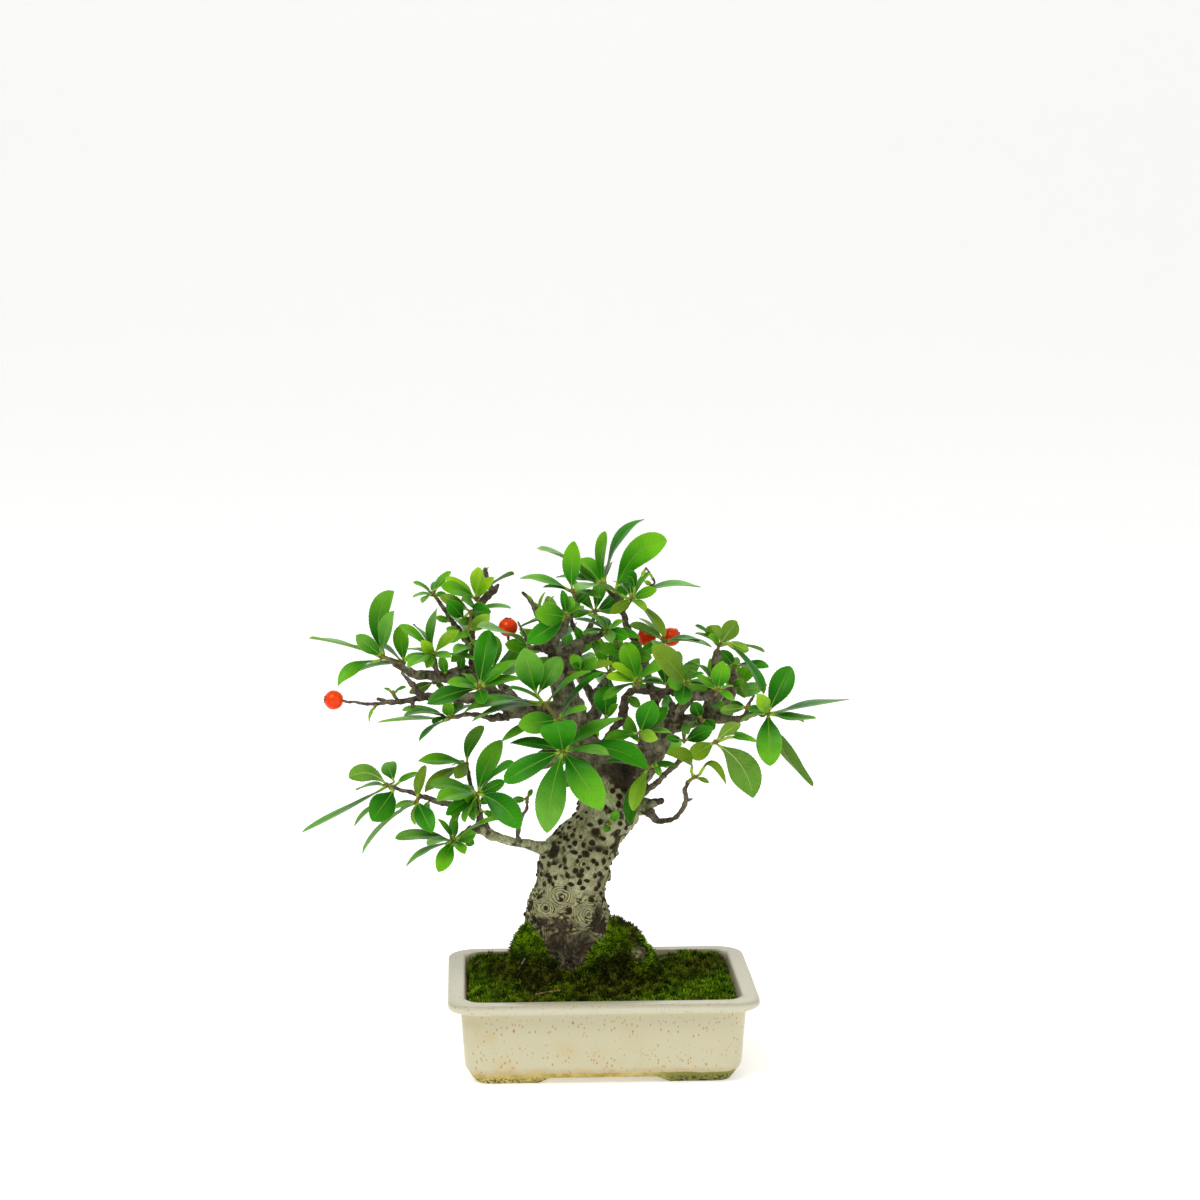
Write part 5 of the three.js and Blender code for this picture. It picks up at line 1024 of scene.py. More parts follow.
# The relief value paints shade in the bark's hollows and light on its ridges
for name, values in {
    "relief": relief - broad_relief - wart_share * 0.3,
    "crown": smooth_share(crown_height, crown_foot - 2, crown_foot + 8),
    "swirl": np.maximum(0.12 + 0.88 * swirl_share, ring_share),
    "ring": ring_share,
    "ring_away": ring_away,
    "lichen": lichen_share,
    "wart": wart_share,
    "dark": dark_bark_and_shade,
    "twig": smooth_share(half_thickness, 2.0, 0.9) * 0.6,
}.items():
    add_attribute(wood.data, name, values)
skin_points = points_of(wood.data)
thinned = wood.modifiers.new("thinned", "DECIMATE")
thinned.ratio = WOOD_TRIANGLES / (2 * len(wood.data.polygons))
bake_modifiers(wood)
wood.data.shade_smooth()
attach(wood, "root")
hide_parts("wood")

# Lenticels. Corky brown warts that stand out of the bark, through which it breathes.
# Each is a low irregular dome, sunk a little at its middle.
LENTICEL_SIDES = 12
# Each ring of a dome: its share of the radius, its height, and how much it is rim
LENTICEL_RINGS = [(1.15, -0.4, 0.9), (1.02, 0.12, 1.0), (0.82, 0.5, 0.5), (0.48, 0.52, 0.1), (0.2, 0.26, 0.0)]


def unit(vector):
    return vector / np.linalg.norm(vector)


cork, cork_tree, cork_shader = new_material("corky_lenticel", ink(66, 52, 32), 0.9)
cork_shader.inputs["Specular IOR Level"].default_value = 0.15
cork_at = object_coordinates(cork_tree)
cork_grain = masked(cloud_mask, cork_at, 1100, 0.35, 0.65)
cork_ground = blended(masked(cloud_mask, cork_at, 190, 0.38, 0.62), ink(104, 88, 56), ink(68, 52, 34))
cork_colour = blended(given_value(cork_tree, "rim"), ink(46, 34, 18), cork_ground)
feed(cork_shader, "Base Color", layered(cork_colour, [(cork_grain, 0.6, (38, 28, 14))]))
bumped(cork_shader, cork_grain, 0.5, 0.0003)

lenticel_shapes = []
for k, radius in lenticel_places:
    normal = wood_normals[k]
    side = unit(np.cross(normal, [0.31, 0.2, 0.93]))
    other = np.cross(normal, side)
    angles = np.arange(LENTICEL_SIDES) * 2 * math.pi / LENTICEL_SIDES
    outline = radius * (1 + rng.normal(0, 0.1, LENTICEL_SIDES))
    stretch = rng.uniform(0.85, 1.25)
    rings = []
    for share, lift, _ in LENTICEL_RINGS:
        flat = (np.cos(angles) * outline * share * stretch)[:, None] * side
        flat = flat + (np.sin(angles) * outline * share / stretch)[:, None] * other
        rings.append(skin_points[k] + flat + normal * lift * min(radius, 1.1))
    lenticel_shapes.append((np.concatenate(rings), ring_faces(len(LENTICEL_RINGS), LENTICEL_SIDES)))
lenticels = make_piece("bark_lenticels", *joined_shapes(lenticel_shapes), cork)
dome_rims = np.repeat([rim for _, _, rim in LENTICEL_RINGS], LENTICEL_SIDES)
add_attribute(lenticels.data, "rim", np.tile(dome_rims, len(lenticel_shapes)))
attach(lenticels, "root")
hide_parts("wood")

# Twigs. The thinner wood that grows on from the limbs: brown, crooked, ringed where
# leaves and buds have been, with short snags and thorns at the sides.
TWIG_SIDES = 9
TWIG_STEP = 0.55
TWIG_NODE_SPACING = 3.4
# Twigs too thin for a solid, in the same columns as the limbs
FINE_TWIGS = {
    "arch_thorn": [[530, 647, -1, 1.4], [523, 634, -1, 1.1], [518, 622, -1, 0.6]],
    "young_twig": [[634, 598, -9, 1.4], [652, 586, -9, 1.1], [654, 580, -9, 0.9], [646, 568, -9, 0.6]],
}

twig_parts = []
for k, rows in enumerate([*BRANCHES.values(), *FINE_TWIGS.values()]):
    route = smooth_route(rows, TWIG_STEP)
    thin_rows = np.flatnonzero(route[:, 3] * 2 < LIMB_THICKNESS + 0.15)
    if not len(thin_rows) or len(route) - max(thin_rows[0] - 3, 0) < 4:
        continue
    route = route[max(thin_rows[0] - 3, 0):]
    run = np.concatenate([[0], np.cumsum(np.linalg.norm(np.diff(route[:, :3], axis=0), axis=1))])
    places = [np.column_stack([run, np.full(len(run), k * 9.1 + axis), run * 0]) for axis in range(3)]
    crook = np.column_stack([cloud(place, 4.2, 51, 2) for place in places])
    fixed = smooth_share(run, 0, 3) * smooth_share(run[-1] - run, -0.5, 3)
    route[:, :3] += crook * np.minimum(route[:, 3], 1.0)[:, None] * 0.5 * fixed[:, None]
    node = np.exp(-(((run + 1.7 * k) % TWIG_NODE_SPACING - TWIG_NODE_SPACING / 2) / 0.55) ** 2)
    route[:, 3] *= 1 + 0.22 * node + 0.1 * cloud(np.column_stack([run, run * 0, run * 0 + k]), 1.4, 57, 2)
    twig_parts.append(tube_shape(route, TWIG_SIDES))
twigs = make_piece("twigs", *joined_shapes(twig_parts), bark)
twig_points = points_of(twigs.data)
twig_normals = normals_of(twigs.data)
twig_relief = cloud(twig_points, 1.3, 61, 2) * 0.14
set_points(twigs.data, twig_points + twig_normals * twig_relief[:, None])
# The relief value paints shade in the twigs' dips and light on their swells
add_attribute(twigs.data, "relief", twig_relief * 1.6)
# The twigs take part of the crown's painted shade and darker bark
for name, value in {"wart": 0.0, "dark": 0.0, "swirl": 0.0, "crown": 0.3, "lichen": 0.0, "twig": 1.0}.items():
    add_attribute(twigs.data, name, np.full(len(twig_points), value))
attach(twigs, "root")
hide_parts("wood")

# Moss. A cushion of living moss covers the soil from wall to wall, climbs the roots
# and the trunk's foot, and is made of many tiny pointed shoots.
MOSS_EDGE = 32.2
MOSS_BOTTOM = 26.3
# The pot's inside wall is RIM_INSET in from the lip at the top, and runs in by
# WALL_RUN over a fall of WALL_FALL
POT_HEIGHT = 35
RIM_INSET = 7.4
WALL_RUN = 4
WALL_FALL = 28.5
MOSS_RINGS = 62
# Rings under the trunk, where no tufts grow
HIDDEN_RINGS = 12
# Steps round a corner, along a long side and along a short side
MOSS_STEPS = (8, 92, 66)
# Mounds in the moss: the place (across, down, near), spread and height in mm
MOSS_MOUNDS = [
    [[611, 950, 1], 9, 8],
    [[534, 950, 3], 8, 7],
    [[604, 950, -20], 10, 5],
    [[546, 950, -19], 10, 5],
    [[640, 985, 12], 8, 2],
    [[570, 950, 13], 8, -2.5],
]
# Roots that moss has climbed, and how many of their rows it reaches
MOSSY_ROOTS = {"right": 7, "left": 5}
MOSS_COVER = 1.5
# Worn patches: across, down, half width and half height in pixels
BARE_PATCHES = [(636, 954, 8, 8)]
BARE_DEPTH = 1.0
# How far the moss is heaped up at the back on both sides
BACK_RISE = 2.4
# Where the moss grows fresh and green, and where it is old and brown: across, down,
# half width and half height in pixels, and how much greener or browner. On the greenest
# patches, the two clumps in the tree's shadow, the moss is also brightened with painted light
FRESH_PATCHES = [
    (533, 940, 15, 14, 1.4), (519, 942, 8, 8, 0.8), (616, 934, 15, 11, 1.4), (604, 948, 12, 8, 1.0),
    (646, 955, 8, 14, 0.6), (690, 952, 30, 5, 0.6), (720, 985, 26, 14, 0.8), (668, 995, 26, 8, 0.8),
    (480, 992, 18, 10, 0.6), (585, 968, 12, 9, 0.35), (476, 975, 10, 10, 0.5), (505, 998, 22, 6, 0.4),
    (512, 962, 7, 12, -0.8), (528, 965, 6, 14, -0.5), (545, 975, 20, 10, -0.7), (612, 982, 18, 14, -0.8),
    (700, 966, 12, 6, -0.8), (728, 958, 10, 8, -0.6), (572, 972, 8, 6, -0.3), (500, 968, 8, 8, -0.5),
    (624, 922, 11, 4, -1.2), (633, 935, 5, 7, -1.0), (620, 960, 9, 8, -0.4), (640, 976, 10, 6, -0.4),
]
# Where the moss stops at the front of the trunk: across and down
MOSS_LIMIT = [(524, 905), (529, 928), (537, 934), (543, 948), (549, 960), (560, 966), (573, 963), (585, 958),
              (596, 948), (609, 934), (613, 905)]
TUFT_COUNT = 16000
TUFT_HEIGHT = 2.1
TUFT_WIDTH = 0.46
TUFT_CORNERS = 12
TUFT_SEED = 7.0
# A tuft's spikes: how each is turned and tilted, and its share of the full size
TUFT_SPIKES = [(0.0, 0.32, 1.0), (2.1, 0.5, 0.8), (4.2, 0.55, 0.72)]
SPIKE_SHIFT = 0.0002
# Needles and straw fallen on the moss: places along them, thickness in mm, colour
STRAWS = [
    ([(524.5, 961), (520.5, 972)], 0.55, (236, 176, 168)),
    ([(536, 997), (547, 994.5), (560, 993)], 0.6, (206, 150, 112)),
    ([(655, 964), (668, 960), (678, 960)], 0.6, (70, 44, 34)),
    ([(652, 972), (660, 983)], 0.7, (92, 58, 44)),
    ([(476, 966), (483, 961)], 0.8, (150, 110, 96)),
    ([(704, 975), (716, 972)], 0.5, (84, 66, 40)),
]


def wall_inset(height):
    return RIM_INSET + WALL_RUN * (POT_HEIGHT - height) / WALL_FALL


trunk_foot = place_at(569, 945, -4)
PIXELS_PER_MM = 1 / np.linalg.norm(place_at(601, 700, 0) - place_at(600, 700, 0))


def moss_height(x, y):
    from_trunk = np.hypot(x - trunk_foot[0], (y - trunk_foot[1]) * 1.05)
    mound = 12 * np.exp(-((np.maximum(from_trunk - 12, 0) / 13) ** 2))
    for middle, spread, height in MOSS_MOUNDS:
        place = place_at(*middle)
        mound = mound + height * np.exp(-(((x - place[0]) ** 2 + (y - place[1]) ** 2) / spread ** 2))
    lumps = 0.7 * np.sin(x * 0.42 + 1.3) * np.cos(y * 0.51 - 0.4) + 0.5 * np.sin(x * 0.83 - y * 0.67)
    behind = smooth_share(y, 0, 24) * smooth_share(np.abs(x - 8), 14, 30)
    mound = mound + BACK_RISE * behind
    edge = np.minimum(POT_LENGTH / 2 - wall_inset(MOSS_EDGE) - np.abs(x),
                      POT_DEPTH / 2 - wall_inset(MOSS_EDGE) - np.abs(y))
    settled = smooth_share(edge, -1, 9)
    dip = 0.9 * np.exp(-np.maximum(edge, 0) / 1.3)
    return MOSS_EDGE + mound * settled + lumps * (0.35 + 0.65 * settled) - dip


moss_wall = wall_inset(MOSS_BOTTOM) + 0.35
moss_outline = pot_ring(moss_wall, *MOSS_STEPS)
moss_rings = [np.column_stack([moss_outline, np.full(len(moss_outline), MOSS_BOTTOM)])]
for share in 1 - (np.arange(MOSS_RINGS) / MOSS_RINGS) ** 0.95 * 0.97:
    flat = moss_outline * share + trunk_foot[:2] * (1 - share) * 0.8
    moss_rings.append(np.column_stack([flat, moss_height(flat[:, 0], flat[:, 1])]))
moss_points = np.concatenate(moss_rings)
lower_count = len(moss_outline)
upper = moss_points[lower_count:]
covered = upper[:, 2].copy()
for root, stops in MOSSY_ROOTS.items():
    for row in smooth_route(ROOTS[root][1:stops], 0.6):
        away = np.hypot(upper[:, 0] - row[0], upper[:, 1] - row[1])
        top = row[2] + np.sqrt(np.maximum((row[3] + MOSS_COVER) ** 2 - away ** 2, 0))
        covered = np.where(away < row[3] + MOSS_COVER, np.maximum(covered, top), covered)
upper[:, 2] = covered
limit_across, limit_down = (np.array(side) for side in zip(*MOSS_LIMIT))
seen_across, seen_down, _ = seen_at(upper)
limit = np.interp(seen_across, limit_across, limit_down) + 2.5 * cloud(upper, 3, 79, 2)
front = (upper @ toward_viewer > 0) & (seen_across > limit_across[0]) & (seen_across < limit_across[-1])
over = np.where(front, np.maximum(limit - seen_down, 0), 0) / PIXELS_PER_MM
upper[:, 2] -= np.minimum(over * 1.02, 16)
for patch_across, patch_down, patch_width, patch_height in BARE_PATCHES:
    inside = np.hypot((seen_across - patch_across) / patch_width, (seen_down - patch_down) / patch_height)
    upper[:, 2] -= np.where(upper @ toward_viewer > -6, BARE_DEPTH * np.exp(-inside ** 4), 0)
inner = smooth_share(np.minimum(POT_LENGTH / 2 - moss_wall - np.abs(upper[:, 0]),
                                POT_DEPTH / 2 - moss_wall - np.abs(upper[:, 1])), 0, 4)
upper[:, 2] += cloud(upper, 4.5, 71) * 1.15 * (0.3 + 0.7 * inner) + cloud(upper, 1.7, 73, 2) * 0.5 * inner

green, green_tree, green_shader = new_material("living_moss", ink(62, 84, 16), 0.9)
green_shader.inputs["Specular IOR Level"].default_value = 0.1
green_at = object_coordinates(green_tree)
green_spot = masked(cloud_mask, green_at, 330, 0.38, 0.62)
green_fine = masked(cloud_mask, green_at, 1100, 0.35, 0.65)
tip_share, fresh, strand, bare_ground = (
    given_value(green_tree, name) for name in ("tip", "fresh", "strand", "bare"))
# strand is each tuft's random brightness, raised by painted light on the greenest patches
old_moss = blended(strand, ink(36, 38, 10), ink(164, 170, 34))
fresh_moss = blended(strand, ink(28, 78, 0), ink(172, 236, 8))
moss_colour = layered(blended(fresh, old_moss, fresh_moss), [
    (green_spot, 0.35, (48, 62, 4)),
    # Paler tips: partly the moss's young growth, partly painted light on the tips of the tufts
    (times(tip_share, strand), 0.7, blended(fresh, ink(150, 158, 40), ink(196, 238, 40))),
    # Painted shade: the feet of the tufts and the cushion under them are darkened nearly to black
    (ramped(tip_share, 0.7, 0.0), 0.9, (10, 12, 2)),
    (bare_ground, 0.9, blended(green_fine, ink(28, 22, 10), ink(104, 92, 56))),
    (masked(spot_mask, green_at, 700, 0.2, 0.5), 0.5, (78, 52, 26)),
])
feed(green_shader, "Base Color", moss_colour)
bumped(green_shader, plus(green_spot, green_fine), 0.9, 0.0008)


def colour_moss(mesh, points, tip, strand):
    """Gives a moss mesh the values that its colour is worked out from."""
    mesh_across, mesh_down, _ = seen_at(points)
    lush = 0.42 + 0.4 * cloud(points, 9, 83)
    bald = np.zeros(len(points))
    sunny = np.zeros(len(points))
    for patch_across, patch_down, patch_width, patch_height, amount in FRESH_PATCHES:
        inside = np.hypot((mesh_across - patch_across) / patch_width, (mesh_down - patch_down) / patch_height)
        share = np.exp(-(inside + 0.3 * cloud(points, 4, 89, 2)) ** 2)
        lush = lush + amount * share
        bald = np.maximum(bald, share * (amount < -0.9))
        # Painted light: on the greenest patches, the clumps in the tree's shadow, the strands are brightened
        sunny = np.maximum(sunny, share * (amount > 0.9))
    add_attribute(mesh, "fresh", np.clip(lush, 0, 1))
    add_attribute(mesh, "bare", bald)
    add_attribute(mesh, "strand", np.clip(strand + 0.35 * sunny, 0, 1))
    if tip is not None:
        add_attribute(mesh, "tip", tip)


moss = make_piece("moss_cushion", moss_points, ring_faces(MOSS_RINGS + 1, lower_count), green)
moss_light = 0.35 + 0.35 * cloud(moss_points, 1.2, 91, 2)
# Its low tip value puts the cushion under the tufts into the painted shade
colour_moss(moss.data, moss_points, np.full(len(moss_points), 0.15), moss_light)
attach(moss, "root")
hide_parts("moss")

tuft_nodes, tuft_inputs, given = growth_nodes("moss_tufts", {
    "Density": 1.0, "Height": TUFT_HEIGHT * MM, "Width": TUFT_WIDTH * MM, "Seed": TUFT_SEED})
seed = wire(tuft_nodes, "FunctionNodeFloatToInt", {0: given["Seed"]}).outputs[0]
scattered = wire(tuft_nodes, "GeometryNodeDistributePointsOnFaces",
                 {"Mesh": given["Geometry"], "Density": given["Density"], "Seed": seed}).outputs
spikes = wire(tuft_nodes, "GeometryNodeJoinGeometry")
for turn, tilt, share in TUFT_SPIKES:
    height = times(given["Height"], share)
    spike = wire(tuft_nodes, "GeometryNodeMeshCone", {
        "Vertices": 3, "Radius Top": 0.0, "Radius Bottom": times(given["Width"], share), "Depth": height})
    place = wire(tuft_nodes, "GeometryNodeInputPosition").outputs[0]
    rise = wire(tuft_nodes, "ShaderNodeSeparateXYZ", {0: place}).outputs[2]
    tip = wire(tuft_nodes, "ShaderNodeMapRange", {"Value": rise, "From Max": height}).outputs["Result"]
    tipped = {"Geometry": spike.outputs["Mesh"], "Name": "tip", "Value": tip}
    marked = wire(tuft_nodes, "GeometryNodeStoreNamedAttribute", tipped, data_type="FLOAT", domain="POINT")
    shift = (SPIKE_SHIFT * math.cos(turn), SPIKE_SHIFT * math.sin(turn), -SPIKE_SHIFT)
    leaned = wire(tuft_nodes, "GeometryNodeTransform",
                  {"Geometry": marked.outputs[0], "Rotation": (tilt, 0, turn), "Translation": shift})
    tuft_nodes.links.new(leaned.outputs[0], spikes.inputs[0])
spin = wire(tuft_nodes, "FunctionNodeRandomValue",
            {"Min": (-0.35, -0.35, 0), "Max": (0.35, 0.35, 6.28), "Seed": 3}, data_type="FLOAT_VECTOR")
spun = wire(tuft_nodes, "FunctionNodeRotateEuler",
            {"Rotation": scattered["Rotation"], "Rotate By": spin.outputs[0]},
            rotation_type="EULER", space="LOCAL").outputs[0]
sized = wire(tuft_nodes, "FunctionNodeRandomValue", {2: 0.45, 3: 1.4, "Seed": 5}, data_type="FLOAT")
grown = wire(tuft_nodes, "GeometryNodeInstanceOnPoints",
             {"Points": scattered["Points"], "Instance": spikes.outputs[0], "Rotation": spun,
              "Scale": sized.outputs[1]})
end_growth(tuft_nodes, grown.outputs[0], green)

tuft_rings = [moss_points[lower_count * k:lower_count * (k + 1)] for k in range(1, MOSS_RINGS - HIDDEN_RINGS)]
tuft_faces = ring_faces(len(tuft_rings), lower_count)[:-2]
tufts = make_piece("moss_tufts", np.concatenate(tuft_rings), tuft_faces, green)
top_area = sum(face.area for face in tufts.data.polygons)
grow(tufts, tuft_nodes, tuft_inputs, (TUFT_COUNT / top_area, TUFT_HEIGHT * MM, TUFT_WIDTH * MM, TUFT_SEED))
tuft_points = points_of(tufts.data)
tuft_middles = tuft_points.reshape(-1, TUFT_CORNERS, 3).mean(axis=1)
clumps = np.clip(0.75 + 1.3 * cloud(tuft_middles, 2.4, 101, 2), 0.15, 1.5)
tuft_light = np.repeat(np.clip(rng.random(len(tuft_middles)) ** 1.15 * clumps, 0, 1), TUFT_CORNERS)
colour_moss(tufts.data, tuft_points, None, tuft_light)
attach(tufts, "root")
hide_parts("moss")

# Fallen straw. A few dry needles and bits of stem that lie loose on the moss, from
# pale pink-brown where they are new to nearly black where they have rotted.
STRAW_LIFT = 1.0

dry_straw, straw_tree, straw_shader = new_material("dry_straw", ink(200, 150, 120), 0.7)
straw_tone = wire(straw_tree, "ShaderNodeAttribute", attribute_name="straw_tone").outputs["Color"]
straw_mark = masked(cloud_mask, object_coordinates(straw_tree), 900, 0.4, 0.7)
straw_dark = wire(straw_tree, "ShaderNodeHueSaturation", {"Value": 0.6, "Color": straw_tone}).outputs[0]
feed(straw_shader, "Base Color", blended(straw_mark, straw_tone, straw_dark))
bumped(straw_shader, straw_mark, 0.3, 0.0002)


def on_moss(straw_across, straw_down):
    """The place on the moss that shows at this pixel of the photograph."""
    upper_across, upper_down, upper_depth = seen_at(upper)
    missed = np.hypot(upper_across - straw_across, upper_down - straw_down) * 2 + upper_depth * 0.2
    return upper[np.argmin(missed)] + [0, 0, STRAW_LIFT]


straw_shapes = []
straw_tones = []
for places, straw_thickness, straw_colour in STRAWS:
    stops = np.array([on_moss(*place) for place in places])
    shares = np.linspace(0, 1, 9)
    marks = np.linspace(0, 1, len(stops))
    along = np.column_stack([np.interp(shares, marks, side) for side in stops.T])
    width = straw_thickness / 2 * (1 - 0.5 * np.abs(shares - 0.45))
    shape = tube_shape(np.column_stack([along, width]), 6)
    straw_shapes.append(shape)
    straw_tones.append(np.tile(ink(*straw_colour), (len(shape[0]), 1)))
straw = make_piece("fallen_straw", *joined_shapes(straw_shapes), dry_straw)
add_attribute(straw.data, "straw_tone", np.concatenate(straw_tones), "FLOAT_COLOR")
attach(straw, "root")
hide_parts("moss")

# Berries. Small firm pomes with a glossy orange-red skin, each on a thin stalk, with
# the dry brown remains of the flower round a dimple at the far end.
BERRY_DIAMETER = 7.9
BERRY_HEIGHT = 7.3
BERRY_SIDES = 36
# A berry's rings from its stalk to its dimple: shares of half its width and height
BERRY_PROFILE = [
    (0.1, -0.88), (0.2, -0.95), (0.34, -0.97), (0.55, -0.86), (0.74, -0.68), (0.89, -0.42), (0.98, -0.12),
    (0.99, 0.14), (0.93, 0.42), (0.8, 0.66), (0.62, 0.85), (0.46, 0.95), (0.36, 0.99), (0.28, 0.95),
    (0.22, 0.86), (0.12, 0.8),
]
# Each berry's node, its middle, and where its stalk ends
BERRIES = [
    ["berry_left", [334, 700, 18], [342.9, 700.7, 17.5]],
    ["berry_upper_left", [508, 627.5, 1], [508, 636.4, 1]],
    ["berry_right_a", [647, 637, -19], [651.7, 644.1, -19]],
    ["berry_right_b", [671, 637, -18], [664.4, 642.8, -17.7]],
]
berry_skin, berry_tree, berry_shader = new_material("berry_skin", ink(240, 60, 4), 0.3)
berry_at = object_coordinates(berry_tree)
berry_blush = masked(cloud_mask, berry_at, 90, 0.35, 0.65)
berry_dots = masked(spot_mask, berry_at, 1500, 0.15, 0.3)
calyx_share = given_value(berry_tree, "calyx")
berry_colour = blended(berry_blush, ink(243, 72, 0), ink(230, 46, 0))
berry_colour = layered(berry_colour, [(berry_dots, 0.12, (250, 116, 30))])
feed(berry_shader, "Base Color", blended(calyx_share, berry_colour, ink(52, 34, 20)))
feed(berry_shader, "Roughness", spread(calyx_share, 0.24, 0.8))
berry_shader.inputs["Specular IOR Level"].default_value = 0.38
berry_shader.inputs["Specular Tint"].default_value = (1.0, 0.7, 0.5, 1.0)
bumped(berry_shader, masked(cloud_mask, berry_at, 300, 0.3, 0.7), 0.06, 0.0002)

for berry_name, middle, stalk_end in BERRIES:
    centre = place_at(*middle)
    axis = centre - place_at(*stalk_end)
    axis /= np.linalg.norm(axis)
    side = np.cross(axis, [0.0, 1.0, 0.0])
    side /= np.linalg.norm(side)
    other = np.cross(axis, side)
    rings = []
    calyx = []
    for radius_share, height_share in BERRY_PROFILE:
        angles = np.arange(BERRY_SIDES) * 2 * math.pi / BERRY_SIDES
        lobes = 0.5 + 0.5 * np.cos(angles * 5)
        crown = math.exp(-((radius_share - 0.34) / 0.09) ** 2) if height_share > 0.8 else 0.0
        radius = BERRY_DIAMETER / 2 * radius_share * (1 - 0.3 * crown * lobes)
        height = BERRY_HEIGHT / 2 * height_share + 0.55 * crown * lobes
        flat = (radius * np.cos(angles))[:, None] * side + (radius * np.sin(angles))[:, None] * other
        rings.append(centre + flat + np.asarray(height)[..., None] * axis)
        dry = 0.8 * (radius_share < 0.15)
        if height_share > 0:
            dry = 1.0 if height_share > 0.75 and radius_share < 0.4 else 0.7 * crown
        calyx.append(np.full(BERRY_SIDES, dry))
    berry = make_piece(berry_name.replace("berry", "ripe_berry"), np.concatenate(rings),
                       [face[::-1] for face in ring_faces(len(rings), BERRY_SIDES)], berry_skin)
    add_attribute(berry.data, "calyx", np.concatenate(calyx))
    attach(berry, "root")
    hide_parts(berry_name)

# Leaves. Leathery blades in rosettes on short shoots: glossy green above with a pale
# midrib in a groove, matt and olive below, finely toothed, on short pale stalks.
LEAF_THICKNESS = 0.3
LEAF_ROW_STEP = 0.62
STALK_ROWS = 5
BUD_WIDTHS = (0.25, 0.7, 0.95, 1.0, 0.8, 0.4)
LEAF_COLUMNS = (-1, -0.64, -0.24, 0, 0.24, 0.64, 1)
TOOTH_DEPTH = 0.16
BLADE_RATIO = 0.36
BLADE_WIDEST = 10.5
BLADE_FOLD = 0.22
BLADE_BOW = 0.07
SHOWING_WIDTH = 6.5
LEAF_OUTLINE = [
    (0, 0.08), (0.05, 0.1), (0.12, 0.2), (0.2, 0.4), (0.3, 0.66), (0.4, 0.86), (0.5, 0.97), (0.57, 1),
    (0.65, 0.98), (0.74, 0.88), (0.82, 0.72), (0.89, 0.51), (0.94, 0.32), (0.98, 0.14), (1, 0.02),
]
ROUND_OUTLINE = [(0, 0.08), (0.06, 0.1), (0.13, 0.19), (0.21, 0.37), (0.31, 0.61), (0.42, 0.83), (0.53, 0.96),
                 (0.62, 1), (0.71, 0.98), (0.8, 0.89), (0.87, 0.75), (0.93, 0.55), (0.97, 0.34), (0.99, 0.18),
                 (1, 0.03)]
# A leaf that points at the viewer and bends down shows as a shield
SHIELD_OUTLINE = [
    (0, 0.08), (0.1, 0.14), (0.3, 0.42), (0.6, 0.78), (0.8, 0.96), (0.9, 1), (0.96, 0.94), (1, 0.8),
]
SHIELD_TIP = (557, 722)
PLAIN_OUTLINE = [(0, 0.1), (0.12, 0.18), (0.44, 0.86), (0.62, 1), (0.8, 0.84), (1, 0.12)]
# Each tone's colour at a leaf's foot and at its tip. The paler tip is painted sheen, bluish in the blue tone
LEAF_TONES = {
    "mid": ((12, 112, 0), (104, 180, 30)),
    "dark": ((8, 96, 0), (52, 144, 4)),
    "pale": ((108, 160, 22), (152, 198, 54)),
    "olive": ((90, 130, 8), (120, 156, 22)),
    "yellow": ((100, 164, 2), (150, 200, 20)),
    "blue": ((34, 124, 0), (108, 172, 54)),
    "grey": ((98, 138, 54), (132, 168, 82)),
    "bright": ((36, 138, 0), (110, 186, 14)),
}
TONED_TIPS = {
    "dark": [(510, 743), (605, 687), (489, 630), (372, 821), (432, 833), (505, 781), (452, 821), (447, 600),
             (491, 612), (556, 577), (628, 573), (527, 643), (603, 616), (641, 643), (681, 705),
             (667, 707), (629, 824), (678, 766), (748, 710), (764, 694), (769, 667), (721, 650),
             (731, 703), (713, 728), (666, 737), (693, 702), (715, 729), (617, 584), (641, 653), (427, 704),
             (446, 815), (520, 829), (484, 704), (514, 762)],
    "pale": [(415, 825), (455, 778), (658, 739), (633, 811), (740, 723), (490, 615)],
    "olive": [(613, 663), (425, 765), (425, 792), (440, 596), (610, 613), (690, 757), (667, 754),
              (726, 784), (709, 783), (665, 637), (652, 646)],
    "yellow": [(421, 640), (645, 611), (667, 768), (757, 694), (749, 651), (612, 664), (606, 677), (445, 578),
               (478, 567), (494, 577), (459, 630), (711, 625), (737, 621)],
    "blue": [(524, 648), (560, 657), (652, 640), (547, 833), (437, 608), (356, 635)],
    "grey": [(612, 562), (543, 603)],
    "bright": [(669, 655), (723, 661), (697, 677), (733, 701), (661, 669), (625, 642), (399, 625),
               (399, 626), (505, 644), (408, 668), (574, 541), (438, 872), (441, 586), (451, 571), (450, 643),
               (451, 662), (461, 637), (426, 668), (667, 541)],
}
# Young leaves too small for a solid: the foot, then a row as in SEEN_SPRAYS
YOUNG_LEAVES = [
    ([533, 604, -8], [527, 595, 1, 3]), ([539, 613, -7], [545, 592, 1, 4]),
    ([541, 615, -7], [554, 596, 2, 4]), ([376, 704, 16], [369, 722, 2, 4]),
    ([646, 568, -9], [641, 577, 2, 4]), ([652, 585, -9], [644, 581, 3, 5]),
    ([654, 580, -9], [648, 573, 2, 3]),
]
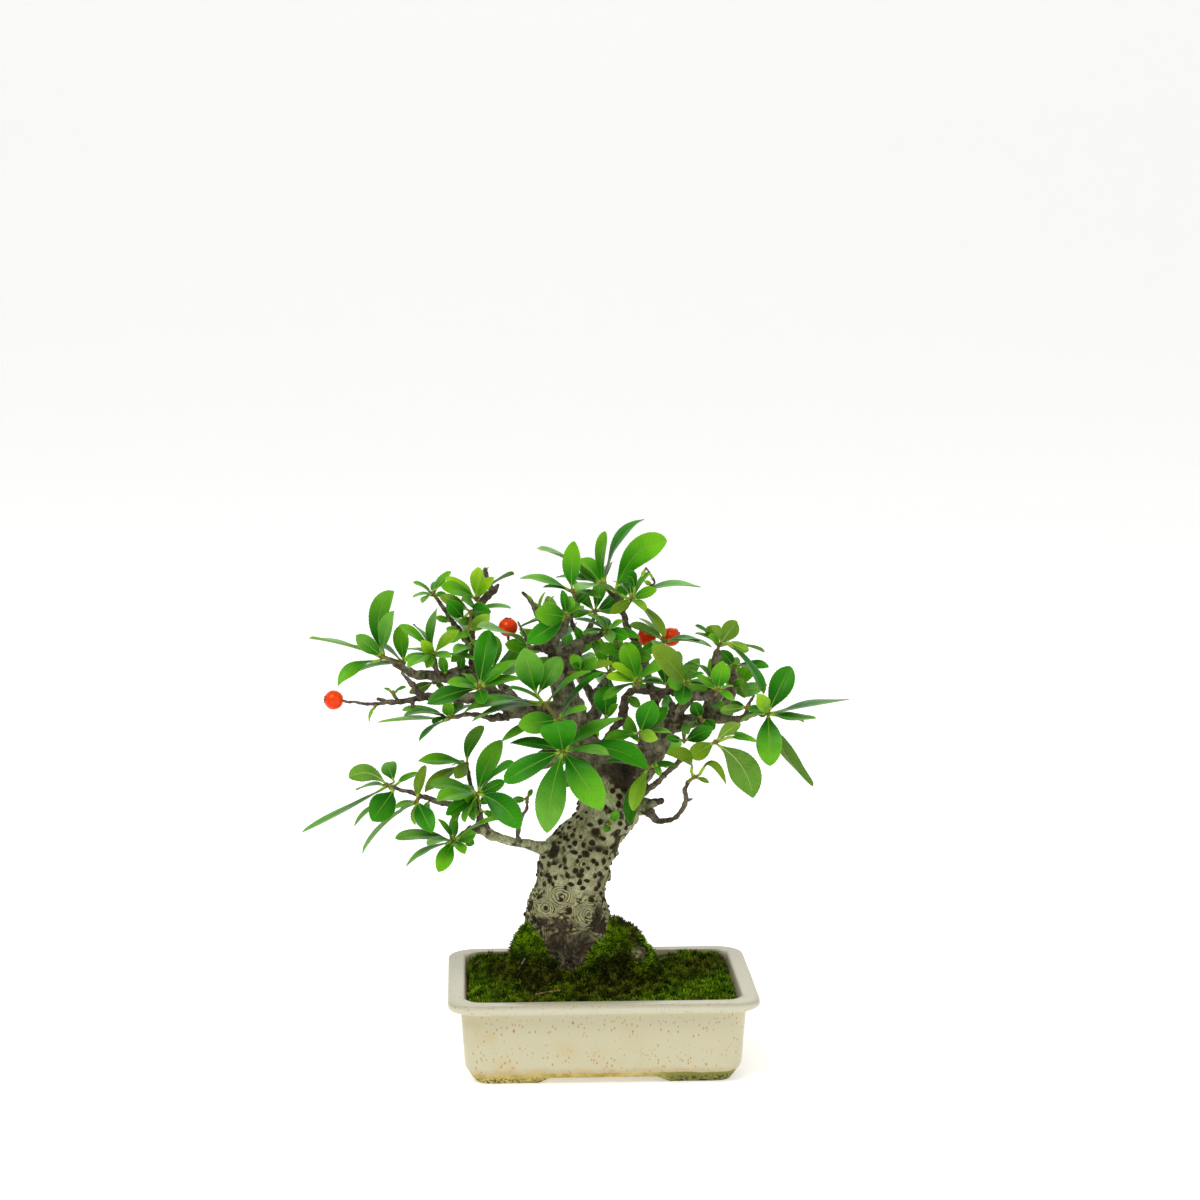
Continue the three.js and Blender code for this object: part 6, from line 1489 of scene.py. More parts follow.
# Small leaves that grow straight from the limbs inside the crown, by the nearest shoot
INNER_LEAVES = {
    "spray_left_inner": [
        ([446, 676, 10], [441, 655, 3, 10]), ([440, 676, 10], [418, 657, 2, 9]),
        ([460, 672, 8], [462, 654, -2, 9]), ([474, 668, 5], [457, 668, 5, 8]),
        ([472, 650, 3], [450, 614, -3, 9]),
    ],
    "spray_upper_left": [
        ([472, 646, 2], [455, 654, 4, 9]), ([471, 640, 1], [484, 650, 6, 9]),
        ([473, 660, 4], [488, 668, 6, 8]), ([473, 620, -6], [458, 622, 3, 9]),
        ([476, 608, -11], [461, 600, 3, 10]), ([452, 622, -13], [463, 610, 2, 9]),
    ],
    "spray_upper_left_tip": [([462, 634, -8], [446, 628, 2, 9]), ([452, 622, -13], [436, 617, 2, 7])],
    "spray_crown_front": [([556, 636, -1], [541, 630, 3, 9]), ([583, 641, -4], [575, 627, 4, 9])],
    "spray_crown_left": [([572, 605, -1], [588, 592, -3, 9])],
    "spray_low_inner": [
        ([480, 815, 12], [466, 808, 4, 9]), ([479, 806, 12], [462, 795, 6, 10]),
        ([478, 803, 13], [492, 797, 4, 9]), ([470, 803, 13], [474, 821, 2, 9]),
    ],
    "spray_low_middle": [
        ([446, 803, 15], [440, 790, -3, 8]), ([461, 806, 14], [452, 818, -2, 9]),
        ([430, 799, 15], [424, 812, -5, 8]),
    ],
    "spray_low_drop": [([464, 833, 16], [472, 846, -4, 9]), ([458, 838, 17], [446, 852, -6, 9])],
    "spray_right_front": [([655, 704, -19], [640, 712, 4, 12])],
    "spray_right_inner": [([627, 695, -16], [640, 707, 4, 10])],
    "spray_berries": [([638, 648, -22], [650, 628, 2, 9])],
    "spray_right_top": [([716, 668, -10], [730, 672, 3, 9]), ([732, 686, -18], [744, 680, 4, 9])],
    "spray_right_nook": [
        ([711, 704, -3], [725, 709, 6, 10]), ([698, 720, 0], [688, 734, 4, 9]),
        ([715, 719, 1], [704, 730, 5, 9]),
    ],
    "spray_crown_inner": [([592, 639, -4], [600, 652, 4, 10]), ([602, 634, -3], [614, 627, 4, 9])],
}
# Shoots seen in the photograph: the node, the shoot's place and a row for each leaf,
# which has its tip's across and down, how much nearer it comes in mm, and its width
# in pixels. Some rows go on with -1 where the lower face shows or 1 for the upper one,
# the across and down of the leaf's foot, and those of a place that it bends over
SEEN_SPRAYS = [
    ["spray_front_crown", [563, 751, 25], [
        [547, 833, 8, 30, 1, 563, 751, 552, 792], [603, 809, 10, 31], [504, 782, 6, 22], [557, 722, 16, 36],
        [510, 743, -4, 13], [648, 770, 4, 18, 1, 563, 751, 611, 749], [609, 755, 12, 10], [623, 718, -4, 14],
        [612, 804, -2, 9],
    ]],
    ["spray_front_left", [545, 704, 19], [
        [524, 648, 2, 28, 1, 536, 694], [560, 657, -8, 20, 1, 538, 694], [591, 671, 4, 7],
        [464, 712, 5, 9, 1, 536, 702, 500, 701], [472, 721, 3, 6], [509, 688, 12, 6],
    ]],
    ["spray_front_left", [558, 720, 19], [
        [602, 672, -2, 8], [518, 725, 10, 22], [501, 742, 2, 9], [587, 709, 12, 8],
    ]],
    ["spray_left_limb", [479, 688, 18], [
        [489, 630, -8, 23], [517, 660, 2, 12], [521, 679, 8, 9], [447, 683, 12, 12], [427, 704, 6, 16],
        [484, 704, 12, 14], [466, 675, -10, 9], [461, 673, -12, 6],
    ]],
    ["spray_left_under", [449, 718, 15], [
        [402, 710, 2, 8], [378, 722, 6, 6, 1, 449, 718, 414, 719], [419, 741, 6, 5], [405, 716, 12, 4],
        [447, 700, 8, 12], [463, 701, -8, 9], [477, 704, -4, 5], [433, 724, 12, 6],
    ]],
    ["spray_left_inner", [433, 655, 11], [
        [421, 640, 10, 12], [399, 625, 2, 9], [459, 630, -2, 10], [451, 657, 10, 9], [426, 668, 10, 10],
        [406, 649, -6, 4], [404, 661, 8, 8], [408, 668, 14, 11], [437, 608, -8, 8], [413, 624, -10, 4],
        [475, 660, -4, 4],
    ]],
    ["spray_left_hollow", [434, 682, 8], [[409, 693, -2, 11, -1], [444, 688, 2, 6]]],
    ["spray_left_end", [383, 657, 5], [
        [309, 638, 4, 5, 1, 383, 657, 346, 645], [356, 635, 2, 16], [394, 591, -6, 20, 1, 383, 657, 379, 617],
        [394, 611, 8, 12], [338, 686, 10, 12, 1, 379, 660, 355, 668],
    ]],
    ["spray_left_end", [404, 663, -3], [[352, 674, 2, 5], [366, 640, -6, 5], [399, 626, -4, 16]]],
    ["spray_left_shoot", [393, 693, 17], [[406, 687, 3, 4], [384, 688, -2, 3]]],
    ["spray_upper_left", [469, 631, 1], [
        [490, 615, 8, 14], [450, 643, 4, 7], [451, 662, 6, 12, 1, 472, 642], [461, 637, 12, 8],
    ]],
    ["spray_upper_left", [471, 612, -5], [
        [447, 600, 10, 16, 1, 464, 618], [440, 596, -4, 12], [511, 608, 6, 6], [491, 612, 12, 20],
    ]],
    ["spray_upper_left_top", [476, 599, -13], [
        [478, 567, -6, 15], [494, 577, 6, 11], [445, 578, 2, 9], [441, 586, 8, 14], [488, 567, -12, 9],
        [514, 574, -4, 4],
    ]],
    ["spray_upper_left_tip", [433, 594, -16], [
        [451, 571, -4, 8], [413, 582, 2, 5], [413, 597, 6, 4], [422, 603, 10, 5], [437, 581, -10, 7],
        [448, 596, 4, 6],
    ]],
    ["spray_upper_left_arch", [530, 648, 2], [[477, 627, 10, 5], [505, 644, 6, 14]]],
    ["spray_crown_left", [572, 591, 1], [
        [574, 541, 4, 18], [520, 578, 4, 8], [543, 587, 10, 6], [601, 598, 6, 7], [590, 584, -12, 5],
    ]],
    ["spray_crown_top", [603, 585, -14], [
        [581, 558, -8, 20], [556, 577, -2, 9], [605, 531, -6, 14], [644, 519, 0, 11, 1, 603, 585, 618, 543],
        [667, 541, 5, 27, 1, 614, 593, 637, 554], [612, 562, -14, 9], [537, 548, -2, 6],
    ]],
    ["spray_crown_right", [632, 599, -9], [
        [665, 637, 4, 10], [575, 590, 6, 6, 1, 626, 597, 600, 586], [628, 573, -14, 15], [614, 581, -10, 7],
        [657, 590, 8, 11], [701, 587, 2, 5, 1, 638, 593], [610, 613, 6, 11], [645, 611, 12, 9],
        [650, 572, -10, 8], [617, 584, 8, 14, 1, 634, 597, 631, 577],
    ]],
    ["spray_crown_front", [566, 617, 6], [
        [527, 643, 8, 20], [535, 612, 12, 22], [571, 596, -8, 12], [562, 590, -12, 9], [543, 603, -4, 10],
        [584, 608, 10, 4], [520, 627, 4, 4], [547, 629, 14, 7],
    ]],
    ["spray_crown_inner", [608, 631, 0], [
        [575, 619, 4, 5], [588, 615, 8, 4], [603, 616, -10, 8], [623, 621, 6, 6], [629, 637, 10, 14],
        [612, 643, 12, 12], [640, 638, 4, 9], [582, 634, 6, 6],
    ]],
    ["spray_crown_inner", [623, 652, -11], [[596, 646, 6, 13], [641, 643, 6, 12], [652, 658, 4, 14]]],
    ["spray_stem_top", [580, 672, 6], [
        [613, 663, 2, 9], [573, 654, -6, 12], [597, 657, 8, 13], [572, 664, 10, 8],
    ]],
    ["spray_stem_front", [606, 719, 6], [[605, 687, -4, 24], [618, 704, 6, 8]]],
    ["spray_right_inner", [638, 682, 9], [
        [625, 642, -4, 21], [612, 664, 4, 10], [606, 677, 8, 10], [603, 700, 6, 8], [669, 655, 4, 7],
        [661, 669, 10, 8], [666, 685, 4, 5], [663, 680, -6, 3],
    ]],
    ["spray_right_front", [640, 733, 15], [
        [653, 700, 4, 23], [667, 707, -6, 14], [604, 740, 6, 12], [658, 739, 12, 13], [672, 733, 2, 6],
    ]],
    ["spray_right_low", [648, 767, 8], [
        [633, 811, 6, 15], [629, 824, -1, 16], [606, 762, 3, 9], [660, 776, 4, 7, 1, 656, 763],
        [667, 768, -3, 4, 1, 663, 762], [678, 766, -6, 6],
    ]],
    ["spray_trunk_sprout", [610, 824, 9.5], [[618, 811, 0, 9], [604, 832, 4, 8]]],
    ["spray_berries", [664, 641, -12], [
        [630, 624, 4, 11, -1], [641, 653, 4, 12], [639, 618, -4, 3], [700, 640, 3, 6], [712, 647, -3, 3],
    ]],
    ["spray_right_broad", [685, 683, 9], [
        [652, 646, 8, 24], [652, 640, -6, 16], [667, 682, 12, 16], [681, 705, 8, 18], [704, 673, 3, 4],
        [713, 689, 4, 3],
    ]],
    ["spray_right_shelf", [718, 690, 13], [
        [723, 661, 2, 19], [697, 677, 4, 8], [733, 686, 3, 3], [733, 701, 8, 7],
        [686, 664, -4, 4, 1, 711, 684, 703, 668], [686, 670, -8, 3, 1, 711, 685],
    ]],
    ["spray_right_top", [719, 645, -12], [
        [711, 625, 6, 17, -1], [737, 621, 4, 18, -1], [695, 625, 3, 5], [695, 633, 6, 4], [708, 636, 10, 7],
        [764, 694, 10, 9, 1, 728, 643], [749, 651, 3, 10, -1, 728, 642], [764, 652, -6, 3],
    ]],
    ["spray_right_top_behind", [734, 666, -24], [[769, 667, 5, 9], [745, 698, 3, 14, -1], [721, 650, 4, 13]]],
    ["spray_right_end", [768, 713, 8], [
        [790, 666, -6, 24], [757, 694, 12, 14], [849, 699, 4, 9, 1, 768, 713, 808, 706],
        [816, 718, 6, 10, 1, 768, 713, 792, 718], [804, 722, -5, 7, -1], [770, 766, 12, 26],
        [813, 786, -5, 13, -1, 768, 713, 787, 755], [748, 710, 7, 8], [740, 722, -6, 4, -1],
    ]],
    ["spray_right_thorn", [748, 708, 11], [[720, 711, 3, 10, -1], [731, 703, -6, 8]]],
    ["spray_right_drop", [715, 742, 14], [
        [753, 798, 6, 31, -1, 718, 745, 742, 767], [757, 742, 4, 7, 1, 728, 737],
        [750, 738, -6, 5, 1, 726, 734], [740, 723, 8, 12, -1], [690, 757, -10, 18],
    ]],
    ["spray_right_under", [684, 741, 7], [[713, 728, 3, 16], [666, 737, 2, 8]]],
    ["spray_right_nook", [701, 719, 6], [[693, 702, 3, 14], [715, 729, 3, 12]]],
    ["spray_curl_end", [694, 777, 13], [
        [667, 754, 2, 11, 1, 692, 771, 688, 758], [726, 784, 3, 8, 1, 699, 774, 712, 764], [709, 783, 3, 5],
    ]],
    ["spray_low_inner", [478, 794, 14], [
        [502, 740, -6, 20, 1, 478, 794, 486, 767], [514, 762, 4, 8], [505, 781, 10, 12],
        [520, 829, 12, 26, 1, 478, 794, 502, 806], [446, 815, 8, 14], [428, 784, 0, 12], [437, 801, 12, 12],
        [499, 820, -2, 7, 1, 480, 810], [465, 822, 14, 5], [458, 786, -8, 6],
    ]],
    ["spray_low_top", [467, 764, -5], [
        [484, 726, -8, 14, 1, 467, 764, 471, 743], [418, 761, 3, 13], [455, 778, 10, 14], [453, 765, -10, 6],
        [425, 792, 8, 12],
    ]],
    ["spray_low_middle", [417, 801, 18], [
        [362, 853, 8, 5], [395, 808, 4, 6], [398, 814, -6, 5], [432, 833, 12, 20], [415, 825, 4, 6],
        [425, 765, -8, 12],
    ]],
    ["spray_low_end", [387, 785, 11], [
        [302, 832, 6, 7, 1, 387, 785, 344, 811], [349, 778, 3, 18, -1, 387, 785, 368, 773],
        [387, 762, -14, 17, 1, 394, 782], [356, 790, -8, 4], [372, 821, 14, 27, 1, 394, 790],
        [419, 773, -6, 7, 1, 395, 785], [354, 826, 9, 5, 1, 394, 796],
    ]],
    ["spray_low_drop", [453, 841, 19], [
        [395, 838, 4, 13], [406, 866, 8, 7], [438, 872, 10, 17], [465, 854, 12, 10], [476, 833, -6, 13],
        [460, 808, -6, 7], [498, 819, -8, 5], [452, 821, 12, 8], [438, 819, 2, 6], [427, 845, 14, 8],
    ]],
    ["spray_low_sprig", [527, 799, 8], [[512, 800, 3, 7], [532, 789, -3, 5]]],
]
# Shoots on the far side: the node, place, direction, number and length of leaves
REAR_SPRAYS = [
    ["spray_rear_top", [566, 661, -44], [-0.2, 0.95, 0.15], 7, 21],
    ["spray_rear_fork", [609, 673, -41], [0.25, 0.9, 0.3], 7, 21],
    ["spray_rear_right", [667, 689, -47], [0.3, 0.85, 0.4], 7, 22],
    ["spray_rear_right_low", [641, 745, -44], [0.2, 0.95, 0.1], 7, 21],
    ["spray_rear_low", [571, 758, -47], [-0.1, 0.97, 0.1], 6, 18],
    ["spray_rear_low_right", [603, 788, -46], [0.2, 0.95, 0.15], 6, 19],
    ["spray_rear_left", [493, 671, -32], [-0.2, 0.9, 0.35], 7, 21],
    ["spray_rear_far_right", [726, 690, -32], [0.3, 0.9, 0.3], 7, 20],
    ["spray_rear_leader", [595, 612, -36], [0.05, 0.8, 0.6], 7, 21],
    ["spray_rear_leader_left", [553, 632, -31], [-0.25, 0.85, 0.45], 7, 20],
]

leaf_green, leaf_tree, leaf_shader = new_material("firethorn_leaf", ink(60, 130, 24), 0.36)
leaf_at = object_coordinates(leaf_tree)
leaf_tone = wire(leaf_tree, "ShaderNodeAttribute", attribute_name="tone").outputs["Color"]
from_rib, from_edge, along_leaf, underside, stalk_share = (
    given_value(leaf_tree, name) for name in ("from_rib", "from_edge", "along", "under", "stalk"))
leaf_cloud = masked(cloud_mask, leaf_at, 240, 0.35, 0.7)
leaf_grain = masked(cloud_mask, leaf_at, 1300, 0.3, 0.7)
deeper = wire(leaf_tree, "ShaderNodeHueSaturation", {"Value": 0.74, "Color": leaf_tone}).outputs[0]
paler = wire(leaf_tree, "ShaderNodeHueSaturation",
             {"Value": 1.32, "Saturation": 0.9, "Color": leaf_tone}).outputs[0]
vein_turns = times(plus(along_leaf, times(from_rib, -0.034)), 82.0)
leaf_vein = ramped(worked("SINE", vein_turns), 0.72, 1.0)
rib = times(ramped(from_rib, spread(along_leaf, 0.4, 0.1), 0.04), ramped(along_leaf, 1.0, 0.72))
below = layered(blended(leaf_cloud, ink(122, 154, 64), ink(98, 132, 46)), [(leaf_vein, 0.35, (146, 174, 88))])
below = layered(blended(0.4, below, leaf_tone), [(rib, 0.85, (176, 198, 112))])
stalk_colour = blended(ramped(stalk_share, 0.5, 1.0), ink(156, 190, 60), ink(122, 116, 52))
feed(leaf_shader, "Base Color", layered(leaf_tone, [
    (leaf_cloud, 0.7, deeper),
    (leaf_grain, 0.25, deeper),
    (leaf_vein, 0.17, paler),
    (rib, 0.55, (150, 188, 60)),
    (ramped(from_edge, 0.24, 0.06), 0.5, (160, 178, 84)),
    (underside, 1.0, below),
    (ramped(stalk_share, 0.1, 0.5), 1.0, stalk_colour),
]))
leaf_shader.inputs["Specular IOR Level"].default_value = 0.24
leaf_shader.inputs["Specular Tint"].default_value = (0.7, 0.95, 0.5, 1.0)
feed(leaf_shader, "Roughness", spread(plus(underside, times(leaf_cloud, 0.25)), 0.34, 0.62))
leaf_height = plus(times(rib, spread(underside, -1.0, 1.0)), times(leaf_grain, 0.18))
bumped(leaf_shader, plus(times(leaf_vein, -0.3), leaf_height), 0.5, 0.00025)


def outline_share(outline, t):
    return np.interp(t, [stop[0] for stop in outline], [stop[1] for stop in outline])


def leaf_spine(leaf, t):
    t = np.asarray(t, dtype=float)[:, None]
    foot, control, tip = leaf["spine"]
    place = foot * (1 - t) ** 2 + control * 2 * t * (1 - t) + tip * t ** 2
    ahead = (control - foot) * 2 * (1 - t) + (tip - control) * 2 * t
    return place, ahead / np.linalg.norm(ahead, axis=1)[:, None]


def leaf_between(core, foot, tip, width, across, upper, via):
    middle = (foot + tip) / 2
    passes = middle + upper * BLADE_BOW * np.linalg.norm(foot - tip) if via is None else via
    return {"core": core, "width": width, "across": across, "spine": (foot, passes * 2 - middle, tip)}


def seen_leaf(core, row, shift):
    """A leaf as wide as it is seen, turned up as far as that allows."""
    tip_across, tip_down, out, width = row[:4]
    face = row[4] if len(row) > 4 else 1
    near = core[2]
    reach = out + shift
    core_place = place_at(*core)
    foot = place_at(row[5], row[6], near + reach * 0.15) if len(row) > 6 else core_place
    tip = place_at(tip_across, tip_down, near + reach)
    length = np.linalg.norm(tip - foot)
    along = (tip - foot) / length
    seen_width = width / PIXELS_PER_MM
    true_width = max(seen_width, min(BLADE_RATIO * length, BLADE_WIDEST))
    to_viewer = unit(viewpoint - foot)
    towards = unit(to_viewer - along * to_viewer.dot(along))
    level = np.cross(along, towards)
    roll = math.acos(min(max((seen_width / true_width - 0.12) / 0.88, 0), 1))
    options = []
    for angle in (roll, -roll):
        across = level * math.cos(angle) + towards * math.sin(angle)
        upper = towards * math.cos(angle) - level * math.sin(angle)
        options.append((across * -face, upper * face))
    across, upper = options[0] if options[0][1][2] >= options[1][1][2] else options[1]
    via = place_at(row[7], row[8], near + reach * 0.55) if len(row) > 8 else None
    return leaf_between(core_place, foot, tip, true_width, across, upper, via)


def whorl_leaf(core, axis, order, count, length, turn):
    """A leaf of a shoot on the far side, set round it by the golden angle."""
    core_place = place_at(*core)
    pole = unit(np.array(axis, dtype=float))
    level = unit(np.cross([0.0, 0.0, 1.0], pole))
    rise = np.cross(pole, level)
    angle = math.radians(order * 137.5) + turn
    spread = math.radians(28 + 58 * (1 - order / count))
    outward = level * math.cos(angle) + rise * math.sin(angle)
    along = pole * math.cos(spread) + outward * math.sin(spread)
    reach = length * (0.72 + 0.28 * ((order * 5) % count) / count)
    across = -np.cross(pole, outward)
    upper = unit(np.cross(along, across))
    tip = core_place + along * reach
    return leaf_between(core_place, core_place, tip, reach * BLADE_RATIO, across, upper, None)


SWINGS = [0] + [sign * k for k in range(1, 9) for sign in (1, -1)]
TEST_STATIONS = np.array([0.12, 0.22, 0.32, 0.43, 0.54, 0.65, 0.76, 0.87, 0.98])
taken_places = []
taken_rooms = []
taken_owners = []
taken_reaches = []


def take(places, room, owner, reach=1e9):
    places = np.atleast_2d(places)
    taken_places.append(places)
    taken_rooms.append(np.full(len(places), 1.0) * room)
    taken_owners.append(np.full(len(places), owner))
    taken_reaches.append(np.full(len(places), 1.0) * reach)


def take_route(rows):
    stops = stops_of(rows)
    for here, there in zip(stops, stops[1:]):
        steps = math.ceil(np.linalg.norm((there - here)[:3]) / 1.5)
        line = here + (there - here) * (np.arange(steps) / steps)[:, None]
        take(line[:, :3], line[:, 3] + 0.85, 0)


def clear_leaf(leaf_at_swing, owner):
    """The first swing of a leaf that stands clear of everything, or the clearest."""
    places = np.concatenate(taken_places)
    rooms, owners, reaches = (np.concatenate(each) for each in (taken_rooms, taken_owners, taken_reaches))
    best = None
    for swing in SWINGS:
        leaf = leaf_at_swing(swing)
        spine, ahead = leaf_spine(leaf, TEST_STATIONS)
        up = np.cross(ahead, leaf["across"])
        up /= np.linalg.norm(up, axis=1)[:, None]
        half = outline_share(PLAIN_OUTLINE, TEST_STATIONS) * leaf["width"] / 2
        points = np.concatenate([
            spine + (side * half)[:, None] * leaf["across"] + (abs(side) * half * BLADE_FOLD)[:, None] * up
            for side in (-1, -0.5, 0, 0.5, 1)])
        from_core = np.linalg.norm(points - leaf["core"], axis=1)
        close = np.all((places > points.min(0) - 20) & (places < points.max(0) + 20), axis=1)
        near_places, room, whose, reach = places[close], rooms[close], owners[close], reaches[close]
        distance = np.linalg.norm(points[:, None] - near_places[None], axis=2)
        own = whose == owner
        room = np.where(own, 1.2, room)[None]
        skipped = own[None] & ((from_core[:, None] < 9) | (reach[None] < 9))
        skipped |= (whose == 0)[None] & (from_core[:, None] < 3.4)
        gap = np.where(skipped | (distance >= room + 1), np.inf, distance - room)
        clearance = gap.min() if gap.size else np.inf
        if best is None or clearance > best[0]:
            best = (clearance, leaf, points, from_core)
        if clearance >= 0:
            break
    take(best[2], 2.1, owner, best[3])
    return best[1]


def tone_of(tip_across, tip_down, chance):
    for tone, tips in TONED_TIPS.items():
        if (tip_across, tip_down) in tips:
            return LEAF_TONES[tone]
    return LEAF_TONES[("mid", "mid", "bright", "blue", "dark")[int(chance * 5) % 5]]


def padded(values, fill):
    """Values with the fill put before them, once for each row of a leaf's stalk."""
    return np.concatenate([np.repeat(fill, STALK_ROWS, axis=0), values])


def leaf_shape(leaf, tone, rng, shield=False):
    """Points, faces and the values a leaf's colour is worked out from."""
    spine_length = np.linalg.norm(np.diff(leaf_spine(leaf, np.linspace(0, 1, 12))[0], axis=0), axis=1).sum()
    stalked = np.linalg.norm(leaf["spine"][0] - leaf["core"]) > 1
    row_count = max(int(spine_length / LEAF_ROW_STEP), 12)
    t = np.linspace(0, 1, row_count)
    place, ahead = leaf_spine(leaf, t)
    up = np.cross(ahead, leaf["across"])
    up /= np.linalg.norm(up, axis=1)[:, None]
    sideways = np.cross(up, ahead)
    roundness = rng.uniform(0, 1)
    half = outline_share(LEAF_OUTLINE, t) * (1 - roundness) + outline_share(ROUND_OUTLINE, t) * roundness
    if shield:
        half = outline_share(SHIELD_OUTLINE, t)
    half = half * leaf["width"] / 2
    blade = smooth_share(t, 0.12, 0.3) * smooth_share(1 - t, 0.0, 0.05)
    half = half + blade * TOOTH_DEPTH * np.where(np.arange(row_count) % 2 == 0, 0.5, -0.5)
    half = np.maximum(half, np.where(t < 0.2, 0.42, 0.05))
    phase = rng.uniform(0, 6.28, 3)
    wave = np.sin(t * rng.uniform(5, 9) + phase[0]) * 0.06 * leaf["width"] * blade
    lean = np.sin(t * rng.uniform(2, 4) + phase[1]) * 0.1 * blade
    if stalked:
        shares = np.linspace(0, 1, STALK_ROWS + 1)[:-1, None]
        stalk_line = leaf["core"] * (1 - shares) + place[0] * shares
        place = np.concatenate([stalk_line, place])
        up, sideways, ahead = (padded(each, each[:1]) for each in (up, sideways, ahead))
        half = padded(half, np.array([0.42]))
        wave, lean, blade, t = (padded(each, np.array([0.0])) for each in (wave, lean, blade, t))
    stalk = 1 - smooth_share(half, 0.45, 1.3)
    stalk[t > 0.5] = 0
    from_core = np.linalg.norm(place - leaf["core"], axis=1)
    rings = []
    values = []
    lower_columns = LEAF_COLUMNS[-2:0:-1]
    for k in range(len(place)):
        thickness = LEAF_THICKNESS + 0.45 * stalk[k]
        for column, u in enumerate(LEAF_COLUMNS + lower_columns):
            swell = half[k] * (0.44 * abs(u) - 0.24 * u * u) * (0.35 + 0.65 * blade[k])
            bend = wave[k] * abs(u) ** 1.5 * (1 if u > 0 else -0.7) + lean[k] * u * half[k]
            rise = stalk[k] * 0.35 * (1 - u * u)
            if column >= len(LEAF_COLUMNS):
                ridge = 0.22 * math.exp(-(u / 0.15) ** 2) * (1 - t[k])
                rise = -(thickness * (1 - 0.45 * abs(u)) + ridge)
            rings.append(place[k] + sideways[k] * u * half[k] + up[k] * (swell + bend + rise))
            values.append((abs(u) * half[k], (1 - abs(u)) * half[k], t[k], stalk[k], from_core[k]))
    count = len(LEAF_COLUMNS) + len(lower_columns)
    faces = ring_faces(len(place), count)
    under = [0.0] * len(faces)
    for ring in range(len(place) - 1):
        for column in range(len(LEAF_COLUMNS) - 1, count):
            under[ring * count + column] = 1.0
    values = np.array(values)
    # The leaf grows paler from its foot to its tip: painted sheen
    base, tip = (np.array(ink(*colour)[:3]) for colour in tone)
    share = smooth_share(values[:, 2], 0.15, 0.95)[:, None]
    shade = np.clip(rng.normal(0.98, 0.12), 0.74, 1.2)
    colours = np.column_stack([(base * (1 - share) + tip * share) * shade, np.ones(len(values))])
    return np.array(rings), faces, values, np.array(under), colours


def bud_shape(core, radius):
    """A small pointed bud of scales where the leaves of a shoot meet."""
    angles = np.arange(8) * math.pi / 4
    points = []
    for k, share in enumerate(BUD_WIDTHS):
        height = (k / (len(BUD_WIDTHS) - 1) - 0.5) * 2 * radius
        width = share * radius * 0.8
        ring = np.column_stack([np.cos(angles) * width, np.sin(angles) * width, np.full(8, height)])
        points.append(core + ring)
    return np.concatenate(points), ring_faces(len(BUD_WIDTHS), 8)


def stub_shape(core, seat, thickness):
    """A short shoot from the wood to the bud, ringed where old leaves have been."""
    rows = np.linspace(0, 1, 9)
    centre = seat + (core - seat) * rows[:, None]
    radius = thickness * (1.15 - 0.35 * rows) * (1 + 0.12 * np.sin(rows * 20))
    return tube_shape(np.column_stack([centre, radius]), 8)


for rows in [TRUNK, *ROOTS.values(), *BRANCHES.values()]:
    take_route(rows)
for _, middle, _ in BERRIES:
    take(place_at(*middle), BERRY_DIAMETER / 2 + 1, 1)
owner_numbers = {}
for name, core, *_ in SEEN_SPRAYS + REAR_SPRAYS:
    owner_numbers.setdefault(name, len(owner_numbers) + 2)
    take(place_at(*core), 3, owner_numbers[name])


def grow_seen(shoot, rows, showing):
    """Gives a shoot those of its leaves that show widely, or the narrow ones."""
    for row in rows:
        if (row[3] >= SHOWING_WIDTH) == showing:
            leaf = clear_leaf(lambda swing: seen_leaf(shoot["seat"], row, swing * 2),
                              owner_numbers[shoot["name"]])
            shoot["leaves"].append((leaf, (row[0], row[1])))


def new_shoot(name, core):
    return {"name": name, "seat": core, "core": place_at(*core), "leaves": []}


shoots = []
for name, core, rows in SEEN_SPRAYS:
    shoots.append(new_shoot(name, core))
    grow_seen(shoots[-1], rows, True)
for name, core, axis, count, length in REAR_SPRAYS:
    shoots.append(new_shoot(name, core))
    for order in range(count):
        leaf = clear_leaf(lambda swing: whorl_leaf(core, axis, order, count, length, math.radians(swing * 7)),
                          owner_numbers[name])
        shoots[-1]["leaves"].append((leaf, (0, order)))
for shoot, (_, _, rows) in zip(shoots, SEEN_SPRAYS):
    grow_seen(shoot, rows, False)

seat_lines = []
for rows in [TRUNK, *BRANCHES.values()]:
    stops = stops_of(rows)
    for here, there in zip(stops, stops[1:]):
        line = here + (there - here) * np.linspace(0, 1, 24)[:, None]
        seat_lines.append(line)
seat_lines = np.concatenate(seat_lines)

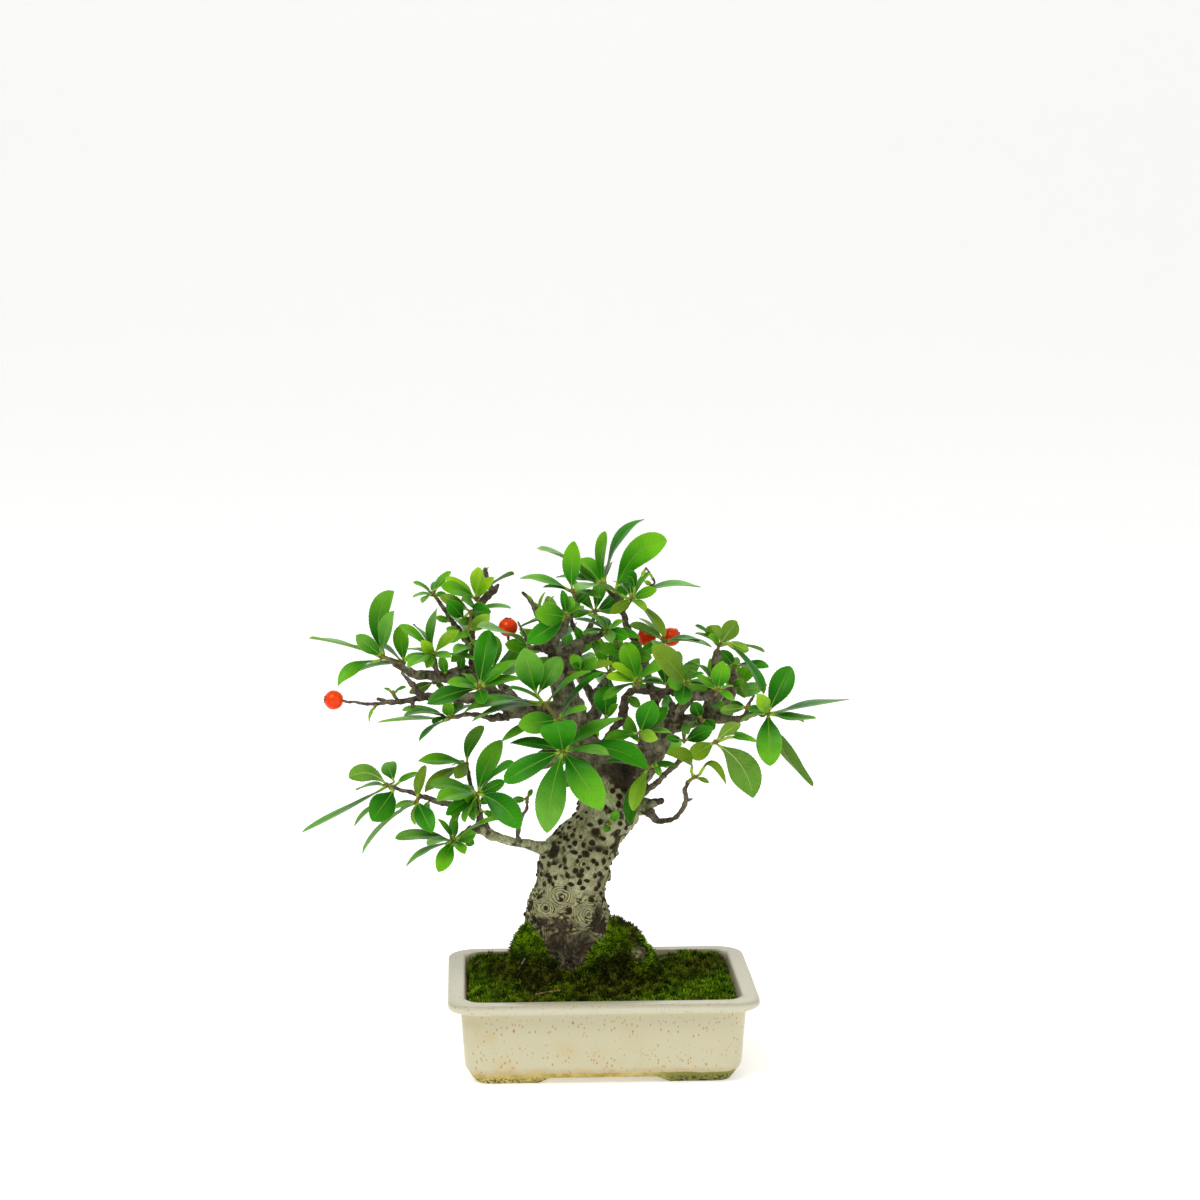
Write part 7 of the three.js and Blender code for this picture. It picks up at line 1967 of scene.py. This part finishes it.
leaf_rng = np.random.default_rng(2024)
spray_parts = {}
for shoot in shoots:
    parts = spray_parts.setdefault(shoot["name"], {"cores": [], "shapes": []})
    gap = np.linalg.norm(seat_lines[:, :3] - shoot["core"], axis=1) - seat_lines[:, 3]
    seat = parts["cores"][-1] if parts["cores"] else seat_lines[np.argmin(gap), :3]
    parts["cores"].append(shoot["core"])
    for points, faces in (stub_shape(shoot["core"], seat, 0.72), bud_shape(shoot["core"], 1.1)):
        values = np.tile([5, 5, 0, 1, 0], (len(points), 1))
        colours = np.full((len(points), 4), 0.2)
        parts["shapes"].append((points, faces, values, np.zeros(len(faces)), colours))
    for leaf, tip in shoot["leaves"]:
        tone = tone_of(*tip, leaf_rng.random())
        parts["shapes"].append(leaf_shape(leaf, tone, leaf_rng, tip == SHIELD_TIP))

young_shapes = []
for core, row in YOUNG_LEAVES:
    young_shapes.append(leaf_shape(seen_leaf(core, row, 0), LEAF_TONES["yellow"], leaf_rng))
for name, rows in INNER_LEAVES.items():
    for core, row in rows:
        leaf = clear_leaf(lambda swing: seen_leaf(core, row, swing * 2), owner_numbers[name])
        spray_parts[name]["shapes"].append(leaf_shape(leaf, tone_of(0, 0, leaf_rng.random()), leaf_rng))
spray_parts["spray_crown_front"]["shapes"] += young_shapes[:3]
spray_parts["spray_left_shoot"]["shapes"] += young_shapes[3:4]
spray_parts["spray_crown_right"]["shapes"] += young_shapes[4:]

for name, parts in spray_parts.items():
    points, faces = joined_shapes([shape[:2] for shape in parts["shapes"]])
    values, under, tones = (np.concatenate([shape[k] for shape in parts["shapes"]]) for k in (2, 3, 4))
    leaves = make_piece(name.replace("spray", "leaves"), points, faces, leaf_green)
    for column, value in enumerate(("from_rib", "from_edge", "along")):
        add_attribute(leaves.data, value, values[:, column])
    stalk = values[:, 3] * np.where(values[:, 4] < 1.5, 1.0, 0.55)
    add_attribute(leaves.data, "stalk", np.maximum(stalk, 0))
    add_attribute(leaves.data, "tone", tones, "FLOAT_COLOR")
    add_attribute(leaves.data, "under", under, domain="FACE")
    leaves.data.set_sharp_from_angle(angle=math.radians(55))
    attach(leaves, "root")
    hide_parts(name)
